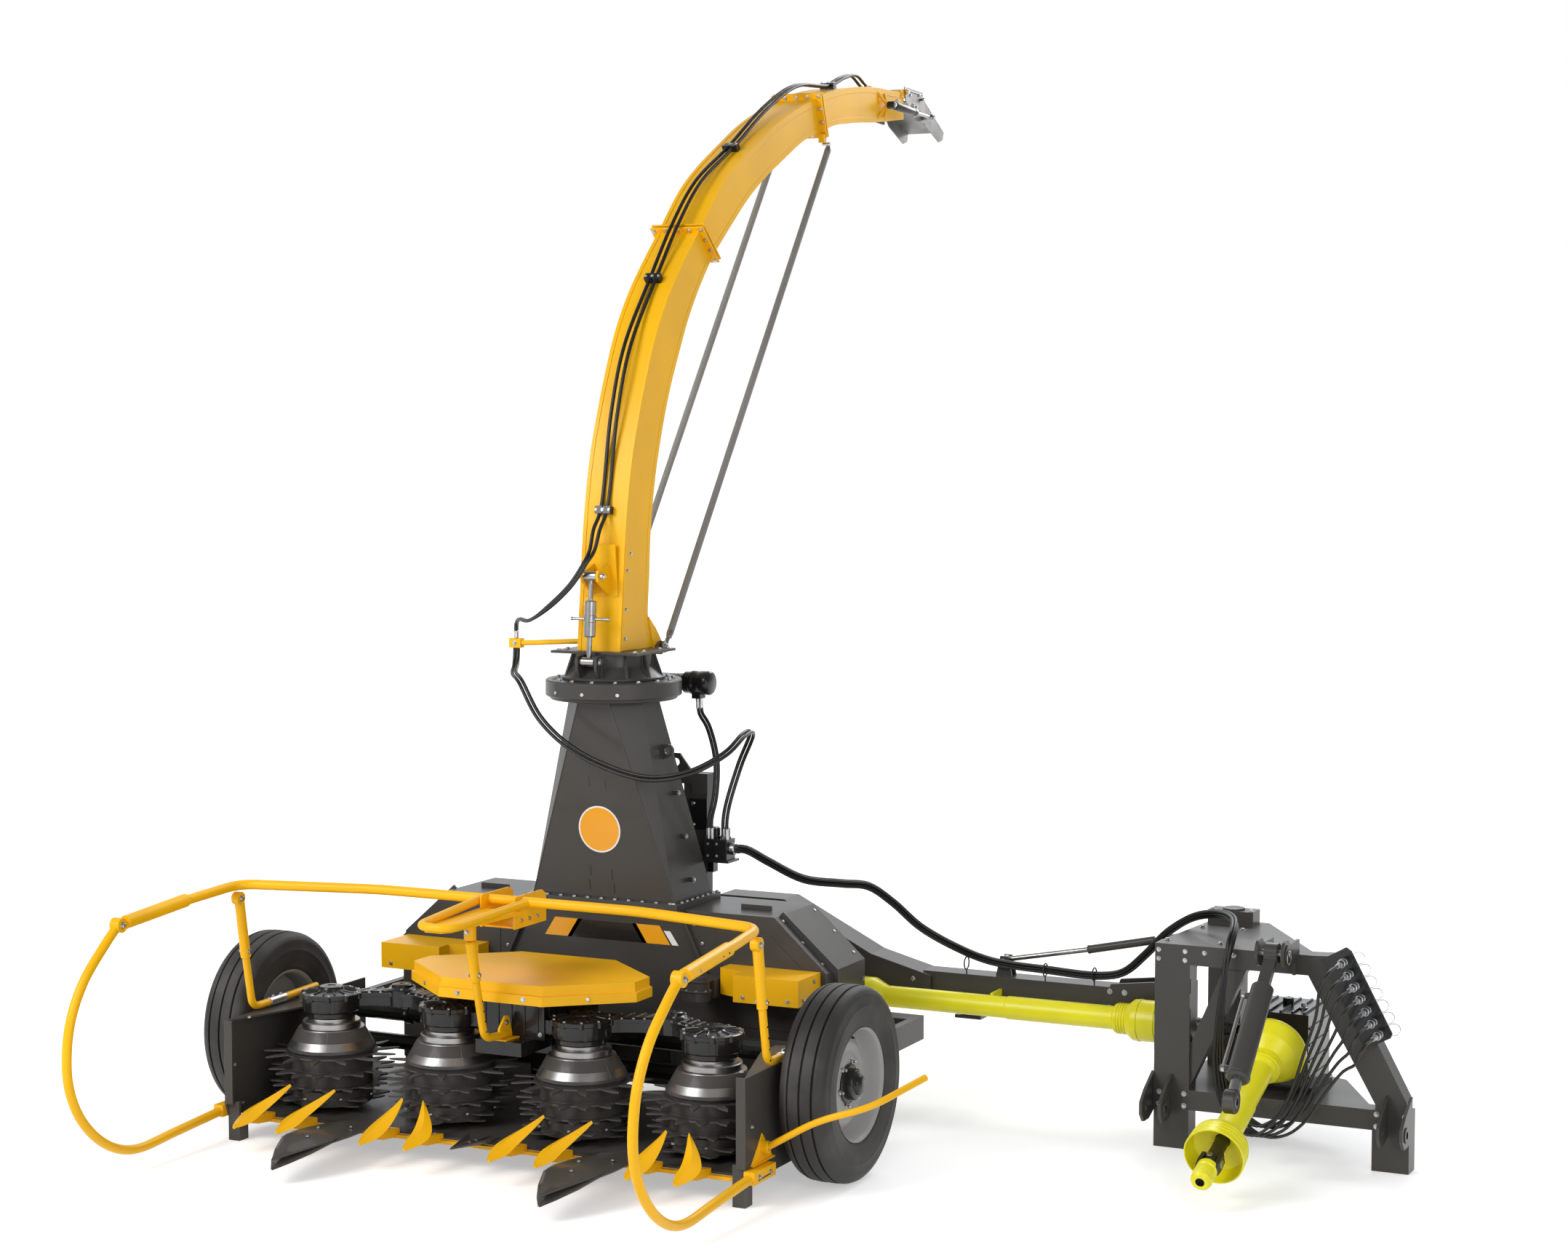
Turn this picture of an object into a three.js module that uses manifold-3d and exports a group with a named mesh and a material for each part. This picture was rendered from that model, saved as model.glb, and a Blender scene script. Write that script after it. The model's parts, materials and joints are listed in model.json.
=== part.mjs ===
// Trailed row-independent forage harvester with an offset drawbar and a three-point headstock.
// Millimetres. X runs across the machine towards the drawbar side, Y runs rearwards, Z is up.
// The origin lies on the ground under the middle of the header's front edge.
import * as THREE from "three";
import Module from "manifold-3d";
import { mergeVertices } from "three/addons/utils/BufferGeometryUtils.js";

const wasm = await Module();
wasm.setup();

// ---------------------------------------------------------------- driving dimensions
const GAP = 0.3; // clearance between pieces that bear on each other
const WIDTH = 2350; // over the middles of the two side panels
const PANEL_T = 8;
const PANEL_TOP = 492;
const PANEL_BOTTOM = 150;
const PANEL_LENGTH = 1000;
const ROTOR_INNER_X = 303;
const ROTOR_OUTER_X = 877;
const ROTOR_Y = 320;
const LONG_TOOTH_R = 280;
const SHORT_TOOTH_R = 258;
const KNIFE_R = 216;
const DRUM_R = 167;
const CASE_Z0 = 482;
const CASE_Z1 = 590;
const TYRE_OD = 760;
const TYRE_W = 195;
const RIM_R = 203;
const RIM_FLANGE_R = 220;
const WHEEL_X = WIDTH / 2 + 50 + TYRE_W / 2;
const AXLE_Y = 533;
const HOUSING_Y0 = 1062;
const HOUSING_Y1 = 1440;
const HOUSING_W = 2028;
const HOUSING_TOP = 894;
const TOWER_TOP = 1752;
const SLEW_Y = 1130;
const RING_R = 285;
const RING_Z0 = 1765;
const RING_Z1 = 1836;
const FLANGE_Z = 1958;
const CHUTE_W = 200;
const SHEET = 5;
const HEAD_Y = 1560; // front face of the three-point frame
const HEAD_X0 = 2235;
const HEAD_X1 = 3269;
const LEG_W = 146;
const HEAD_TOP = 826;
const SHAFT_Y = 1900;
const SHAFT_Z = 430;
const BEAM_Y0 = 2000;
const BEAM_Y1 = 2112;

// ---------------------------------------------------------------- finishes
const paint = (color, roughness, metalness) =>
  new THREE.MeshStandardMaterial({ color, roughness, metalness });
const YELLOW = paint("#f2b01e", 0.35, 0.0);
const LEMON = paint("#e9df2a", 0.4, 0.0);
const GRAPHITE = paint("#4a4644", 0.45, 0.2);
const BLACK = paint("#161616", 0.25, 0.2);
const STEEL = paint("#8d8b89", 0.35, 0.9);
const RIM_GREY = paint("#9a9896", 0.4, 0.3);
const RUBBER = paint("#3a3836", 0.9, 0.0);
const HOSE = paint("#1d1c1b", 0.6, 0.0);

// ---------------------------------------------------------------- solid helpers
function solid(geometry, matrix) {
  const g = geometry.clone();
  if (matrix) g.applyMatrix4(matrix);
  g.deleteAttribute("normal");
  g.deleteAttribute("uv");
  const merged = mergeVertices(g, 0.001);
  const p = merged.attributes.position.array;
  const index = merged.index.array;
  const tris = [];
  let volume = 0;
  for (let i = 0; i < index.length; i += 3) {
    const [a, b, c] = [index[i], index[i + 1], index[i + 2]];
    if (a === b || b === c || c === a) continue;
    tris.push(a, b, c);
    const u = new THREE.Vector3(p[3 * a], p[3 * a + 1], p[3 * a + 2]);
    const v = new THREE.Vector3(p[3 * b], p[3 * b + 1], p[3 * b + 2]);
    const w = new THREE.Vector3(p[3 * c], p[3 * c + 1], p[3 * c + 2]);
    volume += u.dot(v.cross(w));
  }
  if (volume < 0) tris.reverse();
  const mesh = new wasm.Mesh({
    numProp: 3,
    vertProperties: new Float32Array(p),
    triVerts: new Uint32Array(tris),
  });
  return new wasm.Manifold(mesh);
}

function union(...parts) {
  return parts.flat(Infinity).reduce((a, b) => a.add(b));
}

function toGeometry(m) {
  const mesh = m.getMesh();
  const g = new THREE.BufferGeometry();
  g.setAttribute("position", new THREE.BufferAttribute(new Float32Array(mesh.vertProperties), 3));
  g.setIndex(new THREE.BufferAttribute(new Uint32Array(mesh.triVerts), 1));
  g.computeVertexNormals();
  return g;
}

function mesh(name, m, material, parent, position = [0, 0, 0]) {
  const node = new THREE.Mesh(toGeometry(m), material);
  node.name = name;
  node.position.set(...position);
  parent.add(node);
  return node;
}

function box(x0, x1, y0, y1, z0, z1) {
  const g = new THREE.BoxGeometry(x1 - x0, y1 - y0, z1 - z0);
  return solid(g, new THREE.Matrix4().makeTranslation((x0 + x1) / 2, (y0 + y1) / 2, (z0 + z1) / 2));
}

// Box whose two X values may come in either order.
const span = (xa, xb, ...rest) => box(Math.min(xa, xb), Math.max(xa, xb), ...rest);

// Frame whose local Z runs from a to b.
function along(a, b) {
  const from = new THREE.Vector3(...a);
  const dir = new THREE.Vector3(...b).sub(from).normalize();
  const turn = new THREE.Quaternion().setFromUnitVectors(new THREE.Vector3(0, 0, 1), dir);
  return new THREE.Matrix4().compose(from, turn, new THREE.Vector3(1, 1, 1));
}

function distance(a, b) {
  return new THREE.Vector3(...a).distanceTo(new THREE.Vector3(...b));
}

// Round bar from a to b; r2 tapers it.
function bar(a, b, r, sides = 14, r2 = r) {
  const length = distance(a, b);
  const g = new THREE.CylinderGeometry(r2, r, length, sides);
  g.rotateX(Math.PI / 2);
  g.translate(0, 0, length / 2);
  return solid(g, along(a, b));
}

// Hole that turns freely on a many-sided pin of radius r: its flats clear the pin's corners.
function bore(a, b, r, sides) {
  return bar(a, b, (r + GAP) / Math.cos(Math.PI / sides), sides);
}

// Body of revolution about the line from a towards b; the profile is [radius, distance from a].
function turned(profile, a, b, sides = 24) {
  const points = profile.map(([r, h]) => new THREE.Vector2(r, h));
  const g = new THREE.LatheGeometry(points, sides);
  g.rotateX(Math.PI / 2);
  return solid(g, along(a, b));
}

function shapeOf(points) {
  return new THREE.Shape(points.map(([u, v]) => new THREE.Vector2(u, v)));
}

// Flat plates cut to an outline and given a thickness.
function plateXY(points, z0, z1) {
  const g = new THREE.ExtrudeGeometry(shapeOf(points), { depth: z1 - z0, bevelEnabled: false });
  g.translate(0, 0, z0);
  return solid(g);
}

function plateXZ(points, y0, y1) {
  const g = new THREE.ExtrudeGeometry(shapeOf(points), { depth: y1 - y0, bevelEnabled: false });
  g.rotateX(Math.PI / 2);
  g.translate(0, y1, 0);
  return solid(g);
}

function plateYZ(points, x0, x1) {
  const g = new THREE.ExtrudeGeometry(shapeOf(points), { depth: x1 - x0, bevelEnabled: false });
  const m = new THREE.Matrix4().makeBasis(
    new THREE.Vector3(0, 1, 0), new THREE.Vector3(0, 0, 1), new THREE.Vector3(1, 0, 0));
  g.applyMatrix4(m);
  g.translate(x0, 0, 0);
  return solid(g);
}

// Loft between two polygons with the same number of points.
function loft(lower, upper) {
  const n = lower.length;
  const flat = [];
  const tri = (a, b, c) => flat.push(...a, ...b, ...c);
  for (let i = 0; i < n; i++) {
    const j = (i + 1) % n;
    tri(lower[i], lower[j], upper[j]);
    tri(lower[i], upper[j], upper[i]);
  }
  for (let i = 1; i < n - 1; i++) {
    tri(lower[0], lower[i + 1], lower[i]);
    tri(upper[0], upper[i], upper[i + 1]);
  }
  const g = new THREE.BufferGeometry();
  g.setAttribute("position", new THREE.BufferAttribute(new Float32Array(flat), 3));
  return solid(g);
}

// A path whose rings sit at the given points, mitred at each.
class BentPath extends THREE.Curve {
  constructor(points) {
    super();
    this.points = points;
  }
  getPoint(t, target = new THREE.Vector3()) {
    const last = this.points.length - 1;
    const s = Math.min(Math.max(t, 0), 1) * last;
    const i = Math.min(Math.floor(s + 1e-9), last - 1);
    return target.copy(this.points[i]).lerp(this.points[i + 1], s - i);
  }
  getPointAt(u, target) {
    return this.getPoint(u, target);
  }
  getTangent(t, target = new THREE.Vector3()) {
    const last = this.points.length - 1;
    const i = Math.round(t * last);
    const a = this.points[Math.max(i - 1, 0)];
    const b = this.points[i];
    const c = this.points[Math.min(i + 1, last)];
    const into = b.clone().sub(a).normalize();
    const out = c.clone().sub(b).normalize();
    return target.copy(into.add(out).normalize());
  }
  getTangentAt(u, target) {
    return this.getTangent(u, target);
  }
}

// Rounds the corners of a run of straights.
function rounded(points, radius, steps = 3) {
  const v = points.map((p) => new THREE.Vector3(...p));
  const out = [v[0]];
  for (let i = 1; i < v.length - 1; i++) {
    const a = v[i - 1].clone().sub(v[i]);
    const b = v[i + 1].clone().sub(v[i]);
    const cut = Math.min(radius, a.length() * 0.45, b.length() * 0.45);
    const p = v[i].clone().addScaledVector(a.normalize(), cut);
    const q = v[i].clone().addScaledVector(b.normalize(), cut);
    for (let k = 0; k <= steps; k++) {
      const t = k / steps;
      const m = p.clone().multiplyScalar((1 - t) * (1 - t));
      m.addScaledVector(v[i], 2 * t * (1 - t)).addScaledVector(q, t * t);
      out.push(m);
    }
  }
  out.push(v[v.length - 1]);
  return out;
}

// Points spread evenly on a smooth curve through the given ones, its first and last steps straight out
// of their ends.
function smooth(points, count) {
  const v = points.map((p) => new THREE.Vector3(...p));
  const spread = new THREE.CatmullRomCurve3(v, false, "centripetal").getSpacedPoints(count);
  const square = (end, next, given) => {
    const reach = next.distanceTo(end);
    next.copy(given).sub(end).setLength(reach).add(end);
  };
  square(spread[0], spread[1], v[1]);
  square(spread[count], spread[count - 1], v[v.length - 2]);
  return spread;
}

function pipe(points, r, sides = 10) {
  const v = points.map((p) => (p.isVector3 ? p : new THREE.Vector3(...p)));
  const ring = [];
  for (let i = 0; i < sides; i++) {
    const a = (2 * Math.PI * (i + 0.5)) / sides;
    ring.push([r * Math.cos(a), r * Math.sin(a)]);
  }
  const g = new THREE.ExtrudeGeometry(shapeOf(ring), {
    steps: v.length - 1, bevelEnabled: false, extrudePath: new BentPath(v),
  });
  return solid(g);
}

// Star outline: teeth round a disc, each with a root pair and a tip that may lean.
function toothed(count, rRoot, rTip, width, lean) {
  const points = [];
  const pitch = (2 * Math.PI) / count;
  for (let i = 0; i < count; i++) {
    const a = i * pitch;
    const at = (r, f) => [r * Math.cos(a + f * pitch), r * Math.sin(a + f * pitch)];
    points.push(at(rRoot, -width), at(rTip, lean), at(rRoot, width));
  }
  return points;
}

// Saw outline: one root and one tip a tooth.
function zigzag(count, rRoot, rTip) {
  const points = [];
  for (let i = 0; i < 2 * count; i++) {
    const a = (Math.PI * i) / count;
    const r = i % 2 ? rTip : rRoot;
    points.push([r * Math.cos(a), r * Math.sin(a)]);
  }
  return points;
}

function ringOf(r, count, cx, cy, z, start = 0) {
  const points = [];
  for (let i = 0; i < count; i++) {
    const a = start + (2 * Math.PI * i) / count;
    points.push([cx + r * Math.cos(a), cy + r * Math.sin(a), z]);
  }
  return points;
}

const harvester = new THREE.Group();
const chassis = new THREE.Group();
harvester.add(chassis);
const HALF = WIDTH / 2;
const ROTOR_X = [-ROTOR_OUTER_X, -ROTOR_INNER_X, ROTOR_INNER_X, ROTOR_OUTER_X];

// ---------------------------------------------------------------- header floor and dividers
const FLOOR_Z0 = 104;
const FLOOR_Z1 = 112;
const PIVOT_TOP = 128;
const FLOOR_X = HALF - PANEL_T / 2 - GAP;

function dividerPlate(x, halfWidth, tipY, tipZ, rearY) {
  const t = 6;
  const low = [[x, tipY, tipZ], [x + halfWidth, tipY + 250, FLOOR_Z1 + 18],
    [x + halfWidth * 0.7, rearY, FLOOR_Z1],
    [x - halfWidth * 0.7, rearY, FLOOR_Z1], [x - halfWidth, tipY + 250, FLOOR_Z1 + 18]];
  const high = low.map(([px, py, pz]) => [px, py, pz + t]);
  const keel = plateYZ([[tipY + 60, tipZ + 4], [tipY + 300, FLOOR_Z1 + 10], [rearY, FLOOR_Z1 + 2],
    [rearY, FLOOR_Z0], [60, FLOOR_Z0]], x - 4, x + 4);
  return union(loft(low, high), keel);
}

const FLOOR_Y1 = HOUSING_Y0 - GAP;
const floorPlate = box(-FLOOR_X, FLOOR_X, 60, FLOOR_Y1, FLOOR_Z0, FLOOR_Z1);
const floorSills = [box(-FLOOR_X, FLOOR_X, 640, 700, 60, FLOOR_Z0 + 1),
  box(-FLOOR_X, FLOOR_X, 1000, FLOOR_Y1, 60, FLOOR_Z0 + 1),
  box(-1000, -330, FLOOR_Y1 - 12, FLOOR_Y1, FLOOR_Z1 - 1, 330),
    box(330, 1000, FLOOR_Y1 - 12, FLOOR_Y1, FLOOR_Z1 - 1, 330)];
const pivots = ROTOR_X.map((x) => bar([x, ROTOR_Y, FLOOR_Z1 - 1], [x, ROTOR_Y, PIVOT_TOP], 60, 12));
mesh("header_floor", union(floorPlate, floorSills, pivots,
  dividerPlate(-590, 110, -500, 100, 60.5), dividerPlate(590, 110, -500, 100, 60.5),
  dividerPlate(0, 70, -166, 132, 60.5)), GRAPHITE, chassis);

// Yellow crop points, two in front of each rotor, on one strip under the floor's front edge.
function cropPoint(x, side) {
  const tip = [x, -195, 128];
  const base = plateYZ([[-195, 122], [-185, 118], [56, 92], [56, 128], [-60, 168]], x - 26, x + 26);
  const cutL = plateXY([[x - 27, -200], [x - 1.5, -200], [x - 27, 30]], 80, 240);
  const cutR = plateXY([[x + 27, -200], [x + 1.5, -200], [x + 27, 30]], 80, 240);
  const horn = loft([[x - 20, -70, 150], [x + 20, -70, 150], [x + 22, -10, 150], [x - 22, -10, 150]],
    [[x + side * 52, 44, 222], [x + side * 62, 44, 222], [x + side * 60, 52, 230], [x + side * 54, 52, 230]]);
  return union(base.subtract(cutL).subtract(cutR), horn);
}
const POINT_OFFSETS = [[-ROTOR_OUTER_X, -113, 92], [-ROTOR_INNER_X, -91, 113],
  [ROTOR_INNER_X, -113, 91], [ROTOR_OUTER_X, -92, 113]];
const strips = box(-1120, 1120, 34, 59, 90, FLOOR_Z0 - GAP);
mesh("crop_points", union(strips, POINT_OFFSETS.map(([x, a, b]) => [cropPoint(x + a, 1),
  cropPoint(x + b, -1)])),
  YELLOW, chassis);

// ---------------------------------------------------------------- side panels
const TAIL_R = 16;
const TAIL_Z = 512;
function sidePanel(side) {
  const x0 = side > 0 ? HALF - PANEL_T / 2 : -HALF - PANEL_T / 2;
  const x1 = x0 + PANEL_T;
  const inner = side > 0 ? x0 : x1;
  const sheet = plateYZ([[0, PANEL_BOTTOM], [20, 98], [190, 92], [PANEL_LENGTH, 92],
    [PANEL_LENGTH, PANEL_TOP],
    [0, PANEL_TOP]], x0, x1);
  const hem = side > 0 ? box(x0 - 30, x0 + 1, 0, 8, PANEL_BOTTOM, PANEL_TOP) : box(x1 - 1, x1 + 30, 0,
    8, PANEL_BOTTOM, PANEL_TOP);
  const shelf = [[inner + side * 1, 8], [inner - side * 140, 430], [inner - side * 140, 560],
    [inner + side * 1, 620]];
  const top = plateXY(shelf, PANEL_TOP - 8, PANEL_TOP);
  const saddles = [[300, 340], [560, 600]].map(([a, b]) =>
    box(x0 + 1, x1 - 1, a, b, PANEL_TOP - 1, TAIL_Z + ((a - 330) * 8) / 310 - TAIL_R + 1));
  const sleeve = side > 0 ? box(x0 - 52, x0 + 1, 14, 74, 0, 88) : box(x1 - 1, x1 + 52, 14, 74, 0, 88);
  const leg = side > 0 ? box(x0 - 52, x0 + 1, 14, 29, 80, 160) : box(x1 - 1, x1 + 52, 14, 29, 80, 160);
  return union(sheet, hem, top, saddles, sleeve, leg);
}
mesh("side_panel_left", sidePanel(-1), GRAPHITE, chassis);
mesh("side_panel_right", sidePanel(1), GRAPHITE, chassis);


// ---------------------------------------------------------------- crop rotors
// Each rotor turns on a vertical shaft under its gear case.
function rotorSolid(turn) {
  const profile = [[0, PIVOT_TOP + GAP], [64, PIVOT_TOP + GAP], [64, 135], [DRUM_R, 135], [DRUM_R, 350],
    [178, 356],
    [133, 438], [112, 462], [112, CASE_Z0 - GAP], [0, CASE_Z0 - GAP]];
  const body = turned(profile, [0, 0, 0], [0, 0, 1], 12);
  const knives = plateXY(toothed(6, KNIFE_R - 34, KNIFE_R, 0.3, 0.3), 136, 142);
  const middle = plateXY(zigzag(10, DRUM_R + 46, SHORT_TOOTH_R), 252, 258);
  const top = plateXY(toothed(8, DRUM_R + 44, LONG_TOOTH_R, 0.3, 0.22), 330, 336);
  return union(body, knives, middle, top).rotate([0, 0, turn]);
}
const ROTOR_NAMES = ["rotor_outer_left", "rotor_inner_left", "rotor_inner_right", "rotor_outer_right"];
ROTOR_X.forEach((x, i) => mesh(ROTOR_NAMES[i], rotorSolid(7 * i), STEEL, chassis, [x, ROTOR_Y, 0]));

// ---------------------------------------------------------------- gear cases over the rotors
// One case on each rotor, joined in pairs by an arm that bows behind them.
const ARM_Z0 = 520;
const ARM_Z1 = 574;
const BOW = 150;
function gearCase(side) {
  const xa = side * ROTOR_INNER_X;
  const xb = side * ROTOR_OUTER_X;
  const outer = [];
  const inner = [];
  const steps = 6;
  for (let i = 0; i <= steps; i++) {
    const t = i / steps;
    const x = xa + (xb - xa) * t;
    const lift = BOW * Math.sin(Math.PI * t);
    outer.push([x, ROTOR_Y + lift + 62]);
    inner.push([x, ROTOR_Y + lift - 50]);
  }
  const arm = plateXY([...outer, ...inner.reverse()], ARM_Z0, ARM_Z1);
  const drums = [xa, xb].map((x) => turned([[0, CASE_Z0], [104, CASE_Z0], [104, 505], [118, 510],
    [118, CASE_Z1],
    [46, CASE_Z1], [46, CASE_Z1 + 14], [0, CASE_Z1 + 14]], [x, ROTOR_Y, 0], [x, ROTOR_Y, 1], 14));
  const flange = box(Math.min(side * (150 + GAP), side * 215), Math.max(side * (150 + GAP), side * 215),
    296, 344, 505, 560);
  const capX = (xa + xb) / 2 + side * 40;
  const cap = turned([[0, ARM_Z0], [58, ARM_Z0], [58, ARM_Z1 + 34], [0, ARM_Z1 + 34]],
    [capX, ROTOR_Y + BOW, 0], [capX, ROTOR_Y + BOW, 1], 14);
  return union(arm, drums, cap, flange);
}
mesh("gearcase_left", gearCase(-1), BLACK, chassis);
mesh("gearcase_right", gearCase(1), BLACK, chassis);

// Central gearbox, its bracket and the two dark shaft tubes that run to the side panels.
const TUBE_Y = 690;
const BACK_TUBE_Z = 440;
const centreBox = union(
  box(-150, 150, 290, 720, 480, 640),
  box(-120, 120, 400, 720, 400, 500),
  box(-104, 104, 190, 410, 428, 482),
  turned([[0, 640 - 1], [74, 640 - 1], [74, 652], [56, 660], [0, 660]], [0, 560, 0], [0, 560, 1], 20),
  bar([-FLOOR_X, TUBE_Y, BACK_TUBE_Z], [FLOOR_X, TUBE_Y, BACK_TUBE_Z], 44, 14),
  bar([-FLOOR_X, TUBE_Y - 10, BACK_TUBE_Z - 130], [FLOOR_X, TUBE_Y - 10, BACK_TUBE_Z - 130], 32, 10),
  box(-FLOOR_X + 40, -FLOOR_X + 100, 640, 720, FLOOR_Z1 + GAP, BACK_TUBE_Z),
  box(FLOOR_X - 100, FLOOR_X - 40, 640, 720, FLOOR_Z1 + GAP, BACK_TUBE_Z),
  box(-110, 110, 620, 718, FLOOR_Z1 + GAP, 410),
);
mesh("gearbox_center", centreBox, BLACK, chassis);

// Drive shield over the central gearbox: an eight-sided lid with a stepped skirt, open underneath.
function octagon(inset, zLow, zHigh) {
  const hx = 520 - inset;
  const y0 = 130 + inset;
  const y1 = 752 - inset;
  const c = (1 - Math.SQRT1_2) * inset * 1.4;
  const pts = [[-235 + c, y0], [235 - c, y0], [hx, 372 + c], [hx, 500 - c], [225 - c, y1], [-225 + c, y1],
    [-hx, 500 - c], [-hx, 372 + c]];
  return plateXY(pts, zLow, zHigh);
}
const SHIELD_TOP = 728;
const shield = union(octagon(10, SHIELD_TOP - 44, SHIELD_TOP), octagon(0, SHIELD_TOP - 78, SHIELD_TOP - 40))
  .subtract(octagon(13, SHIELD_TOP - 90, SHIELD_TOP - 4));
const shieldPosts = [[-90, 600], [90, 600], [-90, 450], [90, 450]]
  .map(([x, y]) => bar([x, y, 640 + GAP], [x, y, SHIELD_TOP - 3], 14, 10));
mesh("drive_shield", union(shield, shieldPosts), YELLOW, chassis);

// Yellow box guards between the rotors and the housing, hollow underneath and behind.
function boxGuard(side) {
  const outline = (d) => [[697 + d, 853 + d], [988 - d, 853 + d], [988 - d, HOUSING_Y0 - GAP],
    [578 + d, HOUSING_Y0 - GAP],
    [578 + d, 975 + d], [697 + d, 930 + d]].map(([x, y]) => [side * x, y]);
  const cavity = (d) => [[697 + d, 853 + d], [988 - d, 853 + d], [988 - d, HOUSING_Y0 - 12],
    [578 + d, HOUSING_Y0 - 12],
    [578 + d, 975 + d], [697 + d, 930 + d]].map(([x, y]) => [side * x, y]);
  return plateXY(outline(0), 578, 687).subtract(plateXY(cavity(4), 560, 683));
}
mesh("guard_left", boxGuard(-1), YELLOW, chassis);
mesh("guard_right", boxGuard(1), YELLOW, chassis);

// ---------------------------------------------------------------- stalk push bar
const BAR_R = 20;
const BAR_Z = 1032;
const END_X = WIDTH / 2 + 47;
const LOOP_Y = -600;
const LOOP_Z = 972;
const mainBar = pipe(rounded([[-END_X, LOOP_Y + 40, LOOP_Z + 5], [15 - END_X, -183, 1011],
  [44 - END_X, 118, BAR_Z], [-594, 240, BAR_Z + 2],
  [0, 252, BAR_Z], [594, 240, BAR_Z + 2], [END_X - 44, 118, BAR_Z], [END_X - 15, -183, 1011],
    [END_X, LOOP_Y + 40, LOOP_Z + 5]], 70, 1),
  BAR_R, 8);
const trayBar = pipe(rounded([[-104, 240, BAR_Z], [-74, -270, 1006], [74, -270, 1006],
  [104, 240, BAR_Z]], 90, 2), 17, 8);
const trayPan = plateXY([[-95, 215], [-62, -240], [-36, -275], [36, -275], [62, -240], [95, 215]], 985, 1002);
const trayBack = box(-78, 78, 205, 430, 930, 938);
const trayCheeks = [box(-80, -72, 190, 430, 930, 1060), box(72, 80, 190, 430, 930, 1060)];
const traySocket = bar([0, -10, 916], [0, -10, 992], 24, 12);
const sleeves = [-1, 1].map((s) => bar([s * (END_X - 13), -195, 1010.5],
  [s * (END_X - 0.5), LOOP_Y + 44, LOOP_Z + 6], 27, 8));
mesh("push_bar", union(mainBar, trayBar, trayPan, trayBack, trayCheeks, traySocket, sleeves), YELLOW,
  chassis);

// D-shaped loops swept forward from the bar's ends down to the sockets under the side panels.
const LOOP_RUN = [[LOOP_Y - 2, LOOP_Z], [-693, 900], [-809, 793], [-887, 667], [-919, 533], [-915, 417],
  [-871, 303],
  [-792, 206], [-698, 137], [-603, 98], [-505, 84], [-304, 98], [10, 120]];
function loopBar(side) {
  const run = LOOP_RUN.map(([y, z], i) => [side * (END_X - (22 * i) / (LOOP_RUN.length - 1)), y, z]);
  const tube = pipe(run.map((p) => new THREE.Vector3(...p)), 19, 8);
  const eye = bar([side * (END_X - 22), LOOP_Y + 4, LOOP_Z + 2],
    [side * (END_X + 22), LOOP_Y + 4, LOOP_Z + 2], 29, 12);
  const face = side * (HALF + PANEL_T / 2 + GAP);
  const far = side * (END_X + 2);
  const socket = box(Math.min(face, far), Math.max(face, far), -14, 168, 98, 146);
  return union(tube, eye, socket);
}
mesh("bar_loop_left", loopBar(-1), YELLOW, chassis);
mesh("bar_loop_right", loopBar(1), YELLOW, chassis);

// Props under the bar.
function sideProp(side) {
  const x = side * (END_X - 46);
  const strut = pipe(rounded([[x, 112, 962], [x, 152, 712], [x, 190, TAIL_Z], [x, 330, TAIL_Z],
    [x, 640, TAIL_Z + 8]],
    34, 2), TAIL_R, 8);
  const eye = bar([x - 17, 104, 976], [x + 17, 104, 976], 27, 12);
  const outerTube = bar([x, 113, 955], [x, 150, 726], 21, 10);
  return union(strut, eye, outerTube);
}
mesh("prop_left", sideProp(-1), YELLOW, chassis);
mesh("prop_right", sideProp(1), YELLOW, chassis);
const propLug = plateYZ([[196, 482 + GAP], [284, 482 + GAP], [284, 500], [262, 574], [236, 574],
  [196, 530]], -5, 5);
const centreProp = union(
  pipe(rounded([[0, -10, 912 - GAP], [0, 40, 700], [0, 88, 512], [0, 190, 504], [0, 240, 504]], 50, 2),
    16, 8),
  bar([0, -9, 908], [0, 28, 750], 21, 10), propLug);
mesh("prop_center", centreProp, YELLOW, chassis);

// ---------------------------------------------------------------- chopper housing
// A trapezoid sheet-metal case; its top carries the tower and its underside is open to the throat.
const HW = HOUSING_W / 2;
const HS = 779;
function housingOutline(d) {
  return [[-HW + d, 150 + d], [HW - d, 150 + d], [HW - d, 681 - d * 0.4],
    [HS - d * 0.4, HOUSING_TOP - d], [-HS + d * 0.4, HOUSING_TOP - d],
    [-HW + d, 681 - d * 0.4]];
}
const housingShell = plateXZ(housingOutline(0), HOUSING_Y0, HOUSING_Y1)
  .subtract(plateXZ(housingOutline(6), HOUSING_Y0 + 6, HOUSING_Y1 - 6));
const throatCut = box(-300, 300, HOUSING_Y0 - 20, HOUSING_Y0 + 20, 170, 430);
const towerCut = box(-300, 300, 1100, 1300, HOUSING_TOP - 40, HOUSING_TOP + 40);
const ribs = [-1, 1].map((s) => [
  plateXZ([[s * 470, 640], [s * 482, 640], [s * 362, HOUSING_TOP - 3], [s * 350, HOUSING_TOP - 3]],
    HOUSING_Y0 - 22, HOUSING_Y0 + 2),
  plateXZ([[s * (HW - 3), 575], [s * (HW + 26), 575], [s * (HW + 26), 690],
    [s * (HS + 12), HOUSING_TOP + 14], [s * (HS - 8), HOUSING_TOP - 4],
    [s * (HW - 3), 678]], HOUSING_Y0 + 60, HOUSING_Y0 + 66),
]);
const rearPack = box(-260, 330, HOUSING_Y1 - 2, 1760, 300, 640);
const housing = union(housingShell.subtract(throatCut).subtract(towerCut), ribs, rearPack)
  .subtract(box(-254, 324, HOUSING_Y1 - 12, 1754, 306, 634));
mesh("chopper_housing", housing, GRAPHITE, chassis);

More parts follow.
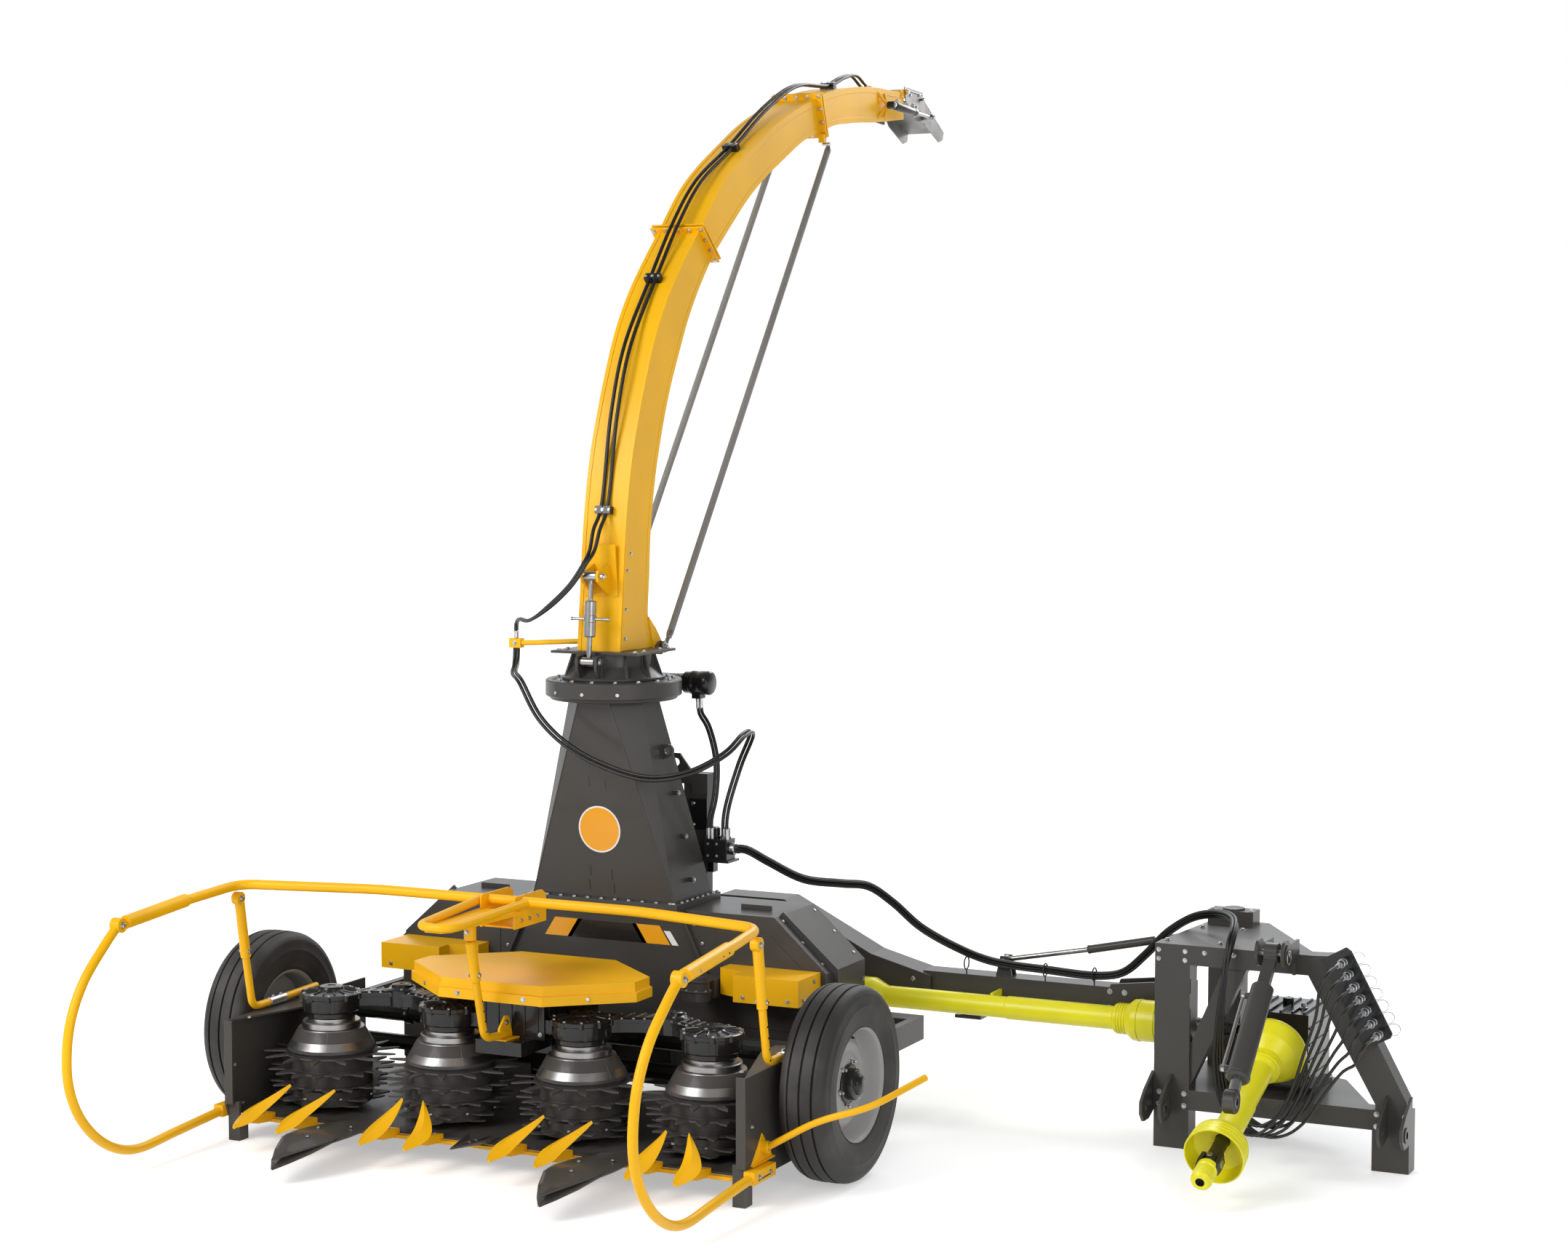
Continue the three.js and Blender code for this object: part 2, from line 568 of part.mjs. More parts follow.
// ---------------------------------------------------------------- tower
// Tapered duct, rectangular at the foot and eight-sided under the slew ring.
const FOOT_X = 336;
const FOOT_Y0 = 1030;
const FOOT_Y1 = 1372;
const foot = (d, z) => {
  const x = FOOT_X - d;
  const a = FOOT_Y0 + d;
  const b = FOOT_Y1 - d;
  return [[-x, a], [x, a], [x, a + 2], [x, b - 2], [x, b], [-x, b], [-x, b - 2],
    [-x, a + 2]].map(([u, v]) => [u, v, z]);
};
const crown = (d, z) => {
  const r = 174 - d;
  return ringOf(r / Math.cos(Math.PI / 8), 8, 0, SLEW_Y, z, -Math.PI / 2 - Math.PI / 8);
};
const TOWER_Z0 = HOUSING_TOP + GAP;
const order = (pts) => [pts[0], pts[1], pts[2], pts[3], pts[4], pts[5], pts[6], pts[7]];
const towerShell = loft(foot(0, TOWER_Z0 + 26), order(crown(0, TOWER_TOP)))
  .subtract(loft(foot(SHEET, TOWER_Z0 + 25), order(crown(SHEET, TOWER_TOP + 1))));
const baseFlange = box(-362, 362, 1004, 1400, TOWER_Z0, TOWER_Z0 + 27)
  .subtract(box(-FOOT_X + SHEET, FOOT_X - SHEET, FOOT_Y0 + SHEET, FOOT_Y1 - SHEET, TOWER_Z0 - 1,
    TOWER_Z0 + 30));
const wallX = (z) => FOOT_X + ((174 - FOOT_X) * (z - TOWER_Z0 - 26)) / (TOWER_TOP - TOWER_Z0 - 26);
const liftingEye = (side, z) => {
  const x = side * (wallX(z) + 26);
  const tab = plateXZ([[side * (wallX(z) - 8), z - 46], [x, z - 28], [x, z + 28],
    [side * (wallX(z) - 8), z + 24]], 1150, 1162);
  return union(tab, bar([x, 1150, z], [x, 1162, z], 28, 16)).subtract(bar([x, 1140, z], [x, 1170, z],
    14, 12));
};
const tower = union(towerShell, baseFlange, liftingEye(-1, 1450), liftingEye(1, 1540));
mesh("tower", tower, GRAPHITE, chassis);

// ---------------------------------------------------------------- slew ring and its worm motor
const ring = turned([[168, TOWER_TOP + GAP], [RING_R - 18, TOWER_TOP + GAP], [RING_R - 18, RING_Z0],
  [RING_R, RING_Z0],
  [RING_R, RING_Z1], [168, RING_Z1], [168, TOWER_TOP + GAP]], [0, SLEW_Y, 0], [0, SLEW_Y, 1], 30);
const WORM_Y = SLEW_Y + RING_R + 22;
const wormBox = box(-120, 150, WORM_Y - 60, WORM_Y + 34, RING_Z0 + 2, RING_Z1 - 2)
  .subtract(turned([[0, 0], [RING_R - 30, 0], [RING_R - 30, 400], [0, 400]], [0, SLEW_Y, RING_Z0 - 100],
    [0, SLEW_Y, RING_Z1 + 100], 30));
mesh("slew_ring", union(ring, wormBox), GRAPHITE, chassis);
const MOTOR_Z = (RING_Z0 + RING_Z1) / 2;
const motor = union(
  turned([[0, 0], [30, 0], [30, 26], [44, 30], [44, 60], [50, 64], [50, 148], [44, 158], [0, 158]],
    [150 + GAP, WORM_Y - 4, MOTOR_Z], [462, WORM_Y - 4, MOTOR_Z], 20),
  box(222, 262, WORM_Y - 30, WORM_Y + 20, MOTOR_Z - 66, MOTOR_Z - 20));
mesh("slew_motor", motor, BLACK, chassis);


// ---------------------------------------------------------------- mast with its bracket, and the valve block
const MAST_Y = FOOT_Y1 + 58;
const mast = union(
  box(186, 296, MAST_Y - 26, MAST_Y + 26, HOUSING_TOP + GAP, 1400),
  box(226, 302, MAST_Y - 34, MAST_Y + 34, 1330, 1418),
  plateXZ([[100, 1372], [250, 1372], [250, 1398], [170, 1500], [140, 1500], [100, 1420]], MAST_Y - 34,
    MAST_Y - 24)
    .subtract(bar([152, MAST_Y - 60, 1462], [152, MAST_Y + 10, 1462], 17, 12)),
);
mesh("mast", mast, GRAPHITE, chassis);
const VALVE_X0 = 296 + GAP;
const valves = union(
  box(VALVE_X0 + 16, VALVE_X0 + 132, MAST_Y - 90, MAST_Y + 14, 1052, 1062),
  box(VALVE_X0, VALVE_X0 + 30, MAST_Y - 26, MAST_Y + 14, 1000, 1062),
  box(VALVE_X0 + 20, VALVE_X0 + 122, MAST_Y - 84, MAST_Y - 6, 1061, 1150),
  bar([VALVE_X0 + 48, MAST_Y - 32, 1148], [VALVE_X0 + 48, MAST_Y - 32, 1192], 17, 10),
  bar([VALVE_X0 + 94, MAST_Y - 32, 1148], [VALVE_X0 + 94, MAST_Y - 32, 1192], 17, 10),
);
mesh("valve_block", valves, BLACK, chassis);

// ---------------------------------------------------------------- axle frame
// A cross tube behind the housing with an arm along each panel that carries a stub axle.
const CROSS_Y0 = 1500;
const CROSS_Y1 = 1600;
const ARM_X0 = HALF + PANEL_T / 2 + GAP;
const ARM_X1 = ARM_X0 + 34;
const HUB_FACE = WHEEL_X - TYRE_W / 2 + 20;
function axleArm(side) {
  const sx = (a, b) => [Math.min(side * a, side * b), Math.max(side * a, side * b)];
  const [a0, a1] = sx(ARM_X0, ARM_X1);
  return [
    box(a0, a1, AXLE_Y - 60, CROSS_Y1, 330, 430),
    bar([side * (ARM_X1 - 2), AXLE_Y, 380], [side * (WHEEL_X + 60), AXLE_Y, 380], 28, 16),
    box(...sx(ARM_X0, 1120), CROSS_Y0, CROSS_Y1, 330, 430),
  ];
}
const crossTube = union(box(-1130, -262, CROSS_Y0, CROSS_Y1, 330, 430),
  box(332, 1130, CROSS_Y0, CROSS_Y1, 330, 430),
  box(-300, 360, CROSS_Y0, CROSS_Y1, 200, 298), box(-300, -262, CROSS_Y0, CROSS_Y1, 200, 430),
    box(332, 360, CROSS_Y0, CROSS_Y1, 200, 430));
const housingTabs = [-700, 600].map((x) => box(x, x + 100, HOUSING_Y1 + GAP, CROSS_Y0 + 1, 330, 430));
mesh("axle_frame", union(crossTube, housingTabs, axleArm(-1), axleArm(1)), GRAPHITE, chassis);

// ---------------------------------------------------------------- wheels
function wheel(side) {
  const name = side > 0 ? "right" : "left";
  const group = new THREE.Group();
  group.position.set(side * WHEEL_X, AXLE_Y, TYRE_OD / 2);
  harvester.add(group);
  const R = TYRE_OD / 2;
  const h = TYRE_W / 2;
  const bead = RIM_FLANGE_R - 6;
  const tread = [[bead, -h + 22], [RIM_FLANGE_R + 60, -h], [R - 40, -h + 2], [R - 8, -h + 14], [R, -h + 28],
    [R, h - 28], [R - 8, h - 14], [R - 40, h - 2], [RIM_FLANGE_R + 60, h], [bead, h - 22],
      [RIM_R + 6 + GAP, h - 26],
    [RIM_R + 6 + GAP, -h + 26], [bead, -h + 22]];
  const tyre = turned(tread, [0, 0, 0], [side, 0, 0], 24);
  const t = 6;
  const rim = [[RIM_FLANGE_R, -h + 14], [RIM_R + 6, -h + 26 + GAP], [RIM_R + 6, h - 26 - GAP],
    [RIM_FLANGE_R, h - 14],
    [RIM_R, h - 20], [RIM_R - 4, 30], [150, 14], [96, 26], [60, 26], [60, 66], [46, 88], [0, 88], [0, 68],
    [28 + GAP, 66], [28 + GAP, -h + 40], [62, -h + 40], [62, 14], [150, 2], [RIM_R - t, -h + 28],
    [RIM_FLANGE_R, -h + 14]];
  const rimSolid = turned(rim, [0, 0, 0], [side, 0, 0], 24);
  const seat = turned([[0, -h + 6], [RIM_FLANGE_R + 1, -h + 6], [RIM_FLANGE_R + 1, -h + 24],
    [RIM_R + 6 + GAP, -h + 26],
    [RIM_R + 6 + GAP, h - 26], [RIM_FLANGE_R + 1, h - 24], [RIM_FLANGE_R + 1, h - 6], [0, h - 6]],
      [0, 0, 0], [side, 0, 0], 24);
  mesh("tyre_" + name, tyre.subtract(seat), RUBBER, group);
  mesh("rim_" + name, rimSolid, RIM_GREY, group);
}
wheel(-1);
wheel(1);

// ---------------------------------------------------------------- drawbar
const drawRoot = plateXZ([[60, 400], [60, 800], [380, 800], [800, 592], [1080, 520], [1080, 430],
  [800, 406]], BEAM_Y0 - 20, BEAM_Y1 + 20)
  .subtract(plateXZ([[68, 408], [68, 792], [378, 792], [798, 583], [1100, 505], [1100, 440],
    [800, 414]], BEAM_Y0 - 12, BEAM_Y1 + 12))
  .subtract(box(52, 80, BEAM_Y0 - 8, BEAM_Y1 + 8, 420, 780));
const drawBeam = box(1040, 2236, BEAM_Y0, BEAM_Y1, 440, 536);
const rearCheeks = [[BEAM_Y0 - 12, BEAM_Y0 + 1], [BEAM_Y1 - 1, BEAM_Y1 + 12]].map(([a, b]) =>
  plateXZ([[1845, 425], [1900, 552], [2080, 574], [2236, 574], [2236, 390], [2080, 390], [1900, 420]], a, b));
const STAY_LUG_X = 1400;
const stayLug = [-1, 1].map((s) => plateXZ([[STAY_LUG_X - 34, 535], [STAY_LUG_X + 40, 535],
  [STAY_LUG_X + 20, 622], [STAY_LUG_X - 14, 622]],
  2056 + s * 24 - 5, 2056 + s * 24 + 5));
const beamFoot = [box(1200, 1300, 2040, 2060, 350, 441), box(1180, 1300, 2020, 2090, 338, 352)];
const rootLinks = [box(100, 108, 1760 + GAP, BEAM_Y0 - 19, 430, 630),
  box(300, 308, 1760 + GAP, BEAM_Y0 - 19, 430, 630),
  box(60, 380, 1760 + GAP, BEAM_Y0 - 19, 630, 640)];
mesh("drawbar", union(drawRoot, drawBeam, rearCheeks, stayLug, beamFoot, rootLinks), GRAPHITE, chassis);

// Main output gearbox at the end of the cross shaft, on the rear pack's side.
const outBox = union(box(330 + GAP, 560, SHAFT_Y - 100, SHAFT_Y + 70, 340, 520),
  box(330 + GAP, 420, 1640, SHAFT_Y - 99, 340, 520),
  bar([559, SHAFT_Y, SHAFT_Z], [610, SHAFT_Y, SHAFT_Z], 58, 16),
    bar([609, SHAFT_Y, SHAFT_Z], [640, SHAFT_Y, SHAFT_Z], 22, 12));
mesh("output_gearbox", outBox, BLACK, chassis);

// ---------------------------------------------------------------- headstock
const LEG_D = 92;
const HX = 2400; // swivel post
const HEAD_REAR = 2250;
const leg = (x, z1) => box(x, x + LEG_W, HEAD_Y, HEAD_Y + LEG_D, 0, z1);
const BEAM_Z = HEAD_TOP - 80;
const topBeam = box(HEAD_X0, 2880, HEAD_Y, HEAD_Y + LEG_D, BEAM_Z, HEAD_TOP);
const post = plateXZ([[2862, BEAM_Z], [2880, HEAD_TOP], [2965, HEAD_TOP + 4], [3258, 280], [3258, 236],
  [3135, 236], [3135, 262]], HEAD_Y, HEAD_Y + LEG_D);
const lowBeam = box(HEAD_X0, HEAD_X1, HEAD_Y + 2, HEAD_Y + LEG_D, 160, 240);
const brace = plateXZ([[2300, 236], [2372, 236], [2612, BEAM_Z + 2], [2520, BEAM_Z + 2]], HEAD_Y + 14,
  HEAD_Y + 70);
const TOP_T = 8;
const topPlate = plateXY([[HEAD_X0, HEAD_Y + 30], [2890, HEAD_Y + 30], [2520, HEAD_REAR - 60],
  [2285, HEAD_REAR - 60]], HEAD_TOP - TOP_T, HEAD_TOP);
const lowPlate = plateXY([[HEAD_X0, HEAD_Y + 30], [3120, HEAD_Y + 30], [2900, 2020],
  [2520, HEAD_REAR - 60], [2285, HEAD_REAR - 60]], 232, 240);
const topBox = box(2286, 2480, HEAD_REAR - 160, HEAD_REAR - 60, HEAD_TOP - 1, HEAD_TOP + 56);
const column = box(2300, 2440, 2060, 2160, 239, HEAD_TOP - 1);
const rearGusset = plateYZ([[HEAD_Y + 60, 560], [HEAD_Y + 60, HEAD_TOP - 2], [2070, HEAD_TOP - 2],
  [2070, HEAD_TOP - 66]], 2300, 2308);
const clevis = (x) => plateYZ([[HEAD_Y + 4, 152], [HEAD_Y - 60, 126], [HEAD_Y - 120, 126],
  [HEAD_Y - 150, 160], [HEAD_Y - 150, 208],
  [HEAD_Y - 100, 250], [HEAD_Y + 4, 306]], x, x + 12);
const pinHole = (x) => bar([x - 20, HEAD_Y - 98, 178], [x + 160, HEAD_Y - 98, 178], 14.5, 14);
const clevises = [HEAD_X0 - 11, HEAD_X0 + 66, HEAD_X1 - 92, HEAD_X1 - 1].map(clevis);
const TOP_PIN = [2760, 1415, HEAD_TOP + 26];
const topLug = (x) => union(
  bar([x, TOP_PIN[1], TOP_PIN[2]], [x + 12, TOP_PIN[1], TOP_PIN[2]], 54, 18),
  box(x, x + 12, TOP_PIN[1], HEAD_Y + 30, TOP_PIN[2] - 54, TOP_PIN[2] + 30),
  box(x, x + 12, HEAD_Y - 30, HEAD_Y + 30, BEAM_Z + 2, TOP_PIN[2]));
const topPinHole = bore([2650, TOP_PIN[1], TOP_PIN[2]], [2850, TOP_PIN[1], TOP_PIN[2]], 12.5, 14);
const headstock = union(leg(HEAD_X0, HEAD_TOP - 2), leg(HEAD_X1 - LEG_W, 242), topBeam, post, lowBeam,
  brace, topPlate, lowPlate,
  topBox, column, rearGusset, clevises, topLug(2702), topLug(2806))
  .subtract(pinHole(HEAD_X0 - 11)).subtract(pinHole(HEAD_X1 - 92)).subtract(topPinHole);
mesh("headstock_frame", headstock, GRAPHITE, chassis);


// Angle gearbox behind the frame: the front shaft drives it, the cross shaft leaves to the left.
const GB_X = 2720;
const GEAR_Y0 = 1690;
const JOINT_R = 30;
const STUB_LEN = 151 - JOINT_R - GAP;
const gearBox = union(box(GB_X - 130, GB_X + 110, GEAR_Y0, SHAFT_Y + 110, 262, 560),
  box(GB_X - 150, GB_X + 130, GEAR_Y0 + 20, SHAFT_Y + 90, 240 + GAP, 264),
  turned([[0, 0], [88, 0], [88, 26], [62, 34], [62, 62], [22, 62], [22, STUB_LEN], [0, STUB_LEN]],
    [GB_X, GEAR_Y0 + 1, SHAFT_Z], [GB_X, 0, SHAFT_Z], 16),
  turned([[0, 0], [86, 0], [86, 30], [58, 40], [58, 70], [20, 70], [20, 112], [0, 112]],
    [GB_X - 129, SHAFT_Y, SHAFT_Z], [0, SHAFT_Y, SHAFT_Z], 16),
  bar([GB_X - 20, 1860, 558], [GB_X - 20, 1860, 590], 22, 10));
mesh("headstock_gearbox", gearBox, BLACK, chassis);

// Coupler holder on the slanted post, with a slot for each hose coupler.
const POST_A = [2965, HEAD_TOP + 4];
const POST_B = [3258, 280];
const postDir = [POST_B[0] - POST_A[0], POST_B[1] - POST_A[1]];
const postLen = Math.hypot(...postDir);
const pu = [postDir[0] / postLen, postDir[1] / postLen];
const pv = [-pu[1], pu[0]];
const onPost = (s, n) => [POST_A[0] + pu[0] * s + pv[0] * n, POST_A[1] + pu[1] * s + pv[1] * n];
let holder = plateXZ([onPost(-10, -52), onPost(-14, 62), onPost(8, 74), onPost(360, 74),
  onPost(372, 60), onPost(372, -52)],
  HEAD_Y - 8 - GAP, HEAD_Y - GAP);
const COUPLER_Y = HEAD_Y - 80;
const COUPLERS = [0, 1, 2, 3, 4, 5, 6].map((i) => onPost(34 + i * 51, 30));
holder = union(holder, COUPLERS.map(([cx, cz]) => bar([cx, COUPLER_Y, cz], [cx, HEAD_Y + 30, cz], 15, 6)));
mesh("coupler_holder", holder, BLACK, chassis);

// ---------------------------------------------------------------- drive shafts
// Cross shaft: plastic guard tube with a cone at each end; the bar with its yokes turns inside.
const CROSS_X0 = 640 + GAP;
const CROSS_X1 = GB_X - 129 - 112 - GAP;
const GUARD_X0 = 770;
const GUARD_X1 = 2150;
const guardTube = turned([[36, 0], [76, 0], [76, 90], [46, 150], [46, GUARD_X1 - GUARD_X0 - 200],
  [62, GUARD_X1 - GUARD_X0 - 190],
  [62, GUARD_X1 - GUARD_X0 - 140], [86, GUARD_X1 - GUARD_X0 - 110], [86, GUARD_X1 - GUARD_X0],
    [80, GUARD_X1 - GUARD_X0],
  [80, GUARD_X1 - GUARD_X0 - 105], [36, GUARD_X1 - GUARD_X0 - 145], [36, 0]],
  [GUARD_X0, SHAFT_Y, SHAFT_Z], [GUARD_X1, SHAFT_Y, SHAFT_Z], 16);
const guardHanger = box(1394, 1406, SHAFT_Y - 5, BEAM_Y0 - GAP, SHAFT_Z + 30, SHAFT_Z + 56);
mesh("cross_shaft_guard", union(guardTube, guardHanger), LEMON, chassis);
function yoke(x, s) {
  return union(bar([x, SHAFT_Y, SHAFT_Z], [x + s * 70, SHAFT_Y, SHAFT_Z], 30, 10),
    box(Math.min(x + s * 60, x + s * 130), Math.max(x + s * 60, x + s * 130),
    SHAFT_Y - 44, SHAFT_Y + 44, SHAFT_Z - 24, SHAFT_Z + 24),
      bar([x + s * 120, SHAFT_Y, SHAFT_Z], [x + s * 190, SHAFT_Y, SHAFT_Z], 28, 10));
}
mesh("cross_shaft", union(bar([CROSS_X0, SHAFT_Y, SHAFT_Z], [CROSS_X1, SHAFT_Y, SHAFT_Z], 27, 10),
  yoke(GUARD_X1 + 12, 1)), STEEL, chassis);

// Front shaft: hangs from the gearbox's input joint, free yoke forward and down.
const PTO_PIVOT = [GB_X, GEAR_Y0 - 150, SHAFT_Z];
const PTO_LEN = 850;
const PTO_DROP = 0.325;
const ptoGroup = new THREE.Group();
ptoGroup.position.set(...PTO_PIVOT);
ptoGroup.rotation.set(PTO_DROP, 0, 0);
harvester.add(ptoGroup);
const ptoGuard = turned([[28.2, 0], [140, 0], [140, 16], [112, 70], [66, 112], [66, 160], [50, 176],
  [50, PTO_LEN - 220], [68, PTO_LEN - 205],
  [68, PTO_LEN - 170], [110, PTO_LEN - 140], [116, PTO_LEN - 50], [110, PTO_LEN - 50],
    [104, PTO_LEN - 136], [28.2, PTO_LEN - 166], [28.2, 0]],
  [0, 30, 0], [0, -1000, 0], 12)
  .subtract(turned([[0, 0], [132, 0], [104, 64], [40, 100], [0, 100]], [0, 31, 0], [0, -1000, 0], 12));
mesh("pto_guard", ptoGuard, LEMON, ptoGroup);
const BALL_ANGLES = [-90, -60, -30, 0, 30, 60, 90].map((a) => (a * Math.PI) / 180);
const jointBall = turned(BALL_ANGLES.map((a) => [JOINT_R * Math.cos(a), JOINT_R * Math.sin(a)]),
  [0, 0, 0], [0, 1, 0], 10);
const ptoShaft = union(jointBall, bar([0, 0, 0], [0, -PTO_LEN + 20, 0], 27, 10),
  box(-42, 42, -PTO_LEN - 10, -PTO_LEN + 80, -26, 26),
  turned([[0, 0], [40, 0], [40, 60], [32, 66], [0, 66]], [0, -PTO_LEN - 5, 0], [0, -PTO_LEN - 100, 0], 14));
mesh("pto_shaft", ptoShaft.subtract(bar([0, -PTO_LEN - 120, 0], [0, -PTO_LEN - 20, 0], 17, 6)), LEMON,
  ptoGroup);

// ---------------------------------------------------------------- top link cylinder
const LINK_LEAN = 0.84;
const linkGroup = new THREE.Group();
linkGroup.position.set(...TOP_PIN);
linkGroup.rotation.set(-LINK_LEAN, 0, 0);
harvester.add(linkGroup);
const barrel = union(turned([[0, 170], [44, 170], [44, 596], [36, 606], [22.5, 606], [22.5, 184],
  [0, 184]], [0, 0, 0], [0, 0, -1], 16),
  box(-24, 24, -14, 14, -171, -24), bar([-26, 0, 0], [26, 0, 0], 40, 16),
  bar([-40, 0, -215], [-78, 0, -215], 13, 8), bar([-40, 0, -560], [-78, 0, -560], 13, 8));
const linkPin = union(bar([2700 - 8 - TOP_PIN[0], 0, 0], [2818 + 14 - TOP_PIN[0], 0, 0], 12.5, 14),
  bar([2702 - GAP - 10 - TOP_PIN[0], 0, 0], [2702 - GAP - TOP_PIN[0], 0, 0], 19, 14));
mesh("top_link_barrel", union(barrel, linkPin), GRAPHITE, linkGroup);
const LINK_EYE = -706;
const rodBody = union(bar([0, 0, -240], [0, 0, LINK_EYE + 30], 22, 12),
  bar([-24, 0, LINK_EYE], [24, 0, LINK_EYE], 46, 16));
mesh("top_link_rod", rodBody.subtract(bar([-40, 0, LINK_EYE], [40, 0, LINK_EYE], 13, 12)), STEEL, linkGroup);

// ---------------------------------------------------------------- turret and spout
const spout = new THREE.Group();
harvester.add(spout);
const TILT = [1330, 1958];
const WALL_X = CHUTE_W / 2;
const PIN_R = 12;
const LOW_PIN = [921, 1919];
const HIGH_PIN = [945, 2272];
const cone = turned([[146, RING_Z1 + GAP], [216, RING_Z1 + GAP], [216, RING_Z1 + 12], [170, 1890],
  [170, FLANGE_Z - 10],
  [146, FLANGE_Z - 10], [146, RING_Z1 + GAP]], [0, SLEW_Y, 0], [0, SLEW_Y, 1], 16);
const flangePlate = box(-205, 205, 960, 1296, FLANGE_Z - 11,
  FLANGE_Z - GAP).subtract(box(4 - WALL_X, WALL_X - 4, 1012, 1270, FLANGE_Z - 40, FLANGE_Z + 20));
const frontLugs = [-1, 1].map((k) => plateYZ([[895, 1885], [895, 1945], [985, FLANGE_Z - 12],
  [985, 1850], [925, RING_Z1 + GAP + 4]],
  k * 44 - 6, k * 44 + 6));
const rearLugs = [-1, 1].map((k) => plateYZ([[1270, 1930], [1270, FLANGE_Z - 1], [1320, 1984],
  [1352, 1970], [1352, 1935], [1320, 1925]],
  k * (WALL_X + 20) - 6, k * (WALL_X + 20) + 6));
const tiltPin = [-1, 1].map((k) => bar([k * (WALL_X - 8), ...TILT], [k * (WALL_X + 46), ...TILT], PIN_R, 12));
mesh("turret", union(cone, flangePlate, frontLugs, rearLugs, tiltPin,
  bar([-56, ...LOW_PIN], [56, ...LOW_PIN], PIN_R, 12)),
  GRAPHITE, spout);

const LOWER = [[[1005, FLANGE_Z + GAP], [1290, FLANGE_Z + GAP]], [[1016, 2075], [1243, 2075]],
  [[1035, 2245], [1254, 2245]], [[1060, 2480], [1272, 2470]],
  [[1111, 2737], [1314, 2679]], [[1174, 2924], [1373, 2869]], [[1246, 3099], [1447, 3047]],
    [[1333, 3277], [1521, 3185]],
  [[1449, 3443], [1610, 3339]], [[1582, 3586], [1716, 3481]], [[1722, 3722], [1838, 3618]]];
const MIDDLE = [[[1730, 3729], [1846, 3625]], [[1917, 3911], [2030, 3772]],
  [[2074, 4021], [2202, 3902]], [[2267, 4129], [2365, 4000]],
  [[2499, 4250], [2566, 4102]], [[2700, 4330], [2772, 4200]], [[2905, 4398], [2956, 4252]]];
const TIP = [[[2915, 4401], [2966, 4255]], [[3038, 4438], [3080, 4292]], [[3276, 4485], [3290, 4326]],
  [[3541, 4514], [3580, 4354]],
  [[3917, 4521], [3918, 4398]]];

// Rectangular duct through stations; each station is its outer and inner edge in the YZ plane.
function duct(stations) {
  const grown = (t, extra) => {
    const list = stations.map(([a, b]) => {
      const va = new THREE.Vector2(...a);
      const vb = new THREE.Vector2(...b);
      const step = vb.clone().sub(va).normalize().multiplyScalar(t);
      return [va.add(step), vb.sub(step)];
    });
    const last = list.length - 1;
    [[0, 1], [last, last - 1]].forEach(([i, j]) => [0, 1].forEach((k) => {
      list[i][k].addScaledVector(list[i][k].clone().sub(list[j][k]).normalize(), extra);
    }));
    return [...list.map((p) => p[0]), ...list.map((p) => p[1]).reverse()].map((p) => [p.x, p.y]);
  };
  const w = CHUTE_W / 2;
  return plateYZ(grown(0, 0), -w, w).subtract(plateYZ(grown(SHEET, 3), -w + SHEET, w - SHEET));
}

// Bolting flange round a duct end, set back half a millimetre from the duct's edge and rooted in its wall.
function collar([a, b], t, over) {
  const va = new THREE.Vector2(...a);
  const vb = new THREE.Vector2(...b);
  const u = vb.clone().sub(va).normalize();
  const n = new THREE.Vector2(-u.y, u.x).multiplyScalar(Math.sign(t));
  const at = (p, s, lift) => p.clone().addScaledVector(u, s).addScaledVector(n, lift);
  const quad = (s, low, high) => [at(va, -s, low), at(vb, s, low), at(vb, s, high),
    at(va, -s, high)].map((p) => [p.x, p.y]);
  const w = CHUTE_W / 2;
  const root = SHEET / 2;
  return plateYZ(quad(over, 0.5, Math.abs(t)), -w - over, w + over)
    .subtract(plateYZ(quad(-root, -1, Math.abs(t) + 1), -w + root, w - root));
}
const LUG_X = 36;
const LUG_T = 12;
const EYE_HALF = LUG_X - LUG_T / 2 - GAP;
const spoutLugs = [-1, 1].map((k) => plateYZ([[1036, 2180], [930, 2250], [922, 2275], [935, 2296],
  [960, 2296], [1048, 2330]],
  k * LUG_X - LUG_T / 2, k * LUG_X + LUG_T / 2));
const tiltLugs = [-1, 1].map((k) => plateYZ([[1240, 2090], [1280, FLANGE_Z + GAP + 1],
  [1303, FLANGE_Z + GAP + 1], [1314, 1938], [1348, 1938], [1350, 1985], [1300, 2040]],
  k * WALL_X - 6, k * WALL_X + 6).subtract(bore([k * (WALL_X - 20), ...TILT],
    [k * (WALL_X + 20), ...TILT], PIN_R, 12)));
const FORK = [-442, 1080];
const FORK_Z0 = 1952;
const FORK_Z1 = 1992;
const hoseArm = union(bar([4 - WALL_X, 1080, 1992], [-420, 1080, 1972], 11, 8),
  box(FORK[0] - 28, FORK[0] + 28, 1064, 1096, FORK_Z0, FORK_Z1));
mesh("spout_lower", union(duct(LOWER), collar(LOWER[10], -8, 28), spoutLugs, tiltLugs, hoseArm), YELLOW,
  spout);
const stayHang = [-1, 1].map((k) => span(k * (WALL_X - 3), k * (WALL_X + 24), 2931, 2962, 4200, 4240));
mesh("spout_middle", union(duct(MIDDLE), collar(MIDDLE[0], 8, 28), collar(MIDDLE[6], -8, 28), stayHang),
  YELLOW, spout);
const CYL_X = WALL_X + 50;
const CYL_A = [3658, 4440];
const CYL_B = [4145, 4424];
const HINGE_1 = [3932, 4532];
const HINGE_2 = [4118, 4512];
